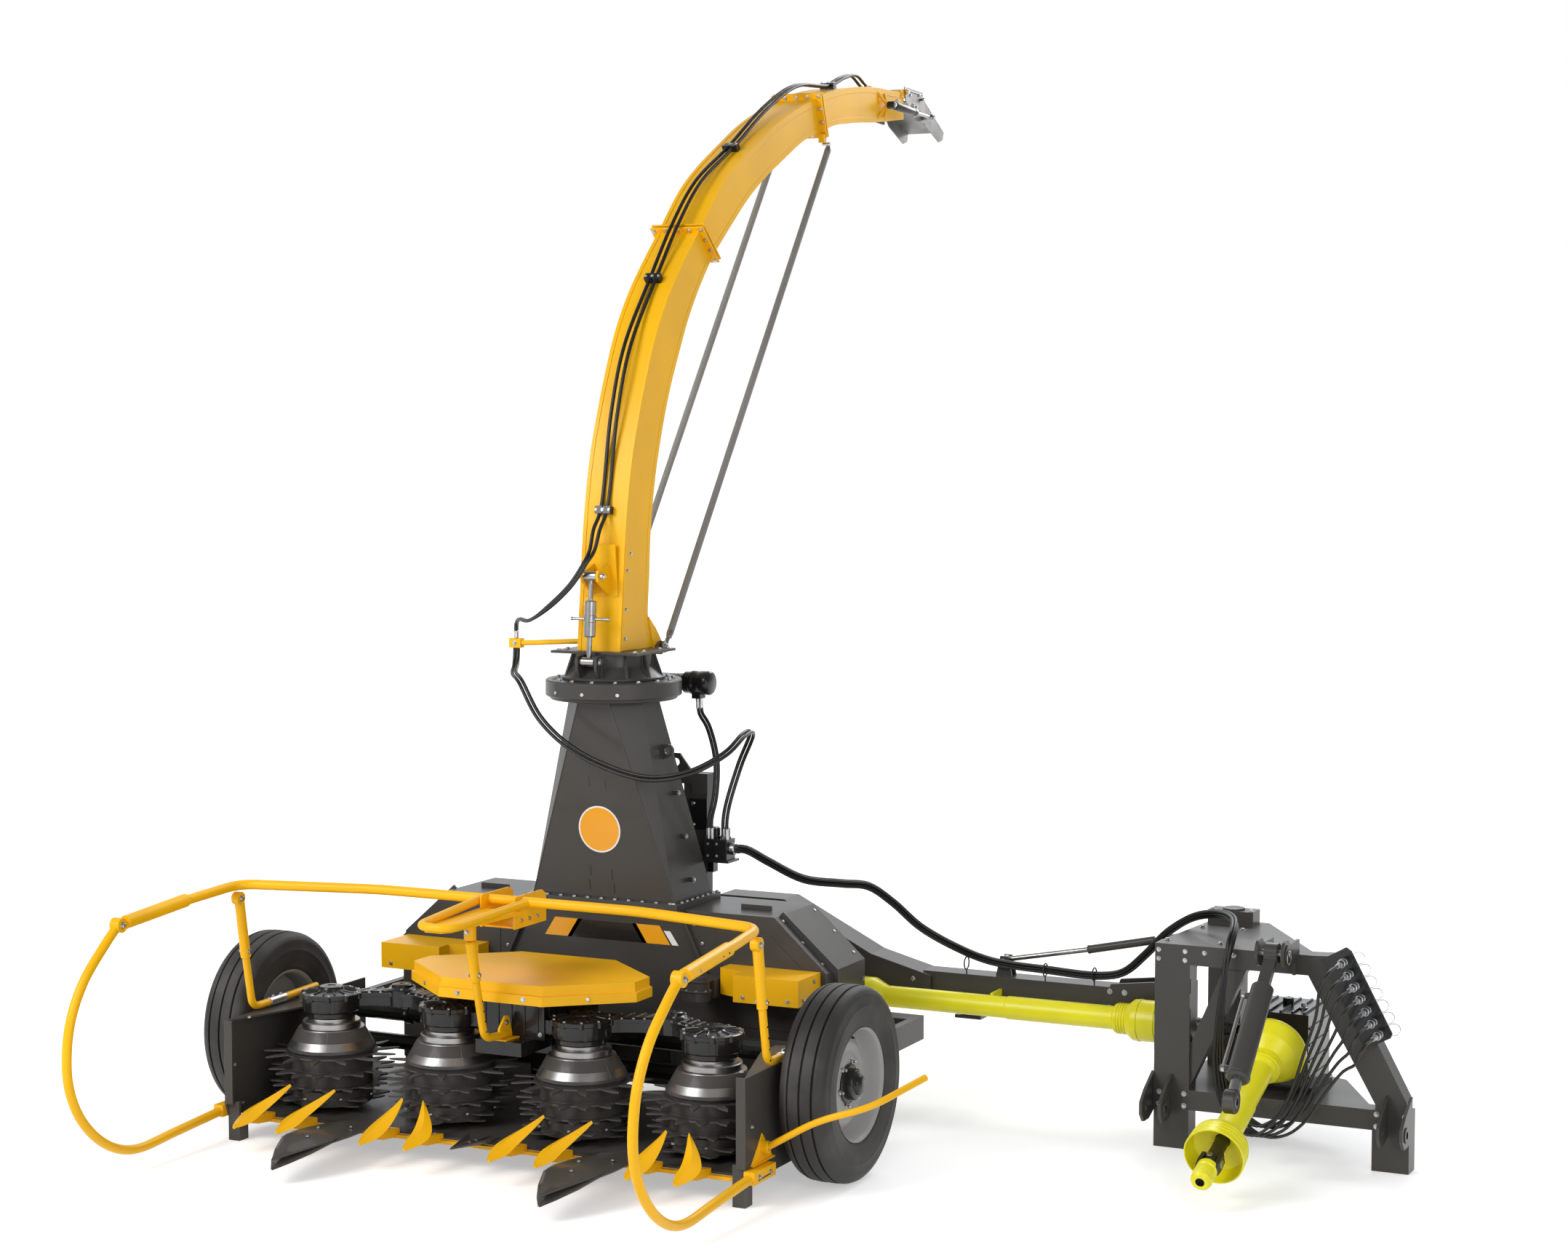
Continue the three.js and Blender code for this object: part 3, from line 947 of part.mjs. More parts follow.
const cylBracket = union(bar([WALL_X - 4, 3600, 4505], [CYL_X - 24, ...CYL_A], 7, 6),
  bar([WALL_X - 4, 3690, 4505], [CYL_X - 24, ...CYL_A], 7, 6),
  bar([WALL_X - 4, 3600, 4368], [CYL_X - 24, ...CYL_A], 7, 6),
    bar([WALL_X - 4, 3690, 4372], [CYL_X - 24, ...CYL_A], 7, 6),
  bar([CYL_X - 34, ...CYL_A], [CYL_X + 26, ...CYL_A], 8, 10));
const hinge1 = union(bar([-WALL_X - 18, ...HINGE_1], [WALL_X + 18, ...HINGE_1], 6, 8),
  box(10 - WALL_X, WALL_X - 10, 3880, 3934, 4518, 4536));
mesh("spout_tip", union(duct(TIP), collar(TIP[0], 8, 28), cylBracket, hinge1), YELLOW, spout);
const STAY_X = WALL_X + 37;
[-1, 1].forEach((k) => {
  const foot2 = [k * STAY_X, 1372, 2010];
  const head = [k * STAY_X, 2950, 4166];
  const eye = union(bar([k * (STAY_X - 6), ...TILT], [k * (STAY_X + 4), ...TILT], 26, 12),
    bar([k * STAY_X, 1334, 1972], foot2, 9, 8));
  const stay = union(eye, bar(foot2, head, 15, 10), bar(head, [k * STAY_X, 2954, 4199.7], 9, 8),
    bar([k * (WALL_X + 10), 2949, 4192], [k * STAY_X, 2949, 4192], 7.5, 8));
  mesh(k > 0 ? "spout_stay_right" : "spout_stay_left",
    stay.subtract(bore([k * (STAY_X - 17), ...TILT], [k * (STAY_X + 13), ...TILT], PIN_R, 12)), STEEL, spout);
});

// Turnbuckle between turret and spout.
const tb = (t, x = 0) => [x, LOW_PIN[0] + (HIGH_PIN[0] - LOW_PIN[0]) * t,
  LOW_PIN[1] + (HIGH_PIN[1] - LOW_PIN[1]) * t];
const tbBody = union(bar([-30, ...LOW_PIN], [30, ...LOW_PIN], 20, 12), bar(tb(0.04), tb(0.3), 11, 8),
  turned([[10.6, 0], [24, 0], [24, 150], [10.6, 150], [10.6, 0]], tb(0.29), tb(1), 12),
    bar(tb(0.29), tb(0.32), 20, 8),
  bar(tb(0.5, -20), tb(0.5, -86), 6, 8), bar(tb(0.5, 20), tb(0.5, 86), 6, 8));
mesh("turnbuckle_body", tbBody.subtract(bore([-40, ...LOW_PIN], [40, ...LOW_PIN], PIN_R, 12)), STEEL, spout);
const tbRod = union(bar(tb(0.42), tb(0.98), 10, 8), bar([-EYE_HALF, ...HIGH_PIN],
  [EYE_HALF, ...HIGH_PIN], 21, 12));
mesh("turnbuckle_rod", tbRod, STEEL, spout);

// Two-part deflector and its cylinder.
function cheeks(points, x0, t) {
  return [plateYZ(points, x0, x0 + t), plateYZ(points, -x0 - t, -x0)];
}
const CHEEK_X = WALL_X + 6;
const flapPin = bar([CHEEK_X, ...CYL_B], [CYL_X - 16 - GAP, ...CYL_B], 12, 10);
const flap = union(cheeks([[3908, 4556], [4136, 4548], [4165, 4440], [4150, 4398], [4040, 4402],
  [3926, 4490]], CHEEK_X, 4), flapPin,
  box(-CHEEK_X - 4, CHEEK_X + 4, 3960, 4104, 4546, 4550),
  [-1, 1].map((k) => bar([k * (WALL_X - 5), ...HINGE_2], [k * (WALL_X + 21), ...HINGE_2], 6, 8)))
  .subtract(bore([-WALL_X - 30, ...HINGE_1], [WALL_X + 30, ...HINGE_1], 6, 8));
mesh("deflector_flap", flap, GRAPHITE, spout);
const tipSheet = plateYZ([[4150, 4508], [4154, 4514], [4425, 4380], [4422, 4374]], -WALL_X - 1, WALL_X + 1);
const flap2 = union(cheeks([[4098, 4532], [4140, 4530], [4432, 4374], [4419, 4336], [4369, 4321],
  [4190, 4392], [4100, 4470]], WALL_X - 3, 4), tipSheet)
  .subtract(bore([-WALL_X - 30, ...HINGE_2], [WALL_X + 30, ...HINGE_2], 6, 8));
mesh("deflector_tip", flap2, GRAPHITE, spout);
const cyl = (t) => [CYL_X, CYL_A[0] + (CYL_B[0] - CYL_A[0]) * t, CYL_A[1] + (CYL_B[1] - CYL_A[1]) * t];
const cylBarrel = union(bar([CYL_X - 18, ...CYL_A], [CYL_X + 18, ...CYL_A], 19, 12),
  bar(cyl(0.02), cyl(0.1), 14, 8),
  turned([[0, 0], [19, 0], [19, 250], [9, 250], [9, 20], [0, 20]], cyl(0.08), cyl(1), 12),
  bar([CYL_X, cyl(0.14)[1], 4445], [CYL_X, cyl(0.14)[1], 4476], 8, 8),
    bar([CYL_X, cyl(0.54)[1], 4440], [CYL_X, cyl(0.54)[1], 4472], 8, 8));
mesh("deflector_barrel", cylBarrel.subtract(bore([CYL_X - 40, ...CYL_A], [CYL_X + 40, ...CYL_A], 8,
  10)), GRAPHITE, spout);
const cylRod = union(bar(cyl(0.36), cyl(0.99), 8.4, 8),
  bar([CYL_X - 16, ...CYL_B], [CYL_X + 16, ...CYL_B], 17, 12));
mesh("deflector_rod", cylRod, STEEL, spout);

// Pair of hoses clipped along the spout's outer face by four blocks, then led as one to the clamp on the arm.
const HOSE_R = 8;
// Point at fraction f between two stations, lifted n off the duct's outer face.
function outer(stations, i, f, n) {
  const a = new THREE.Vector2(...stations[i][0]);
  const b = new THREE.Vector2(...stations[Math.min(i + 1, stations.length - 1)][0]);
  const before = new THREE.Vector2(...stations[Math.max(i - 1, 0)][0]);
  const along2 = (i + 1 < stations.length ? b.clone().sub(a) : a.clone().sub(before)).normalize();
  return a.clone().lerp(b, f).add(new THREE.Vector2(-along2.y, along2.x).multiplyScalar(n));
}
const CLAMPS = [[LOWER, 3, 0.22], [LOWER, 8, 0.4], [MIDDLE, 2, 0.8], [TIP, 1, 0.88]];
const clamps = CLAMPS.map(([stations, i, f]) => {
  const low0 = outer(stations, i, f - 0.07, GAP);
  const low1 = outer(stations, i, f + 0.07, GAP);
  const high1 = outer(stations, i, f + 0.07, 36);
  const high0 = outer(stations, i, f - 0.07, 36);
  return plateYZ([low0, low1, high1, high0].map((p) => [p.x, p.y]), -38, 38);
});
const CLIP_RUN = [[LOWER, 3, 0.22, 20], [LOWER, 5, 0, 34], [LOWER, 6, 0.5, 44], [LOWER, 8, 0.4, 20],
  [LOWER, 10, 0, 46], [MIDDLE, 1, 0, 40],
  [MIDDLE, 2, 0.8, 20], [MIDDLE, 4, 0.5, 50], [MIDDLE, 6, 0, 66], [TIP, 1, 0.88, 20], [TIP, 2, 0.5, 52],
    [TIP, 3, 0, 62], [TIP, 3, 0.28, 24]];
const clipRun = (x) => smooth([[x, 948, 2372], [x, 990, 2460], ...CLIP_RUN.map((c) => {
  const p = outer(...c);
  return [x, p.x, p.y];
})], 22);
const lead = smooth([[0, 952, 2376], [-10, 915, 2330], [-60, 885, 2240], [-160, 885, 2150],
  [-300, 950, 2080], [-405, 1040, 2075],
  [FORK[0], FORK[1], 2050], [FORK[0], FORK[1], FORK_Z1 + GAP]], 13);
const leadStart = box(-22, 22, 938, 962, 2358, 2388);
mesh("spout_hoses", union(pipe(clipRun(-15), HOSE_R, 5), pipe(clipRun(15), HOSE_R, 5), clamps,
  pipe(lead, 13, 6), leadStart), HOSE, spout);

// ---------------------------------------------------------------- free hoses
const loopRun = smooth([[FORK[0], FORK[1], FORK_Z0 - GAP], [FORK[0], FORK[1], 1908], [-400, 990, 1862],
  [-300, 875, 1830], [-190, 838, 1690],
  [-60, 832, 1585], [100, 836, 1510], [320, 850, 1462], [480, 900, 1490], [585, 1010, 1560],
    [600, 1150, 1625], [560, 1300, 1610],
  [470, 1368, 1470], [416, 1362, 1300], [404, 1360, 1230], [404, 1360, 1150 + GAP]], 34);
mesh("hose_loop", pipe(loopRun, 12, 8), HOSE, chassis);
const motorRun = smooth([[242, 1440, MOTOR_Z - 66 - GAP], [242, 1440, 1690], [290, 1425, 1620],
  [345, 1395, 1480], [352, 1370, 1330],
  [334, 1360, 1230], [334, 1360, 1150 + GAP]], 16);
mesh("motor_hose", pipe(motorRun, 11, 8), HOSE, chassis);
const bundleRun = smooth([[VALVE_X0 + 122 + GAP, 1385, 1110], [490, 1385, 1110], [560, 1440, 1060],
  [680, 1550, 975], [800, 1680, 945],
  [880, 1775, 925], [960, 1850, 850], [1060, 1920, 740], [1200, 1990, 650], [1350, 2005, 602],
    [1600, 2005, 585], [1850, 2005, 580],
  [1950, 2005, 604], [2050, 1995, 690], [2160, 1960, HEAD_TOP - 26], [2280, 1925, HEAD_TOP + 50],
    [2400, 1870, HEAD_TOP + 80], [2500, 1740, HEAD_TOP + 89],
  [2545, 1620, HEAD_TOP + 76],
  [2556, 1530, HEAD_TOP + 24], [2545, 1488, 720], [2535, 1470, 560], [2540, 1450, 400],
    [2575, 1430, 270], [2640, 1415, 185], [2720, 1405, 150],
  [2800, 1410, 180], [2870, 1420, 265], [2935, 1405, 400], [3005, 1360, 530], [3060, 1310, 640],
  [COUPLERS[3][0], COUPLER_Y - 150, COUPLERS[3][1]], [COUPLERS[3][0], COUPLER_Y - 80, COUPLERS[3][1]],
  [COUPLERS[3][0], COUPLER_Y - 1, COUPLERS[3][1]]], 54);
mesh("hose_bundle", pipe(bundleRun, 20, 8), HOSE, chassis);

// ---------------------------------------------------------------- drawbar stay and side lever
const stayA = [STAY_LUG_X, 2056, 604];
const stayB = [1775, 2054, 677];
const stayC = [2070, 2052, 741];
const stayEnd = [2281, 2090, HEAD_TOP - 36];
const stayBar = union(bar([stayA[0], 2056 - 19 + GAP, stayA[2]], [stayA[0], 2056 + 19 - GAP, stayA[2]],
  17, 12), bar(stayA, stayB, 11, 8),
  bar(stayB, stayC, 18, 10), bar(stayC, stayEnd, 12, 8),
    box(2262, 2300 - GAP, 2070, 2110, HEAD_TOP - 58, HEAD_TOP - TOP_T - GAP));
mesh("drawbar_stay", stayBar, STEEL, chassis);
const leverFoot = plateYZ([[40, 150], [228, 150], [134, 262]], HALF + PANEL_T / 2 + GAP,
  HALF + PANEL_T / 2 + 8);
const leverRun = rounded([[9, 134, 208], [40, 130, 214], [255, 96, 341], [455, 112, 405], [575, 350, 480]]
  .map(([x, y, z]) => [HALF + x, y, z]), 60, 2);
mesh("side_lever", union(leverFoot, pipe(leverRun, 13, 8),
  bar([HALF + 5, 134, 208], [HALF + 37, 134, 208], 24, 12)), YELLOW, chassis);

// The finished model stands with its own origin on the ground under the middle of its bounding box.
const SPOUT_REACH = 4432;
const LOOP_REACH = 919 + 19 * Math.cos(Math.PI / 8);
harvester.position.set(-(HEAD_X1 + 11 - WHEEL_X - TYRE_W / 2) / 2, -(SPOUT_REACH - LOOP_REACH) / 2, 0);

export default harvester;
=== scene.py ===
import bmesh
import bpy
import json
import math
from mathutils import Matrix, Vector


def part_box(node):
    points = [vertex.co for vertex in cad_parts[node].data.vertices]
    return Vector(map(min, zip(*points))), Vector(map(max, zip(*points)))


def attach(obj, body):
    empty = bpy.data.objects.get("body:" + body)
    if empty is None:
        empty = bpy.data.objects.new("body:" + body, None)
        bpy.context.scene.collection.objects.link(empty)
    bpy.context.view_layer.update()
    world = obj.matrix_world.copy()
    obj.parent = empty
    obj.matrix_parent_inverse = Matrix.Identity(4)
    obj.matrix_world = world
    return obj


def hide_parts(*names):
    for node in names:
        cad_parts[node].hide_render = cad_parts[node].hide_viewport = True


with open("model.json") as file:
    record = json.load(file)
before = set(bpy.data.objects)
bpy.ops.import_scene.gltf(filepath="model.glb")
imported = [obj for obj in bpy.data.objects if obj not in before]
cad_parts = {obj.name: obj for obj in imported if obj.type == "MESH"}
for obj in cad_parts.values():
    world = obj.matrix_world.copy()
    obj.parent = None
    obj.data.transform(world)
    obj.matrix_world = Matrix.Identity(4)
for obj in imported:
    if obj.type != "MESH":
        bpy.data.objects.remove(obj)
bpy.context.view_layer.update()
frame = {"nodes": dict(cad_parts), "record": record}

# ---------------------------------------------------------------- place and camera
# The header frame: X across the header from its middle, Y back from the side panels' front edge, Z up,
# in millimetres. Every piece is drawn in it and set down in the row frame by at().
panel_low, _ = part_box("side_panel_left")
_, panel_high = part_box("side_panel_right")
header_x = (panel_low.x + panel_high.x) / 2
header_y = panel_low.y


def at(p):
    return Vector((header_x + p[0] / 1000, header_y + p[1] / 1000, p[2] / 1000))


scene = bpy.context.scene
scene.view_settings.view_transform = "Standard"
camera_data = bpy.data.cameras.new("camera")
camera_data.sensor_width = 36
camera_data.lens = 66.24
camera_data.clip_end = 200
camera = bpy.data.objects.new("camera", camera_data)
scene.collection.objects.link(camera)
camera.location = at((5882, -9377, 2937))
camera.rotation_euler = Vector((-0.43485, 0.89748, -0.07379)).to_track_quat("-Z", "Y").to_euler()
scene.camera = camera

# ---------------------------------------------------------------- crop rotors
# Four vertical drums of pressed steel with a polished neck cone, each carrying five toothed discs cut from
# hard sheet: long fingers on top, saw teeth below, broad hooks and knives at the foot. Dark, worn bright.


# A colour of the paint chart, in the linear numbers that the renderer takes.
def linear(text):
    channels = [int(text[i:i + 2], 16) / 255 for i in (1, 3, 5)]
    return [c / 12.92 if c <= 0.04045 else ((c + 0.055) / 1.055) ** 2.4 for c in channels] + [1.0]


# One shader node: an input given as a socket is linked, and any other is set.
def add_node(tree, kind, inputs=None, **settings):
    node = tree.nodes.new(kind)
    for key, value in settings.items():
        setattr(node, key, value)
    for key, value in (inputs or {}).items():
        if isinstance(value, bpy.types.NodeSocket):
            tree.links.new(value, node.inputs[key])
        else:
            node.inputs[key].default_value = value
    return node


# A new material with nothing in its node tree.
def blank(name):
    material = bpy.data.materials.new(name)
    material.use_nodes = True
    material.node_tree.nodes.clear()
    return material, material.node_tree


# Baked enamel on welded steel: a clear gloss over one colour, with the faint waviness of sprayed paint,
# slow drifts of shade, fine dust in the lower parts and a thin bright line where edges are worn.
def enamel(name, colour, gloss, coat, edge, dust=0.12, edge_mm=1.5):
    material, tree = blank(name)
    place = add_node(tree, "ShaderNodeTexCoord").outputs["Object"]
    drift = add_node(tree, "ShaderNodeTexNoise", {"Vector": place, "Scale": 2.2, "Detail": 4.0})
    shade = add_node(tree, "ShaderNodeMapRange", {0: drift.outputs["Fac"], 1: 0.3, 2: 0.7, 3: 0.92, 4: 1.06})
    tone = add_node(tree, "ShaderNodeMix", {0: 1.0, 6: linear(colour), 7: (1, 1, 1, 1)}, data_type="RGBA",
                    blend_type="MULTIPLY")
    grey = add_node(tree, "ShaderNodeCombineColor", {0: shade.outputs[0], 1: shade.outputs[0],
        2: shade.outputs[0]})
    tree.links.new(grey.outputs[0], tone.inputs[7])
    speck = add_node(tree, "ShaderNodeTexNoise", {"Vector": place, "Scale": 60.0, "Detail": 6.0,
        "Roughness": 0.7})
    height = add_node(tree, "ShaderNodeSeparateXYZ", {0: place})
    low = add_node(tree, "ShaderNodeMapRange", {0: height.outputs[2], 1: 0.0, 2: 0.9, 3: dust, 4: 0.0})
    film = add_node(tree, "ShaderNodeMath", {0: speck.outputs["Fac"], 1: low.outputs[0]},
                    operation="MULTIPLY")
    dusty = add_node(tree, "ShaderNodeMix", {0: film.outputs[0], 6: tone.outputs[2], 7: linear("#B9AE9A")},
                     data_type="RGBA")
    rounded = add_node(tree, "ShaderNodeBevel", {"Radius": edge_mm / 1000}, samples=4)
    flat = add_node(tree, "ShaderNodeNewGeometry")
    turn = add_node(tree, "ShaderNodeVectorMath", {0: rounded.outputs[0], 1: flat.outputs["Normal"]},
                    operation="DOT_PRODUCT")
    worn = add_node(tree, "ShaderNodeMapRange", {0: turn.outputs["Value"], 1: 0.98, 2: 0.86, 3: 0.0, 4: 0.55})
    edged = add_node(tree, "ShaderNodeMix", {0: worn.outputs[0], 6: dusty.outputs[2], 7: linear(edge)},
                     data_type="RGBA")
    wave = add_node(tree, "ShaderNodeTexNoise", {"Vector": place, "Scale": 220.0, "Detail": 2.0})
    skin = add_node(tree, "ShaderNodeBump", {"Height": wave.outputs["Fac"], "Strength": 0.05,
                                             "Distance": 0.0006, "Normal": rounded.outputs[0]})
    rough = add_node(tree, "ShaderNodeMapRange", {0: drift.outputs["Fac"], 1: 0.3, 2: 0.7,
        3: gloss - 0.03, 4: gloss + 0.07})
    surface = add_node(tree, "ShaderNodeBsdfPrincipled", {
        "Base Color": edged.outputs[2], "Roughness": rough.outputs[0], "IOR": 1.46, "Specular IOR Level": 0.3,
        "Coat Weight": coat, "Coat Roughness": 0.08, "Normal": skin.outputs[0]})
    add_node(tree, "ShaderNodeOutputMaterial", {"Surface": surface.outputs[0]})
    return material


# Bare steel: brushed or machined, slightly uneven, a little darker where it has been handled.
def bare_metal(name, colour, rough, grain=(40.0, 40.0, 400.0), dark="#55524E"):
    material, tree = blank(name)
    place = add_node(tree, "ShaderNodeTexCoord").outputs["Object"]
    stretch = add_node(tree, "ShaderNodeVectorMath", {0: place, 1: grain}, operation="MULTIPLY")
    lines = add_node(tree, "ShaderNodeTexNoise", {"Vector": stretch.outputs[0], "Scale": 1.0, "Detail": 3.0})
    blot = add_node(tree, "ShaderNodeTexNoise", {"Vector": place, "Scale": 9.0, "Detail": 5.0})
    dull = add_node(tree, "ShaderNodeMapRange", {0: blot.outputs["Fac"], 1: 0.45, 2: 0.75, 3: 0.0, 4: 0.5})
    tone = add_node(tree, "ShaderNodeMix", {0: dull.outputs[0], 6: linear(colour), 7: linear(dark)},
                    data_type="RGBA")
    polish = add_node(tree, "ShaderNodeMapRange", {0: lines.outputs["Fac"], 3: rough - 0.08, 4: rough + 0.12})
    rounded = add_node(tree, "ShaderNodeBevel", {"Radius": 0.0008}, samples=4)
    skin = add_node(tree, "ShaderNodeBump", {"Height": lines.outputs["Fac"], "Strength": 0.12,
                                             "Distance": 0.0005, "Normal": rounded.outputs[0]})
    surface = add_node(tree, "ShaderNodeBsdfPrincipled", {
        "Base Color": tone.outputs[2], "Metallic": 1.0, "Roughness": polish.outputs[0],
        "Normal": skin.outputs[0]})
    add_node(tree, "ShaderNodeOutputMaterial", {"Surface": surface.outputs[0]})
    return material


# Each shape adds its points and faces to one list, so that a piece made of many small things is one
# mesh. The skin says which of the materials of the piece a face wears.
class Casting:
    def __init__(self):
        self.points = []
        self.faces = []
        self.skins = []

    def add(self, points, faces, skin=0):
        base = len(self.points)
        self.points += [Vector(p) for p in points]
        self.faces += [[base + i for i in f] for f in faces]
        self.skins += [skin] * len(faces)

    def block(self, x0, x1, y0, y1, z0, z1, skin=0):
        points = [(x, y, z) for z in (z0, z1) for y in (y0, y1) for x in (x0, x1)]
        faces = [(0, 2, 3, 1), (4, 5, 7, 6), (0, 1, 5, 4), (2, 6, 7, 3), (0, 4, 6, 2), (1, 3, 7, 5)]
        self.add(points, faces, skin)

    def slab(self, outline, low, high, plane="xy", skin=0):
        def put(u, v, w):
            return {"xy": (u, v, w), "xz": (u, w, v), "yz": (w, u, v)}[plane]
        n = len(outline)
        points = [put(u, v, low) for u, v in outline] + [put(u, v, high) for u, v in outline]
        faces = [list(range(n))[::-1], list(range(n, 2 * n))]
        faces += [(i, (i + 1) % n, n + (i + 1) % n, n + i) for i in range(n)]
        self.add(points, faces, skin)

    def hexahedron(self, points, skin=0):
        faces = [(0, 1, 2, 3), (7, 6, 5, 4), (0, 4, 5, 1), (1, 5, 6, 2), (2, 6, 7, 3), (3, 7, 4, 0)]
        self.add(points, faces, skin)

    def loft(self, rows, skin=0):
        n = len(rows[0])
        last = (len(rows) - 1) * n
        faces = [tuple(range(n)), (last,) + tuple(range(last + n - 1, last, -1))]
        for i in range(0, last, n):
            for k in range(n):
                m = (k + 1) % n
                faces.append((i + k, i + m, i + n + m, i + n + k))
        self.add([p for row in rows for p in row], faces, skin)

    def turned(self, profile, a, b, count=40, skin=0, start=0.0):
        a = Vector(a)
        along = (Vector(b) - a).normalized()
        side = along.orthogonal().normalized()
        other = along.cross(side)
        points = []
        for r, h in profile:
            for k in range(count):
                angle = start + 2 * math.pi * k / count
                points.append(a + along * h + (side * math.cos(angle) + other * math.sin(angle)) * r)
        faces = []
        for i in range(len(profile) - 1):
            for k in range(count):
                m = (k + 1) % count
                faces.append((i * count + k, i * count + m, (i + 1) * count + m, (i + 1) * count + k))
        self.add(points, faces, skin)

    def tube(self, path, radius, count=16, skin=0):
        path = [Vector(p) for p in path]
        side = (path[1] - path[0]).orthogonal().normalized()
        points = []
        for i, p in enumerate(path):
            along = (path[min(i + 1, len(path) - 1)] - path[max(i - 1, 0)]).normalized()
            side = (side - along * side.dot(along)).normalized()
            other = along.cross(side)
            for k in range(count):
                angle = 2 * math.pi * k / count
                points.append(p + (side * math.cos(angle) + other * math.sin(angle)) * radius)
        faces = [list(range(count))[::-1], list(range((len(path) - 1) * count, len(path) * count))]
        for i in range(len(path) - 1):
            for k in range(count):
                m = (k + 1) % count
                faces.append((i * count + k, i * count + m, (i + 1) * count + m, (i + 1) * count + k))
        self.add(points, faces, skin)

    def rod(self, a, b, radius, count=20, skin=0, lip=1.2):
        length = (Vector(b) - Vector(a)).length
        lip = min(lip, length / 3, radius / 3)
        self.turned([(0, 0), (radius - lip, 0), (radius, lip), (radius, length - lip),
                     (radius - lip, length), (0, length)], a, b, count, skin)

    def bolt(self, p, facing, size=8, skin=0, washer=True):
        p = Vector(p)
        facing = Vector(facing).normalized()
        if washer:
            self.turned([(0, 0), (size * 1.25, 0), (size * 1.25, size * 0.2), (0, size * 0.2)], p,
                        p + facing, 16, skin)
        self.turned([(0, size * 0.2), (size * 0.95, size * 0.2), (size * 0.95, size * 0.75),
                     (size * 0.8, size * 0.9), (0, size * 0.9)], p, p + facing, 6, skin)

    def piece(self, name, skins, body, replaces=(), bevel=0.0, angle=35):
        mesh = bpy.data.meshes.new(name)
        mesh.from_pydata([at(p) for p in self.points], [], self.faces)
        for skin in skins:
            mesh.materials.append(skin)
        mesh.polygons.foreach_set("material_index", self.skins)
        work = bmesh.new()
        work.from_mesh(mesh)
        bmesh.ops.remove_doubles(work, verts=work.verts, dist=0.00001)
        bmesh.ops.dissolve_degenerate(work, edges=work.edges, dist=0.00001)
        bmesh.ops.recalc_face_normals(work, faces=work.faces)
        work.to_mesh(mesh)
        work.free()
        for polygon in mesh.polygons:
            polygon.use_smooth = True
        mesh.set_sharp_from_angle(angle=math.radians(angle))
        thing = bpy.data.objects.new(name, mesh)
        scene.collection.objects.link(thing)
        if bevel:
            modifier = thing.modifiers.new("edges", "BEVEL")
            modifier.width = bevel / 1000
            modifier.segments = 2
            modifier.limit_method = "ANGLE"
            modifier.angle_limit = math.radians(40)
            modifier.harden_normals = True
        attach(thing, body)
        if replaces:
            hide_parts(*replaces)
        return thing


# Bright zinc plate on bolts and unions.
zinc_plate = bare_metal("zinc_plate", "#C9CACC", 0.3)
# Ground and hard-chromed steel rods.
ground_steel = bare_metal("ground_steel", "#A7A6A5", 0.3, (30.0, 30.0, 300.0))


# The outline of a disc with curved teeth: lean and width are shares of the pitch.
def toothed(count, root, tip, lean, width, hook=0.0, steps=4):
    outline = []
    pitch = 2 * math.pi / count
    for k in range(count):
        base = k * pitch
        for s in range(steps + 1):
            t = s / steps
            outline.append((root + (tip - root) * t, base + pitch * lean * t ** 1.4))
        for s in range(steps + 1):
            t = 1 - s / steps
            spread = width * (1 - t) ** 0.8 + hook * t * (1 - t)
            outline.append((root + (tip - root) * t - (0.5 if s == 0 else 0),
                            base + pitch * (lean * t ** 1.4 + spread + 0.02)))
    return [(r * math.cos(a), r * math.sin(a)) for r, a in outline]


rotor_y = 320
rotors = (("rotor_outer_left", -877, 0), ("rotor_inner_left", -303, 7), ("rotor_inner_right", 303, 14),
          ("rotor_outer_right", 877, 21))
# Dark satin enamel over hard sheet, worn to a dull shine along the edges of the teeth.
rotor_sheet = enamel("rotor_sheet", "#454341", 0.38, 0.1, "#A5A39F", dust=0.06, edge_mm=1.0)
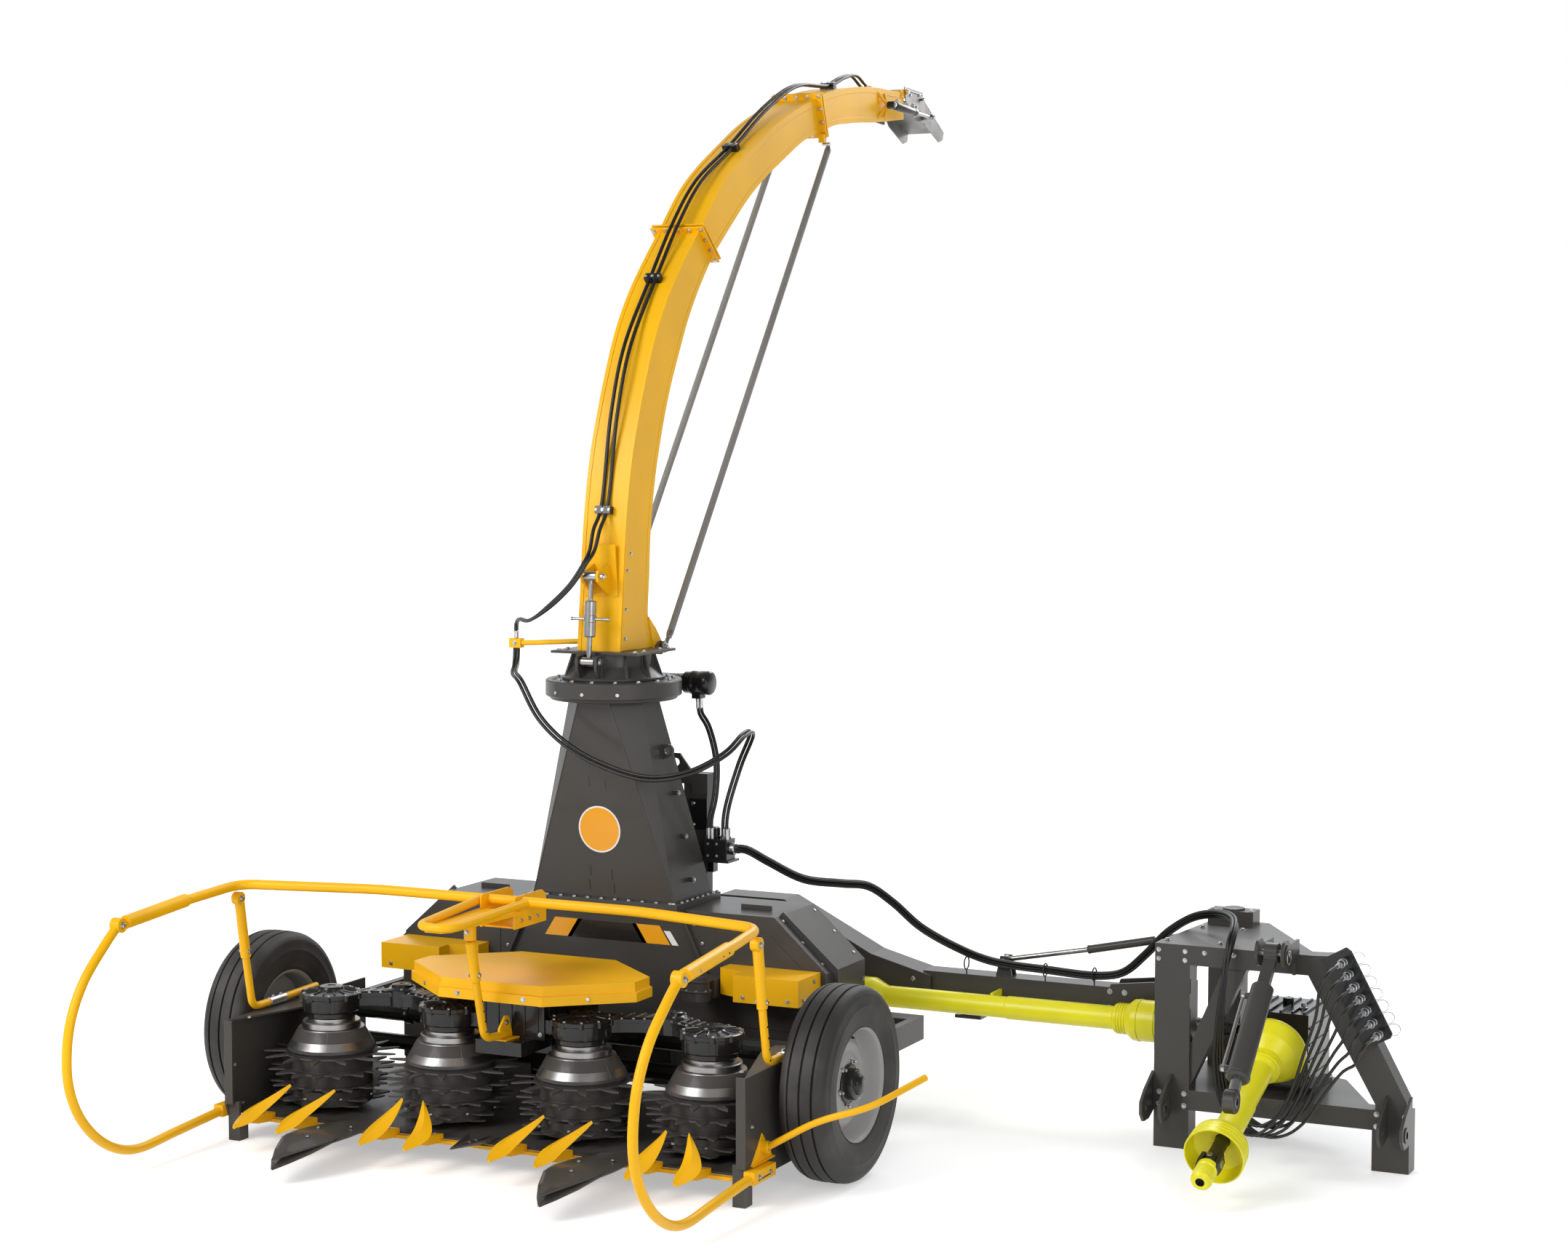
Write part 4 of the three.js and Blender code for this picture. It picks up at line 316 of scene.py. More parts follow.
# Bare steel, streaked and polished by the crop that slides over the neck.
neck_steel = bare_metal("neck_steel", "#A3A2A1", 0.36, (60.0, 60.0, 9.0), dark="#6A6968")
for name, x, turn in rotors:
    casting = Casting()
    drum = [(0, 128.5), (60, 128.5), (64, 134), (163, 134), (166, 138), (166, 196), (158, 200),
            (158, 204), (166, 208), (166, 346), (168, 350), (176, 350), (178, 353), (178, 360),
            (176, 364), (137, 434), (133, 438)]
    casting.turned(drum, (x, rotor_y, 0), (x, rotor_y, 1), 64, 0)
    casting.turned([(178, 364), (180, 358), (180, 352), (174, 352)], (x, rotor_y, 0), (x, rotor_y, 1), 64, 0)
    casting.turned([(176.5, 364), (134, 438), (116, 439), (115, 441)], (x, rotor_y, 0), (x, rotor_y, 1),
                   64, 1)
    casting.turned([(114, 438), (119, 441), (119, 462), (115, 466), (96, 466), (96, 480), (0, 480)],
                   (x, rotor_y, 0), (x, rotor_y, 1), 64, 2)
    discs = ((13, 190, 279, 0.30, 0.36, 0.06, 331, 337, 3.0), (16, 200, 258, 0.34, 0.62, 0.0, 270, 276, 11.0),
             (16, 196, 250, 0.34, 0.62, 0.0, 212, 218, 0.0), (8, 176, 238, 0.34, 0.5, 0.2, 162, 168, 9.0),
             (6, 160, 214, 0.28, 0.5, 0.1, 137, 142, 17.0))
    for count, root, tip, lean, width, hook, low, high, start in discs:
        swing = math.radians(start + turn)
        outline = []
        for u, v in toothed(count, root, tip, lean, width, hook):
            outline.append((x + u * math.cos(swing) - v * math.sin(swing),
                            rotor_y + u * math.sin(swing) + v * math.cos(swing)))
        casting.slab(outline, low, high, "xy", 0)
    for k in range(8):
        a = math.radians(45 * k + turn)
        casting.bolt((x + 190 * math.cos(a), rotor_y + 190 * math.sin(a), 172), (0, 0, 1), 8, 3)
    seam = math.radians(-62 + 3 * turn)
    ends = [(x + r * math.cos(seam), rotor_y + r * math.sin(seam), h) for r, h in ((175.5, 366), (135, 436))]
    casting.tube(ends, 0.8, 6, 0)
    casting.piece("crop_" + name, [rotor_sheet, neck_steel, ground_steel, zinc_plate], name,
                  [name])

# ---------------------------------------------------------------- gear cases
# Cast iron cases in gloss black over the rotors: a skirted drum under a bolted lid with radial ribs and a
# domed bearing cap, and a banana-shaped arm with a ribbed cover joining each pair.

# Gloss black enamel on castings; the same black is also painted shade inside drilled holes and slots.
black_enamel_and_hole_shade = enamel("black_enamel_and_hole_shade", "#19191A", 0.24, 0.3, "#77777A", dust=0.04)
for side, name in ((-1, "gearcase_left"), (1, "gearcase_right")):
    casting = Casting()
    for x in (side * 303, side * 877):
        a, b = (x, rotor_y, 0), (x, rotor_y, 1)
        casting.turned([(0, 482.5), (100, 482.5), (104, 486), (104, 503), (112, 506), (117, 510),
                        (118, 514), (118, 560), (124, 563), (124, 578), (120, 580), (104, 582), (66, 586),
                        (52, 592), (50, 600), (46, 604), (20, 606), (18, 603), (0, 603)], a, b, 56)
        for k in range(10):
            t = math.radians(36 * k + 11)
            u, v = math.cos(t), math.sin(t)
            casting.bolt((x + 113 * u, rotor_y + 113 * v, 579), (0, 0, 1), 6.5, 1)
            casting.rod((x + 121 * u, rotor_y + 121 * v, 556), (x + 121 * u, rotor_y + 121 * v, 580), 10, 14)
        for k in range(14):
            t = math.radians(360 / 14 * k + 4)
            u, v = math.cos(t), math.sin(t)
            p = (x + 50 * u, rotor_y + 50 * v, 590)
            q = (x + 104 * u, rotor_y + 104 * v, 583)
            casting.tube([p, q], 4.5, 8)
        for k in range(5):
            t = math.radians(72 * k + 20)
            casting.rod((x + 110 * math.cos(t), rotor_y + 110 * math.sin(t), 508),
                        (x + 110 * math.cos(t), rotor_y + 110 * math.sin(t), 560), 9, 10)
    xa, xb = side * 303, side * 877
    steps = 28

    def bow(low, high):
        front = []
        back = []
        for i in range(steps + 1):
            t = i / steps
            lift = 150 * math.sin(math.pi * t)
            front.append((xa + (xb - xa) * t, rotor_y + lift + low))
            back.append((xa + (xb - xa) * t, rotor_y + lift + high))
        return front + back[::-1]

    casting.slab(bow(-48, 60), 522, 572, "xy")
    casting.slab(bow(-54, 66), 560, 575, "xy")
    casting.slab(bow(-30, 40), 575, 580, "xy")
    for i in range(3, steps - 2, 2):
        t = i / steps
        x = xa + (xb - xa) * t
        y = rotor_y + 150 * math.sin(math.pi * t)
        casting.bolt((x, y - 44, 575), (0, 0, 1), 6, 1)
        casting.bolt((x, y + 56, 575), (0, 0, 1), 6, 1)
        casting.tube([(x, y - 36, 580), (x, y + 48, 580)], 3.5, 6)
    cap_x = (xa + xb) / 2 + side * 40
    casting.turned([(0, 520), (60, 520), (62, 584), (56, 590), (44, 594), (42, 604), (38, 607), (12, 608),
                    (10, 604), (0, 604)], (cap_x, rotor_y + 150, 0), (cap_x, rotor_y + 150, 1), 40)
    for k in range(6):
        t = math.radians(60 * k)
        casting.bolt((cap_x + 52 * math.cos(t), rotor_y + 150 + 52 * math.sin(t), 590), (0, 0, 1), 6, 1)
    x0, x1 = sorted((side * 150.3, side * 215))
    casting.block(x0, x1, 296, 344, 505, 560)
    casting.piece("cast_" + name, [black_enamel_and_hole_shade, zinc_plate], "chassis", [name], bevel=1.2)

# ---------------------------------------------------------------- crop points
# Eight gathering points pressed from yellow plate, each a keeled leaf with a swept tail, on short feet
# bolted to one strip under the floor's front edge.

# Golden yellow enamel.
yellow_enamel = enamel("yellow_enamel", "#FABB08", 0.36, 0.03, "#FFD45A", dust=0.02)
casting = Casting()
casting.block(-1120, 1120, 34, 59, 90, 103.7)
points = ((-990, 96), (-785, 104), (-394, 34), (-190, -72), (190, 96), (394, 104), (785, 34), (990, -72))
for x, lean in points:
    stations = []
    for t in [k / 12 for k in range(13)]:
        y = -196 + 250 * t
        z = 122 + 34 * t + 92 * t ** 2.4
        drift = lean * max(0.0, (t - 0.45) / 0.55) ** 1.6
        half = 3 + 50 * math.sin(math.pi * min(1.0, t * 0.98 + 0.01)) ** 0.8 * (1 - 0.35 * t)
        stations.append(((x + drift - half, y, z - 7), (x + drift, y - 2, z + 9 * math.sin(math.pi * t) + 3),
                         (x + drift + half, y, z - 7), (x + drift, y, z - 12)))
    casting.loft(stations)
    casting.slab([(-110, 118), (-60, 104), (56, 92), (56, 126), (-20, 138), (-90, 132)], x - 19, x + 19, "yz")
    casting.bolt((x, 20, 128), (0, 0.1, 1), 7, 1)
casting.piece("gathering_points", [yellow_enamel, zinc_plate], "chassis", ["crop_points"],
              bevel=0.8, angle=28)

# ---------------------------------------------------------------- divider leaves
# Broad leaf-shaped skins of dark sheet bolted over the two long dividers, bent along the middle and hanging
# down to a point in front, that part the rows of stalks.

# Graphite enamel over shot-blasted sheet.
graphite_enamel = enamel("graphite_enamel", "#42403D", 0.34, 0.1, "#9B9995", dust=0.06)
casting = Casting()
for x in (-590, 590):
    rows = []
    for y, half, z in ((-500, 3, 68), (-440, 44, 86), (-360, 86, 108), (-262, 120, 133), (-170, 131, 134),
                       (-60, 120, 129), (40, 98, 124), (110, 78, 120)):
        rows.append([(x - half, y, z - 5), (x, y, z + 7), (x + half, y, z - 5), (x, y, z + 2.6)])
    casting.loft(rows)
casting.piece("divider_leaves", [graphite_enamel], "chassis", bevel=0.6, angle=50)

# ---------------------------------------------------------------- header bolts
# Countersunk and hexagon bolts, zinc plated, that hold the divider plates, the floor's wear strip and the
# side panels.
casting = Casting()
for x in (-590, 590):
    for dx, y, z in ((-50, -120, 137), (50, -40, 133), (0, -262, 140)):
        casting.bolt((x + dx, y, z), (0, 0, 1), 7, 0)
for y, z in ((-30, 128), (20, 125)):
    casting.bolt((0, y, z), (0, 0, 1), 7, 0)
for side in (-1, 1):
    for y, z in ((110, 130), (420, 130), (760, 130), (60, 300), (900, 440), (900, 200)):
        casting.bolt((side * 1179, y, z), (side, 0, 0), 8, 0)
        casting.bolt((side * 1170.5, y, z), (-side, 0, 0), 8, 0)
    for y in (90, 450, 520):
        casting.bolt((side * 1120, y, 492), (0, 0, 1), 7, 0)
casting.piece("header_bolts", [zinc_plate], "chassis")

# ---------------------------------------------------------------- stalk push bar
# Bent steel tube in yellow enamel: one long bar with a sleeve at each end, and a dished tray on a
# narrower tube welded to its middle that pushes the stalks forward over the shield.


# A run of straight lengths whose corners are eased into bends.
def bent(points, radius, steps=6):
    points = [Vector(p) for p in points]
    path = [points[0]]
    for a, b, c in zip(points, points[1:], points[2:]):
        cut = min(radius, (a - b).length * 0.45, (c - b).length * 0.45)
        p = b + (a - b).normalized() * cut
        q = b + (c - b).normalized() * cut
        for k in range(steps + 1):
            t = k / steps
            path.append(p * (1 - t) ** 2 + b * 2 * t * (1 - t) + q * t * t)
    return path + [points[-1]]


casting = Casting()
bar_run = [(-1222, -560, 977), (-1207, -183, 1011), (-1178, 118, 1032), (-594, 240, 1034), (0, 252, 1032),
           (594, 240, 1034), (1178, 118, 1032), (1207, -183, 1011), (1222, -560, 977)]
casting.tube(bent(bar_run, 80, 8), 20, 24)
casting.tube(bent([(-104, 240, 1032), (-74, -270, 1006), (74, -270, 1006), (104, 240, 1032)], 90, 10), 17, 20)
casting.slab([(-95, 215), (-62, -240), (-36, -272), (36, -272), (62, -240), (95, 215)], 986, 1001, "xy")
casting.block(-78, 78, 205, 430, 930, 938)
for s in (-1, 1):
    casting.slab([(190, 930), (430, 930), (430, 1040), (400, 1058), (200, 1058), (190, 1048)], s * 76 - 4,
                 s * 76 + 4, "yz")
    casting.rod((s * 1209, -195, 1010.5), (s * 1221.5, -556, 978), 27, 28)
    casting.bolt((s * 1240, -480, 985), (s, 0, 0), 8, 1)
    # Five black discs down each sleeve are its row of holes: painted shade where the holes are.
    for k in range(5):
        casting.rod((s * 1213 + s * 24, -240 - 50 * k, 1006.5 - 4.4 * k),
                    (s * 1213 + s * 27.8, -240 - 50 * k, 1006.5 - 4.4 * k), 4, 10, 2)
casting.rod((0, -10, 916), (0, -10, 992), 24, 24)
casting.bolt((0, -34, 950), (0, -1, 0), 8, 1)
for y in (240, 300, 360):
    casting.bolt((80, y, 960), (1, 0, 0), 7, 1)
casting.piece("push_bar_tube", [yellow_enamel, zinc_plate, black_enamel_and_hole_shade], "chassis",
              ["push_bar"], bevel=0.8)

# ---------------------------------------------------------------- side loops
# D-shaped tubes swept forward and down from pinned eyes on the bar's ends to clamp sockets under the
# side panels. Yellow enamel, plated pins.


def mix(p, q, low, high, t):
    return (p * (high - t) + q * (t - low)) / (high - low)


# A smooth line through the points, in steps of about the given length.
def flowing(points, step):
    points = [Vector(p) for p in points]
    ends = [points[0] * 2 - points[1]] + points + [points[-1] * 2 - points[-2]]
    path = []
    for a, b, c, d in zip(ends, ends[1:], ends[2:], ends[3:]):
        count = max(1, round((c - b).length / step))
        knots = [0.0]
        for p, q in ((a, b), (b, c), (c, d)):
            knots.append(knots[-1] + math.sqrt((q - p).length))
        for k in range(count):
            t = knots[1] + (knots[2] - knots[1]) * k / count
            before = mix(a, b, knots[0], knots[1], t)
            between = mix(b, c, knots[1], knots[2], t)
            after = mix(c, d, knots[2], knots[3], t)
            path.append(mix(mix(before, between, knots[0], knots[2], t),
                            mix(between, after, knots[1], knots[3], t), knots[1], knots[2], t))
    return path + [points[-1]]


loop_run = [(-602, 972), (-693, 900), (-809, 793), (-887, 667), (-919, 533), (-915, 417), (-871, 303),
            (-792, 206), (-698, 137), (-603, 98), (-505, 84), (-304, 98), (10, 120)]
for side, name in ((-1, "bar_loop_left"), (1, "bar_loop_right")):
    casting = Casting()
    run = [(side * (1222 - 22 * i / 12), y, z) for i, (y, z) in enumerate(loop_run)]
    casting.tube(flowing(run, 22), 18.8, 24)
    casting.rod((side * 1200, -596, 974), (side * 1244, -596, 974), 29, 28)
    casting.bolt((side * 1244, -596, 974), (side, 0, 0), 11, 1)
    casting.bolt((side * 1200, -596, 974), (-side, 0, 0), 11, 1)
    x0, x1 = sorted((side * 1179.3, side * 1224))
    casting.block(x0, x1, -14, 168, 98, 146)
    casting.bolt((side * 1224, 30, 122), (side, 0, 0), 8, 1)
    casting.bolt((side * 1224, 120, 122), (side, 0, 0), 8, 1)
    casting.slab([(20, 108), (140, 112), (140, 118), (20, 114)], side * 1224.2 - 1.5, side * 1224.2 + 1.5,
                 "yz", 2)
    casting.piece("loop_tube" + name[8:], [yellow_enamel, zinc_plate, black_enamel_and_hole_shade], "chassis",
                  [name], bevel=1.0)

# ---------------------------------------------------------------- props
# Telescoping props of yellow tube: a pinned knuckle under the bar, a drilled inner tube that turns back
# along the panel, and a plated clamp sleeve on it; the middle prop stands on a pressed lug.
for side, name in ((-1, "prop_left"), (1, "prop_right")):
    casting = Casting()
    x = side * 1176
    casting.tube(bent([(x, 112, 962), (x, 152, 712), (x, 190, 512), (x, 330, 512), (x, 640, 520)], 44, 8),
                 15.6, 20)
    casting.rod((x, 112, 962), (x, 150, 726), 20.8, 24)
    casting.rod((x - 17, 104, 976), (x + 17, 104, 976), 26.8, 28)
    for s in (-1, 1):
        casting.bolt((x + s * 17, 104, 976), (s, 0, 0), 10, 1)
        casting.bolt((x + s * 20, 146, 752), (s, 0, 0), 8, 1)
    casting.rod((x, 300, 512), (x, 410, 514), 19.5, 24, 1)
    casting.bolt((x, 330, 531), (0, 0, 1), 8, 1)
    casting.bolt((x, 382, 532), (0, 0, 1), 8, 1)
    # Black discs on the inner tube are its drilled holes: painted shade in the holes.
    for k in range(4):
        casting.rod((x + side * 13, 450 + 48 * k, 515 + k), (x + side * 15.9, 450 + 48 * k, 515 + k), 5,
                    12, 2)
        y, z = 163 + 9 * k, 655 - 44 * k
        casting.rod((x + side * 13, y, z), (x + side * 15.9, y, z), 5, 12, 2)
    casting.piece("prop_tube" + name[4:], [yellow_enamel, zinc_plate, black_enamel_and_hole_shade], "chassis",
                  [name], bevel=0.8)
casting = Casting()
casting.tube(bent([(0, -10, 911.5), (0, 40, 700), (0, 88, 512), (0, 190, 504), (0, 240, 504)], 60, 8),
             15.8, 20)
casting.rod((0, -9, 908), (0, 28, 750), 20.8, 24)
for s in (-1, 1):
    casting.bolt((s * 20, 20, 776), (s, 0, 0), 9, 1)
    casting.bolt((s * 5, 244, 548), (s, 0, 0), 9, 1)
# Black discs on the inner tube are its drilled holes: painted shade in the holes.
for k in range(4):
    casting.rod((13, 52 + 10 * k, 668 - 42 * k), (15.9, 52 + 10 * k, 668 - 42 * k), 5, 12, 2)
casting.slab([(192, 482.4), (288, 482.4), (288, 500), (266, 566), (258, 574), (240, 574), (196, 530)], -5,
             5, "yz")
casting.slab([(-34, 192), (34, 192), (40, 286), (-40, 286)], 482.4, 488, "xy")
casting.piece("prop_tube_center", [yellow_enamel, zinc_plate, black_enamel_and_hole_shade], "chassis",
              ["prop_center"], bevel=0.8)

# ---------------------------------------------------------------- side lever
# The parked hand lever on the right panel: a bent yellow tube with a flattened, bolted end over a
# three-cornered bracket of folded plate.
casting = Casting()
casting.slab([(42, 152), (226, 152), (136, 260)], 1179.3, 1183, "yz")
casting.slab([(42, 150), (226, 150), (226, 156), (42, 156)], 1179.3, 1192, "yz")
casting.tube(bent([(1188, 134, 208), (1215, 130, 214), (1430, 96, 341), (1630, 112, 405),
                   (1750, 350, 480)], 90, 8), 12.8, 20)
casting.rod((1180, 134, 208), (1212, 134, 208), 23.5, 24)
casting.bolt((1212, 134, 208), (1, 0, 0), 9, 1)
casting.rod((1750, 350, 480), (1752, 354, 481.2), 13.2, 20)
casting.piece("hand_lever", [yellow_enamel, zinc_plate], "chassis", ["side_lever"], bevel=0.8)

# ---------------------------------------------------------------- drive shield and guards
# Folded sheet lids in yellow enamel over the central drive and the chain cases, their skirts held by
# plated bolts.
casting = Casting()
for x, y, nx, ny in ((-150, 140, 0, -1), (150, 140, 0, -1), (-370, 248, -0.65, -0.76),
                     (370, 248, 0.65, -0.76), (-510, 436, -1, 0), (510, 436, 1, 0),
                     (-370, 618, -0.6, 0.8), (370, 618, 0.6, 0.8)):
    facing = Vector((nx, ny, 0)).normalized()
    casting.bolt((x, y - 9 if ny == -1 else y, 672), facing, 9, 0)
for side in (-1, 1):
    for x, y, f in ((740, 852.5, (0, -1, 0)), (940, 852.5, (0, -1, 0))):
        casting.bolt((side * x, y, 600), f, 7, 0)
    casting.bolt((side * 988.5, 1000, 660), (side, 0, 0), 8, 0)
    casting.bolt((side * 988.5, 900, 600), (side, 0, 0), 8, 0)
casting.piece("shield_bolts", [zinc_plate], "chassis")

# ---------------------------------------------------------------- wheels
# Four-rib implement tyres, black rubber with a smooth sidewall and a raised bead ring, on pressed disc
# rims in light grey enamel with a black hub, grease cap and plated studs.


# Rubber: carbon black, matt, with a fine moulded grain and a dusty bloom.
def rubber(name, colour, rough, bloom="#6E6A64", grain=500.0, ripple=0.15):
    material, tree = blank(name)
    place = add_node(tree, "ShaderNodeTexCoord").outputs["Object"]
    grit = add_node(tree, "ShaderNodeTexNoise", {"Vector": place, "Scale": grain, "Detail": 2.0})
    patch = add_node(tree, "ShaderNodeTexNoise", {"Vector": place, "Scale": 5.0, "Detail": 5.0})
    film = add_node(tree, "ShaderNodeMapRange", {0: patch.outputs["Fac"], 1: 0.45, 2: 0.8, 3: 0.0, 4: 0.35})
    tone = add_node(tree, "ShaderNodeMix", {0: film.outputs[0], 6: linear(colour), 7: linear(bloom)},
                    data_type="RGBA")
    skin = add_node(tree, "ShaderNodeBump", {"Height": grit.outputs["Fac"], "Strength": ripple,
                                             "Distance": 0.0006})
    surface = add_node(tree, "ShaderNodeBsdfPrincipled", {
        "Base Color": tone.outputs[2], "Roughness": rough, "IOR": 1.52, "Normal": skin.outputs[0]})
    add_node(tree, "ShaderNodeOutputMaterial", {"Surface": surface.outputs[0]})
    return material


# Silver grey enamel on the wheel rims.
rim_enamel = enamel("rim_enamel", "#A3A2A0", 0.34, 0.1, "#D6D5D3", dust=0.05)
# Tyre rubber.
tyre_rubber = rubber("tyre_rubber", "#2B2A29", 0.62)
# Hydraulic hose rubber.
hose_rubber = rubber("hose_rubber", "#141414", 0.42, bloom="#3A3937", grain=900.0, ripple=0.08)
for side, tyre_name, rim_name, body in ((-1, "tyre_left", "rim_left", "wheel_left"),
                                        (1, "tyre_right", "rim_right", "wheel_right")):
    a, b = (side * 1322.5, 533, 380), (side * 1323.5, 533, 380)
    half = [(214, 74), (218, 80), (224, 82), (229, 86), (236, 87), (246, 89), (262, 93), (284, 96.5),
            (300, 97.3), (303, 98.2), (306, 97.2), (322, 96), (338, 94.5), (345, 94.8), (349, 93),
            (360, 88), (368, 80), (372.5, 70), (376, 62), (377, 57), (376, 54.5), (367, 53), (366, 50),
            (367, 47), (377.5, 45.5), (379, 30), (379.2, 14), (378.5, 4.5), (368.5, 3.5), (367.5, 0)]
    tread = [(r, -h) for r, h in half] + [(r, h) for r, h in half[::-1][1:]]
    inside = [(209.5, 71.5), (209.5, -71.5)]
    casting = Casting()
    casting.turned(tread + inside + [tread[0]], a, b, 112, 0)
    casting.piece(tyre_name.replace("tyre", "ribbed_tyre"), [tyre_rubber], body,
                  [tyre_name], angle=50)
    casting = Casting()
    well = [(220, 83.5), (217, 80), (212, 76), (209, 71), (206, 60), (198, 40), (194, 16), (188, 8),
            (176, 14), (164, 24), (150, 27), (134, 22), (118, 24), (104, 30), (92, 31), (70, 31),
            (70, 31)]
    casting.turned(well, a, b, 96, 0)
    back = [(220, 83.5), (219.5, 81.5), (207, 58), (209, 0), (209, -71), (219.5, -80), (220, -83.5),
            (212, -80), (203, -70), (200, 6), (194, 2), (176, 8), (150, 20), (100, 24), (60, 24)]
    casting.turned(back, a, b, 96, 0)
    casting.turned([(78, 30), (78, 37), (74, 40), (62, 41), (60, 64), (56, 70), (40, 74), (38, 82),
                    (34, 88), (24, 92), (0, 93)], a, b, 48, 1)
    casting.turned([(60, 26), (60, -40), (28.5, -44), (28.5, -20)], a, b, 40, 1)
    for k in range(6):
        t = math.radians(60 * k + 12)
        p = Vector((side * (1322.5 + 30), 533 + 86 * math.cos(t), 380 + 86 * math.sin(t)))
        casting.rod(p, p + Vector((side * 22, 0, 0)), 6, 12, 2)
        casting.bolt(p, (side, 0, 0), 11, 2)
    t = math.radians(100)
    p = Vector((side * (1322.5 + 40), 533 + 196 * math.cos(t), 380 + 196 * math.sin(t)))
    casting.rod(p, p + Vector((side * 34, -2, -6)), 4.5, 12, 3)
    casting.piece(rim_name.replace("rim", "pressed_rim"), [rim_enamel, black_enamel_and_hole_shade, zinc_plate, hose_rubber],
                  body, [rim_name], angle=40)

# ---------------------------------------------------------------- chopper housing
# Folded steel case in graphite enamel. Its seams carry bolted strips; the name places are bare vinyl in
# yellow, black and white, laid flat on the paint.
# Calendered vinyl film: even, flat and glossier than the paint round it.
yellow_vinyl = enamel("yellow_vinyl", "#F5A81C", 0.3, 0.3, "#F5A81C", dust=0.02)
white_vinyl = enamel("white_vinyl", "#F1F1EF", 0.3, 0.3, "#F1F1EF", dust=0.02)
casting = Casting()
for k in range(9):
    for side in (-1, 1):
        casting.bolt((side * (354 if k else 340), 1016 + 46 * k, 921.4), (0, 0, 1), 8, 0)
for k in range(11):
    casting.bolt((-325 + 65 * k, 1016, 921.4), (0, 0, 1), 8, 0)
    casting.bolt((-325 + 65 * k, 1387, 921.4), (0, 0, 1), 8, 0)
for side in (-1, 1):
    for z in (680, 760, 840):
        x = side * (476 - 112 * (z - 640) / 254)
        casting.bolt((x + side * 26, 1061.5, z), (0, -1, 0), 7, 0)
    for t in (0.12, 0.5, 0.88):
        x, z = 1014 + (779 - 1014) * t, 681 + (894 - 681) * t
        casting.bolt((side * (x - 8), 1100, z + 3), (side * 0.67, 0, 0.74), 8, 0)
        casting.bolt((side * (x - 8), 1400, z + 3), (side * 0.67, 0, 0.74), 8, 0)
    for z in (300, 450, 600):
        casting.bolt((side * 1014.5, 1420, z), (side, 0, 0), 8, 0)
    casting.slab([(side * 520, 430), (side * 960, 430), (side * 960, 640), (side * 760, 820),
                  (side * 520, 820)], 1058.6, 1061.9, "xz", 1)
    casting.block(min(side * 560, side * 700), max(side * 560, side * 700), 1200, 1206, 894.2, 914, 1)
for x in (-200, -60, 80, 220):
    casting.bolt((x, 1761, 620), (0, 1, 0), 8, 0)
    casting.bolt((x, 1761, 330), (0, 1, 0), 8, 0)
casting.slab([(-300, 742), (-250, 820), (-120, 820), (-170, 742)], 1061.0, 1061.8, "xz", 2)
casting.slab([(-190, 742), (-140, 820), (140, 820), (190, 742)], 1061.0, 1061.8, "xz", 4)
casting.slab([(170, 742), (120, 820), (250, 820), (300, 742)], 1061.0, 1061.8, "xz", 2)
casting.slab([(310, 742), (270, 800), (300, 800), (340, 742)], 1061.0, 1061.8, "xz", 3)
casting.slab([(640, 170), (700, 300), (870, 300), (810, 170)], 1179.05, 1179.9, "yz", 2)
casting.slab([(620, 170), (680, 300), (695, 300), (635, 170)], 1179.05, 1179.9, "yz", 3)
casting.piece("housing_trim", [zinc_plate, graphite_enamel, yellow_vinyl, white_vinyl, black_enamel_and_hole_shade],
              "chassis")

# ---------------------------------------------------------------- tower
# The tapered duct's seams are lapped; a round vinyl badge place, bare, sits on its front face, with
# short drain slots and side bolts.


def on_tower(x, z, lift=0.0):
    return Vector((x, 1030 - 74 * (z - 920) / 832 - lift, z - 0.089 * lift))


casting = Casting()
facing = Vector((0, -1, -0.089)).normalized()
centre = on_tower(0, 1215, 0.5)
casting.turned([(0, 0.9), (92, 0.9), (92, 0)], centre, centre + facing, 72, 0)
casting.turned([(92, 0), (92, 1.0), (99, 1.0), (99, 0)], centre, centre + facing, 72, 1)
# The short drain slots are thin black beads on the front face: painted shade in the slots.
for x, z in ((-34, 1520), (30, 1510), (-40, 1440), (36, 1430), (-52, 1060), (48, 1048), (-60, 1000),
             (56, 990)):
    casting.tube([on_tower(x, z, 0.4), on_tower(x + 2, z - 44, 0.4)], 1.8, 6, 2)
for z in (1000, 1180, 1360):
    for s in (-1, 1):
        wall = 336 + (174 - 336) * (z - 920) / 832
        casting.rod((s * (wall - 6), 1190, z), (s * (wall + 26), 1190, z), 9, 14, 3)
        casting.bolt((s * (wall + 22), 1190, z), (s, 0, 0.19), 9, 4)
for s in (-1, 1):
    edge = [Vector((s * 335, 1031, 922)), Vector((s * 72, 957, 1750))]
    casting.tube(edge, 3.2, 8, 3)
casting.piece("tower_trim", [yellow_vinyl, white_vinyl, black_enamel_and_hole_shade, graphite_enamel, zinc_plate],
              "chassis")

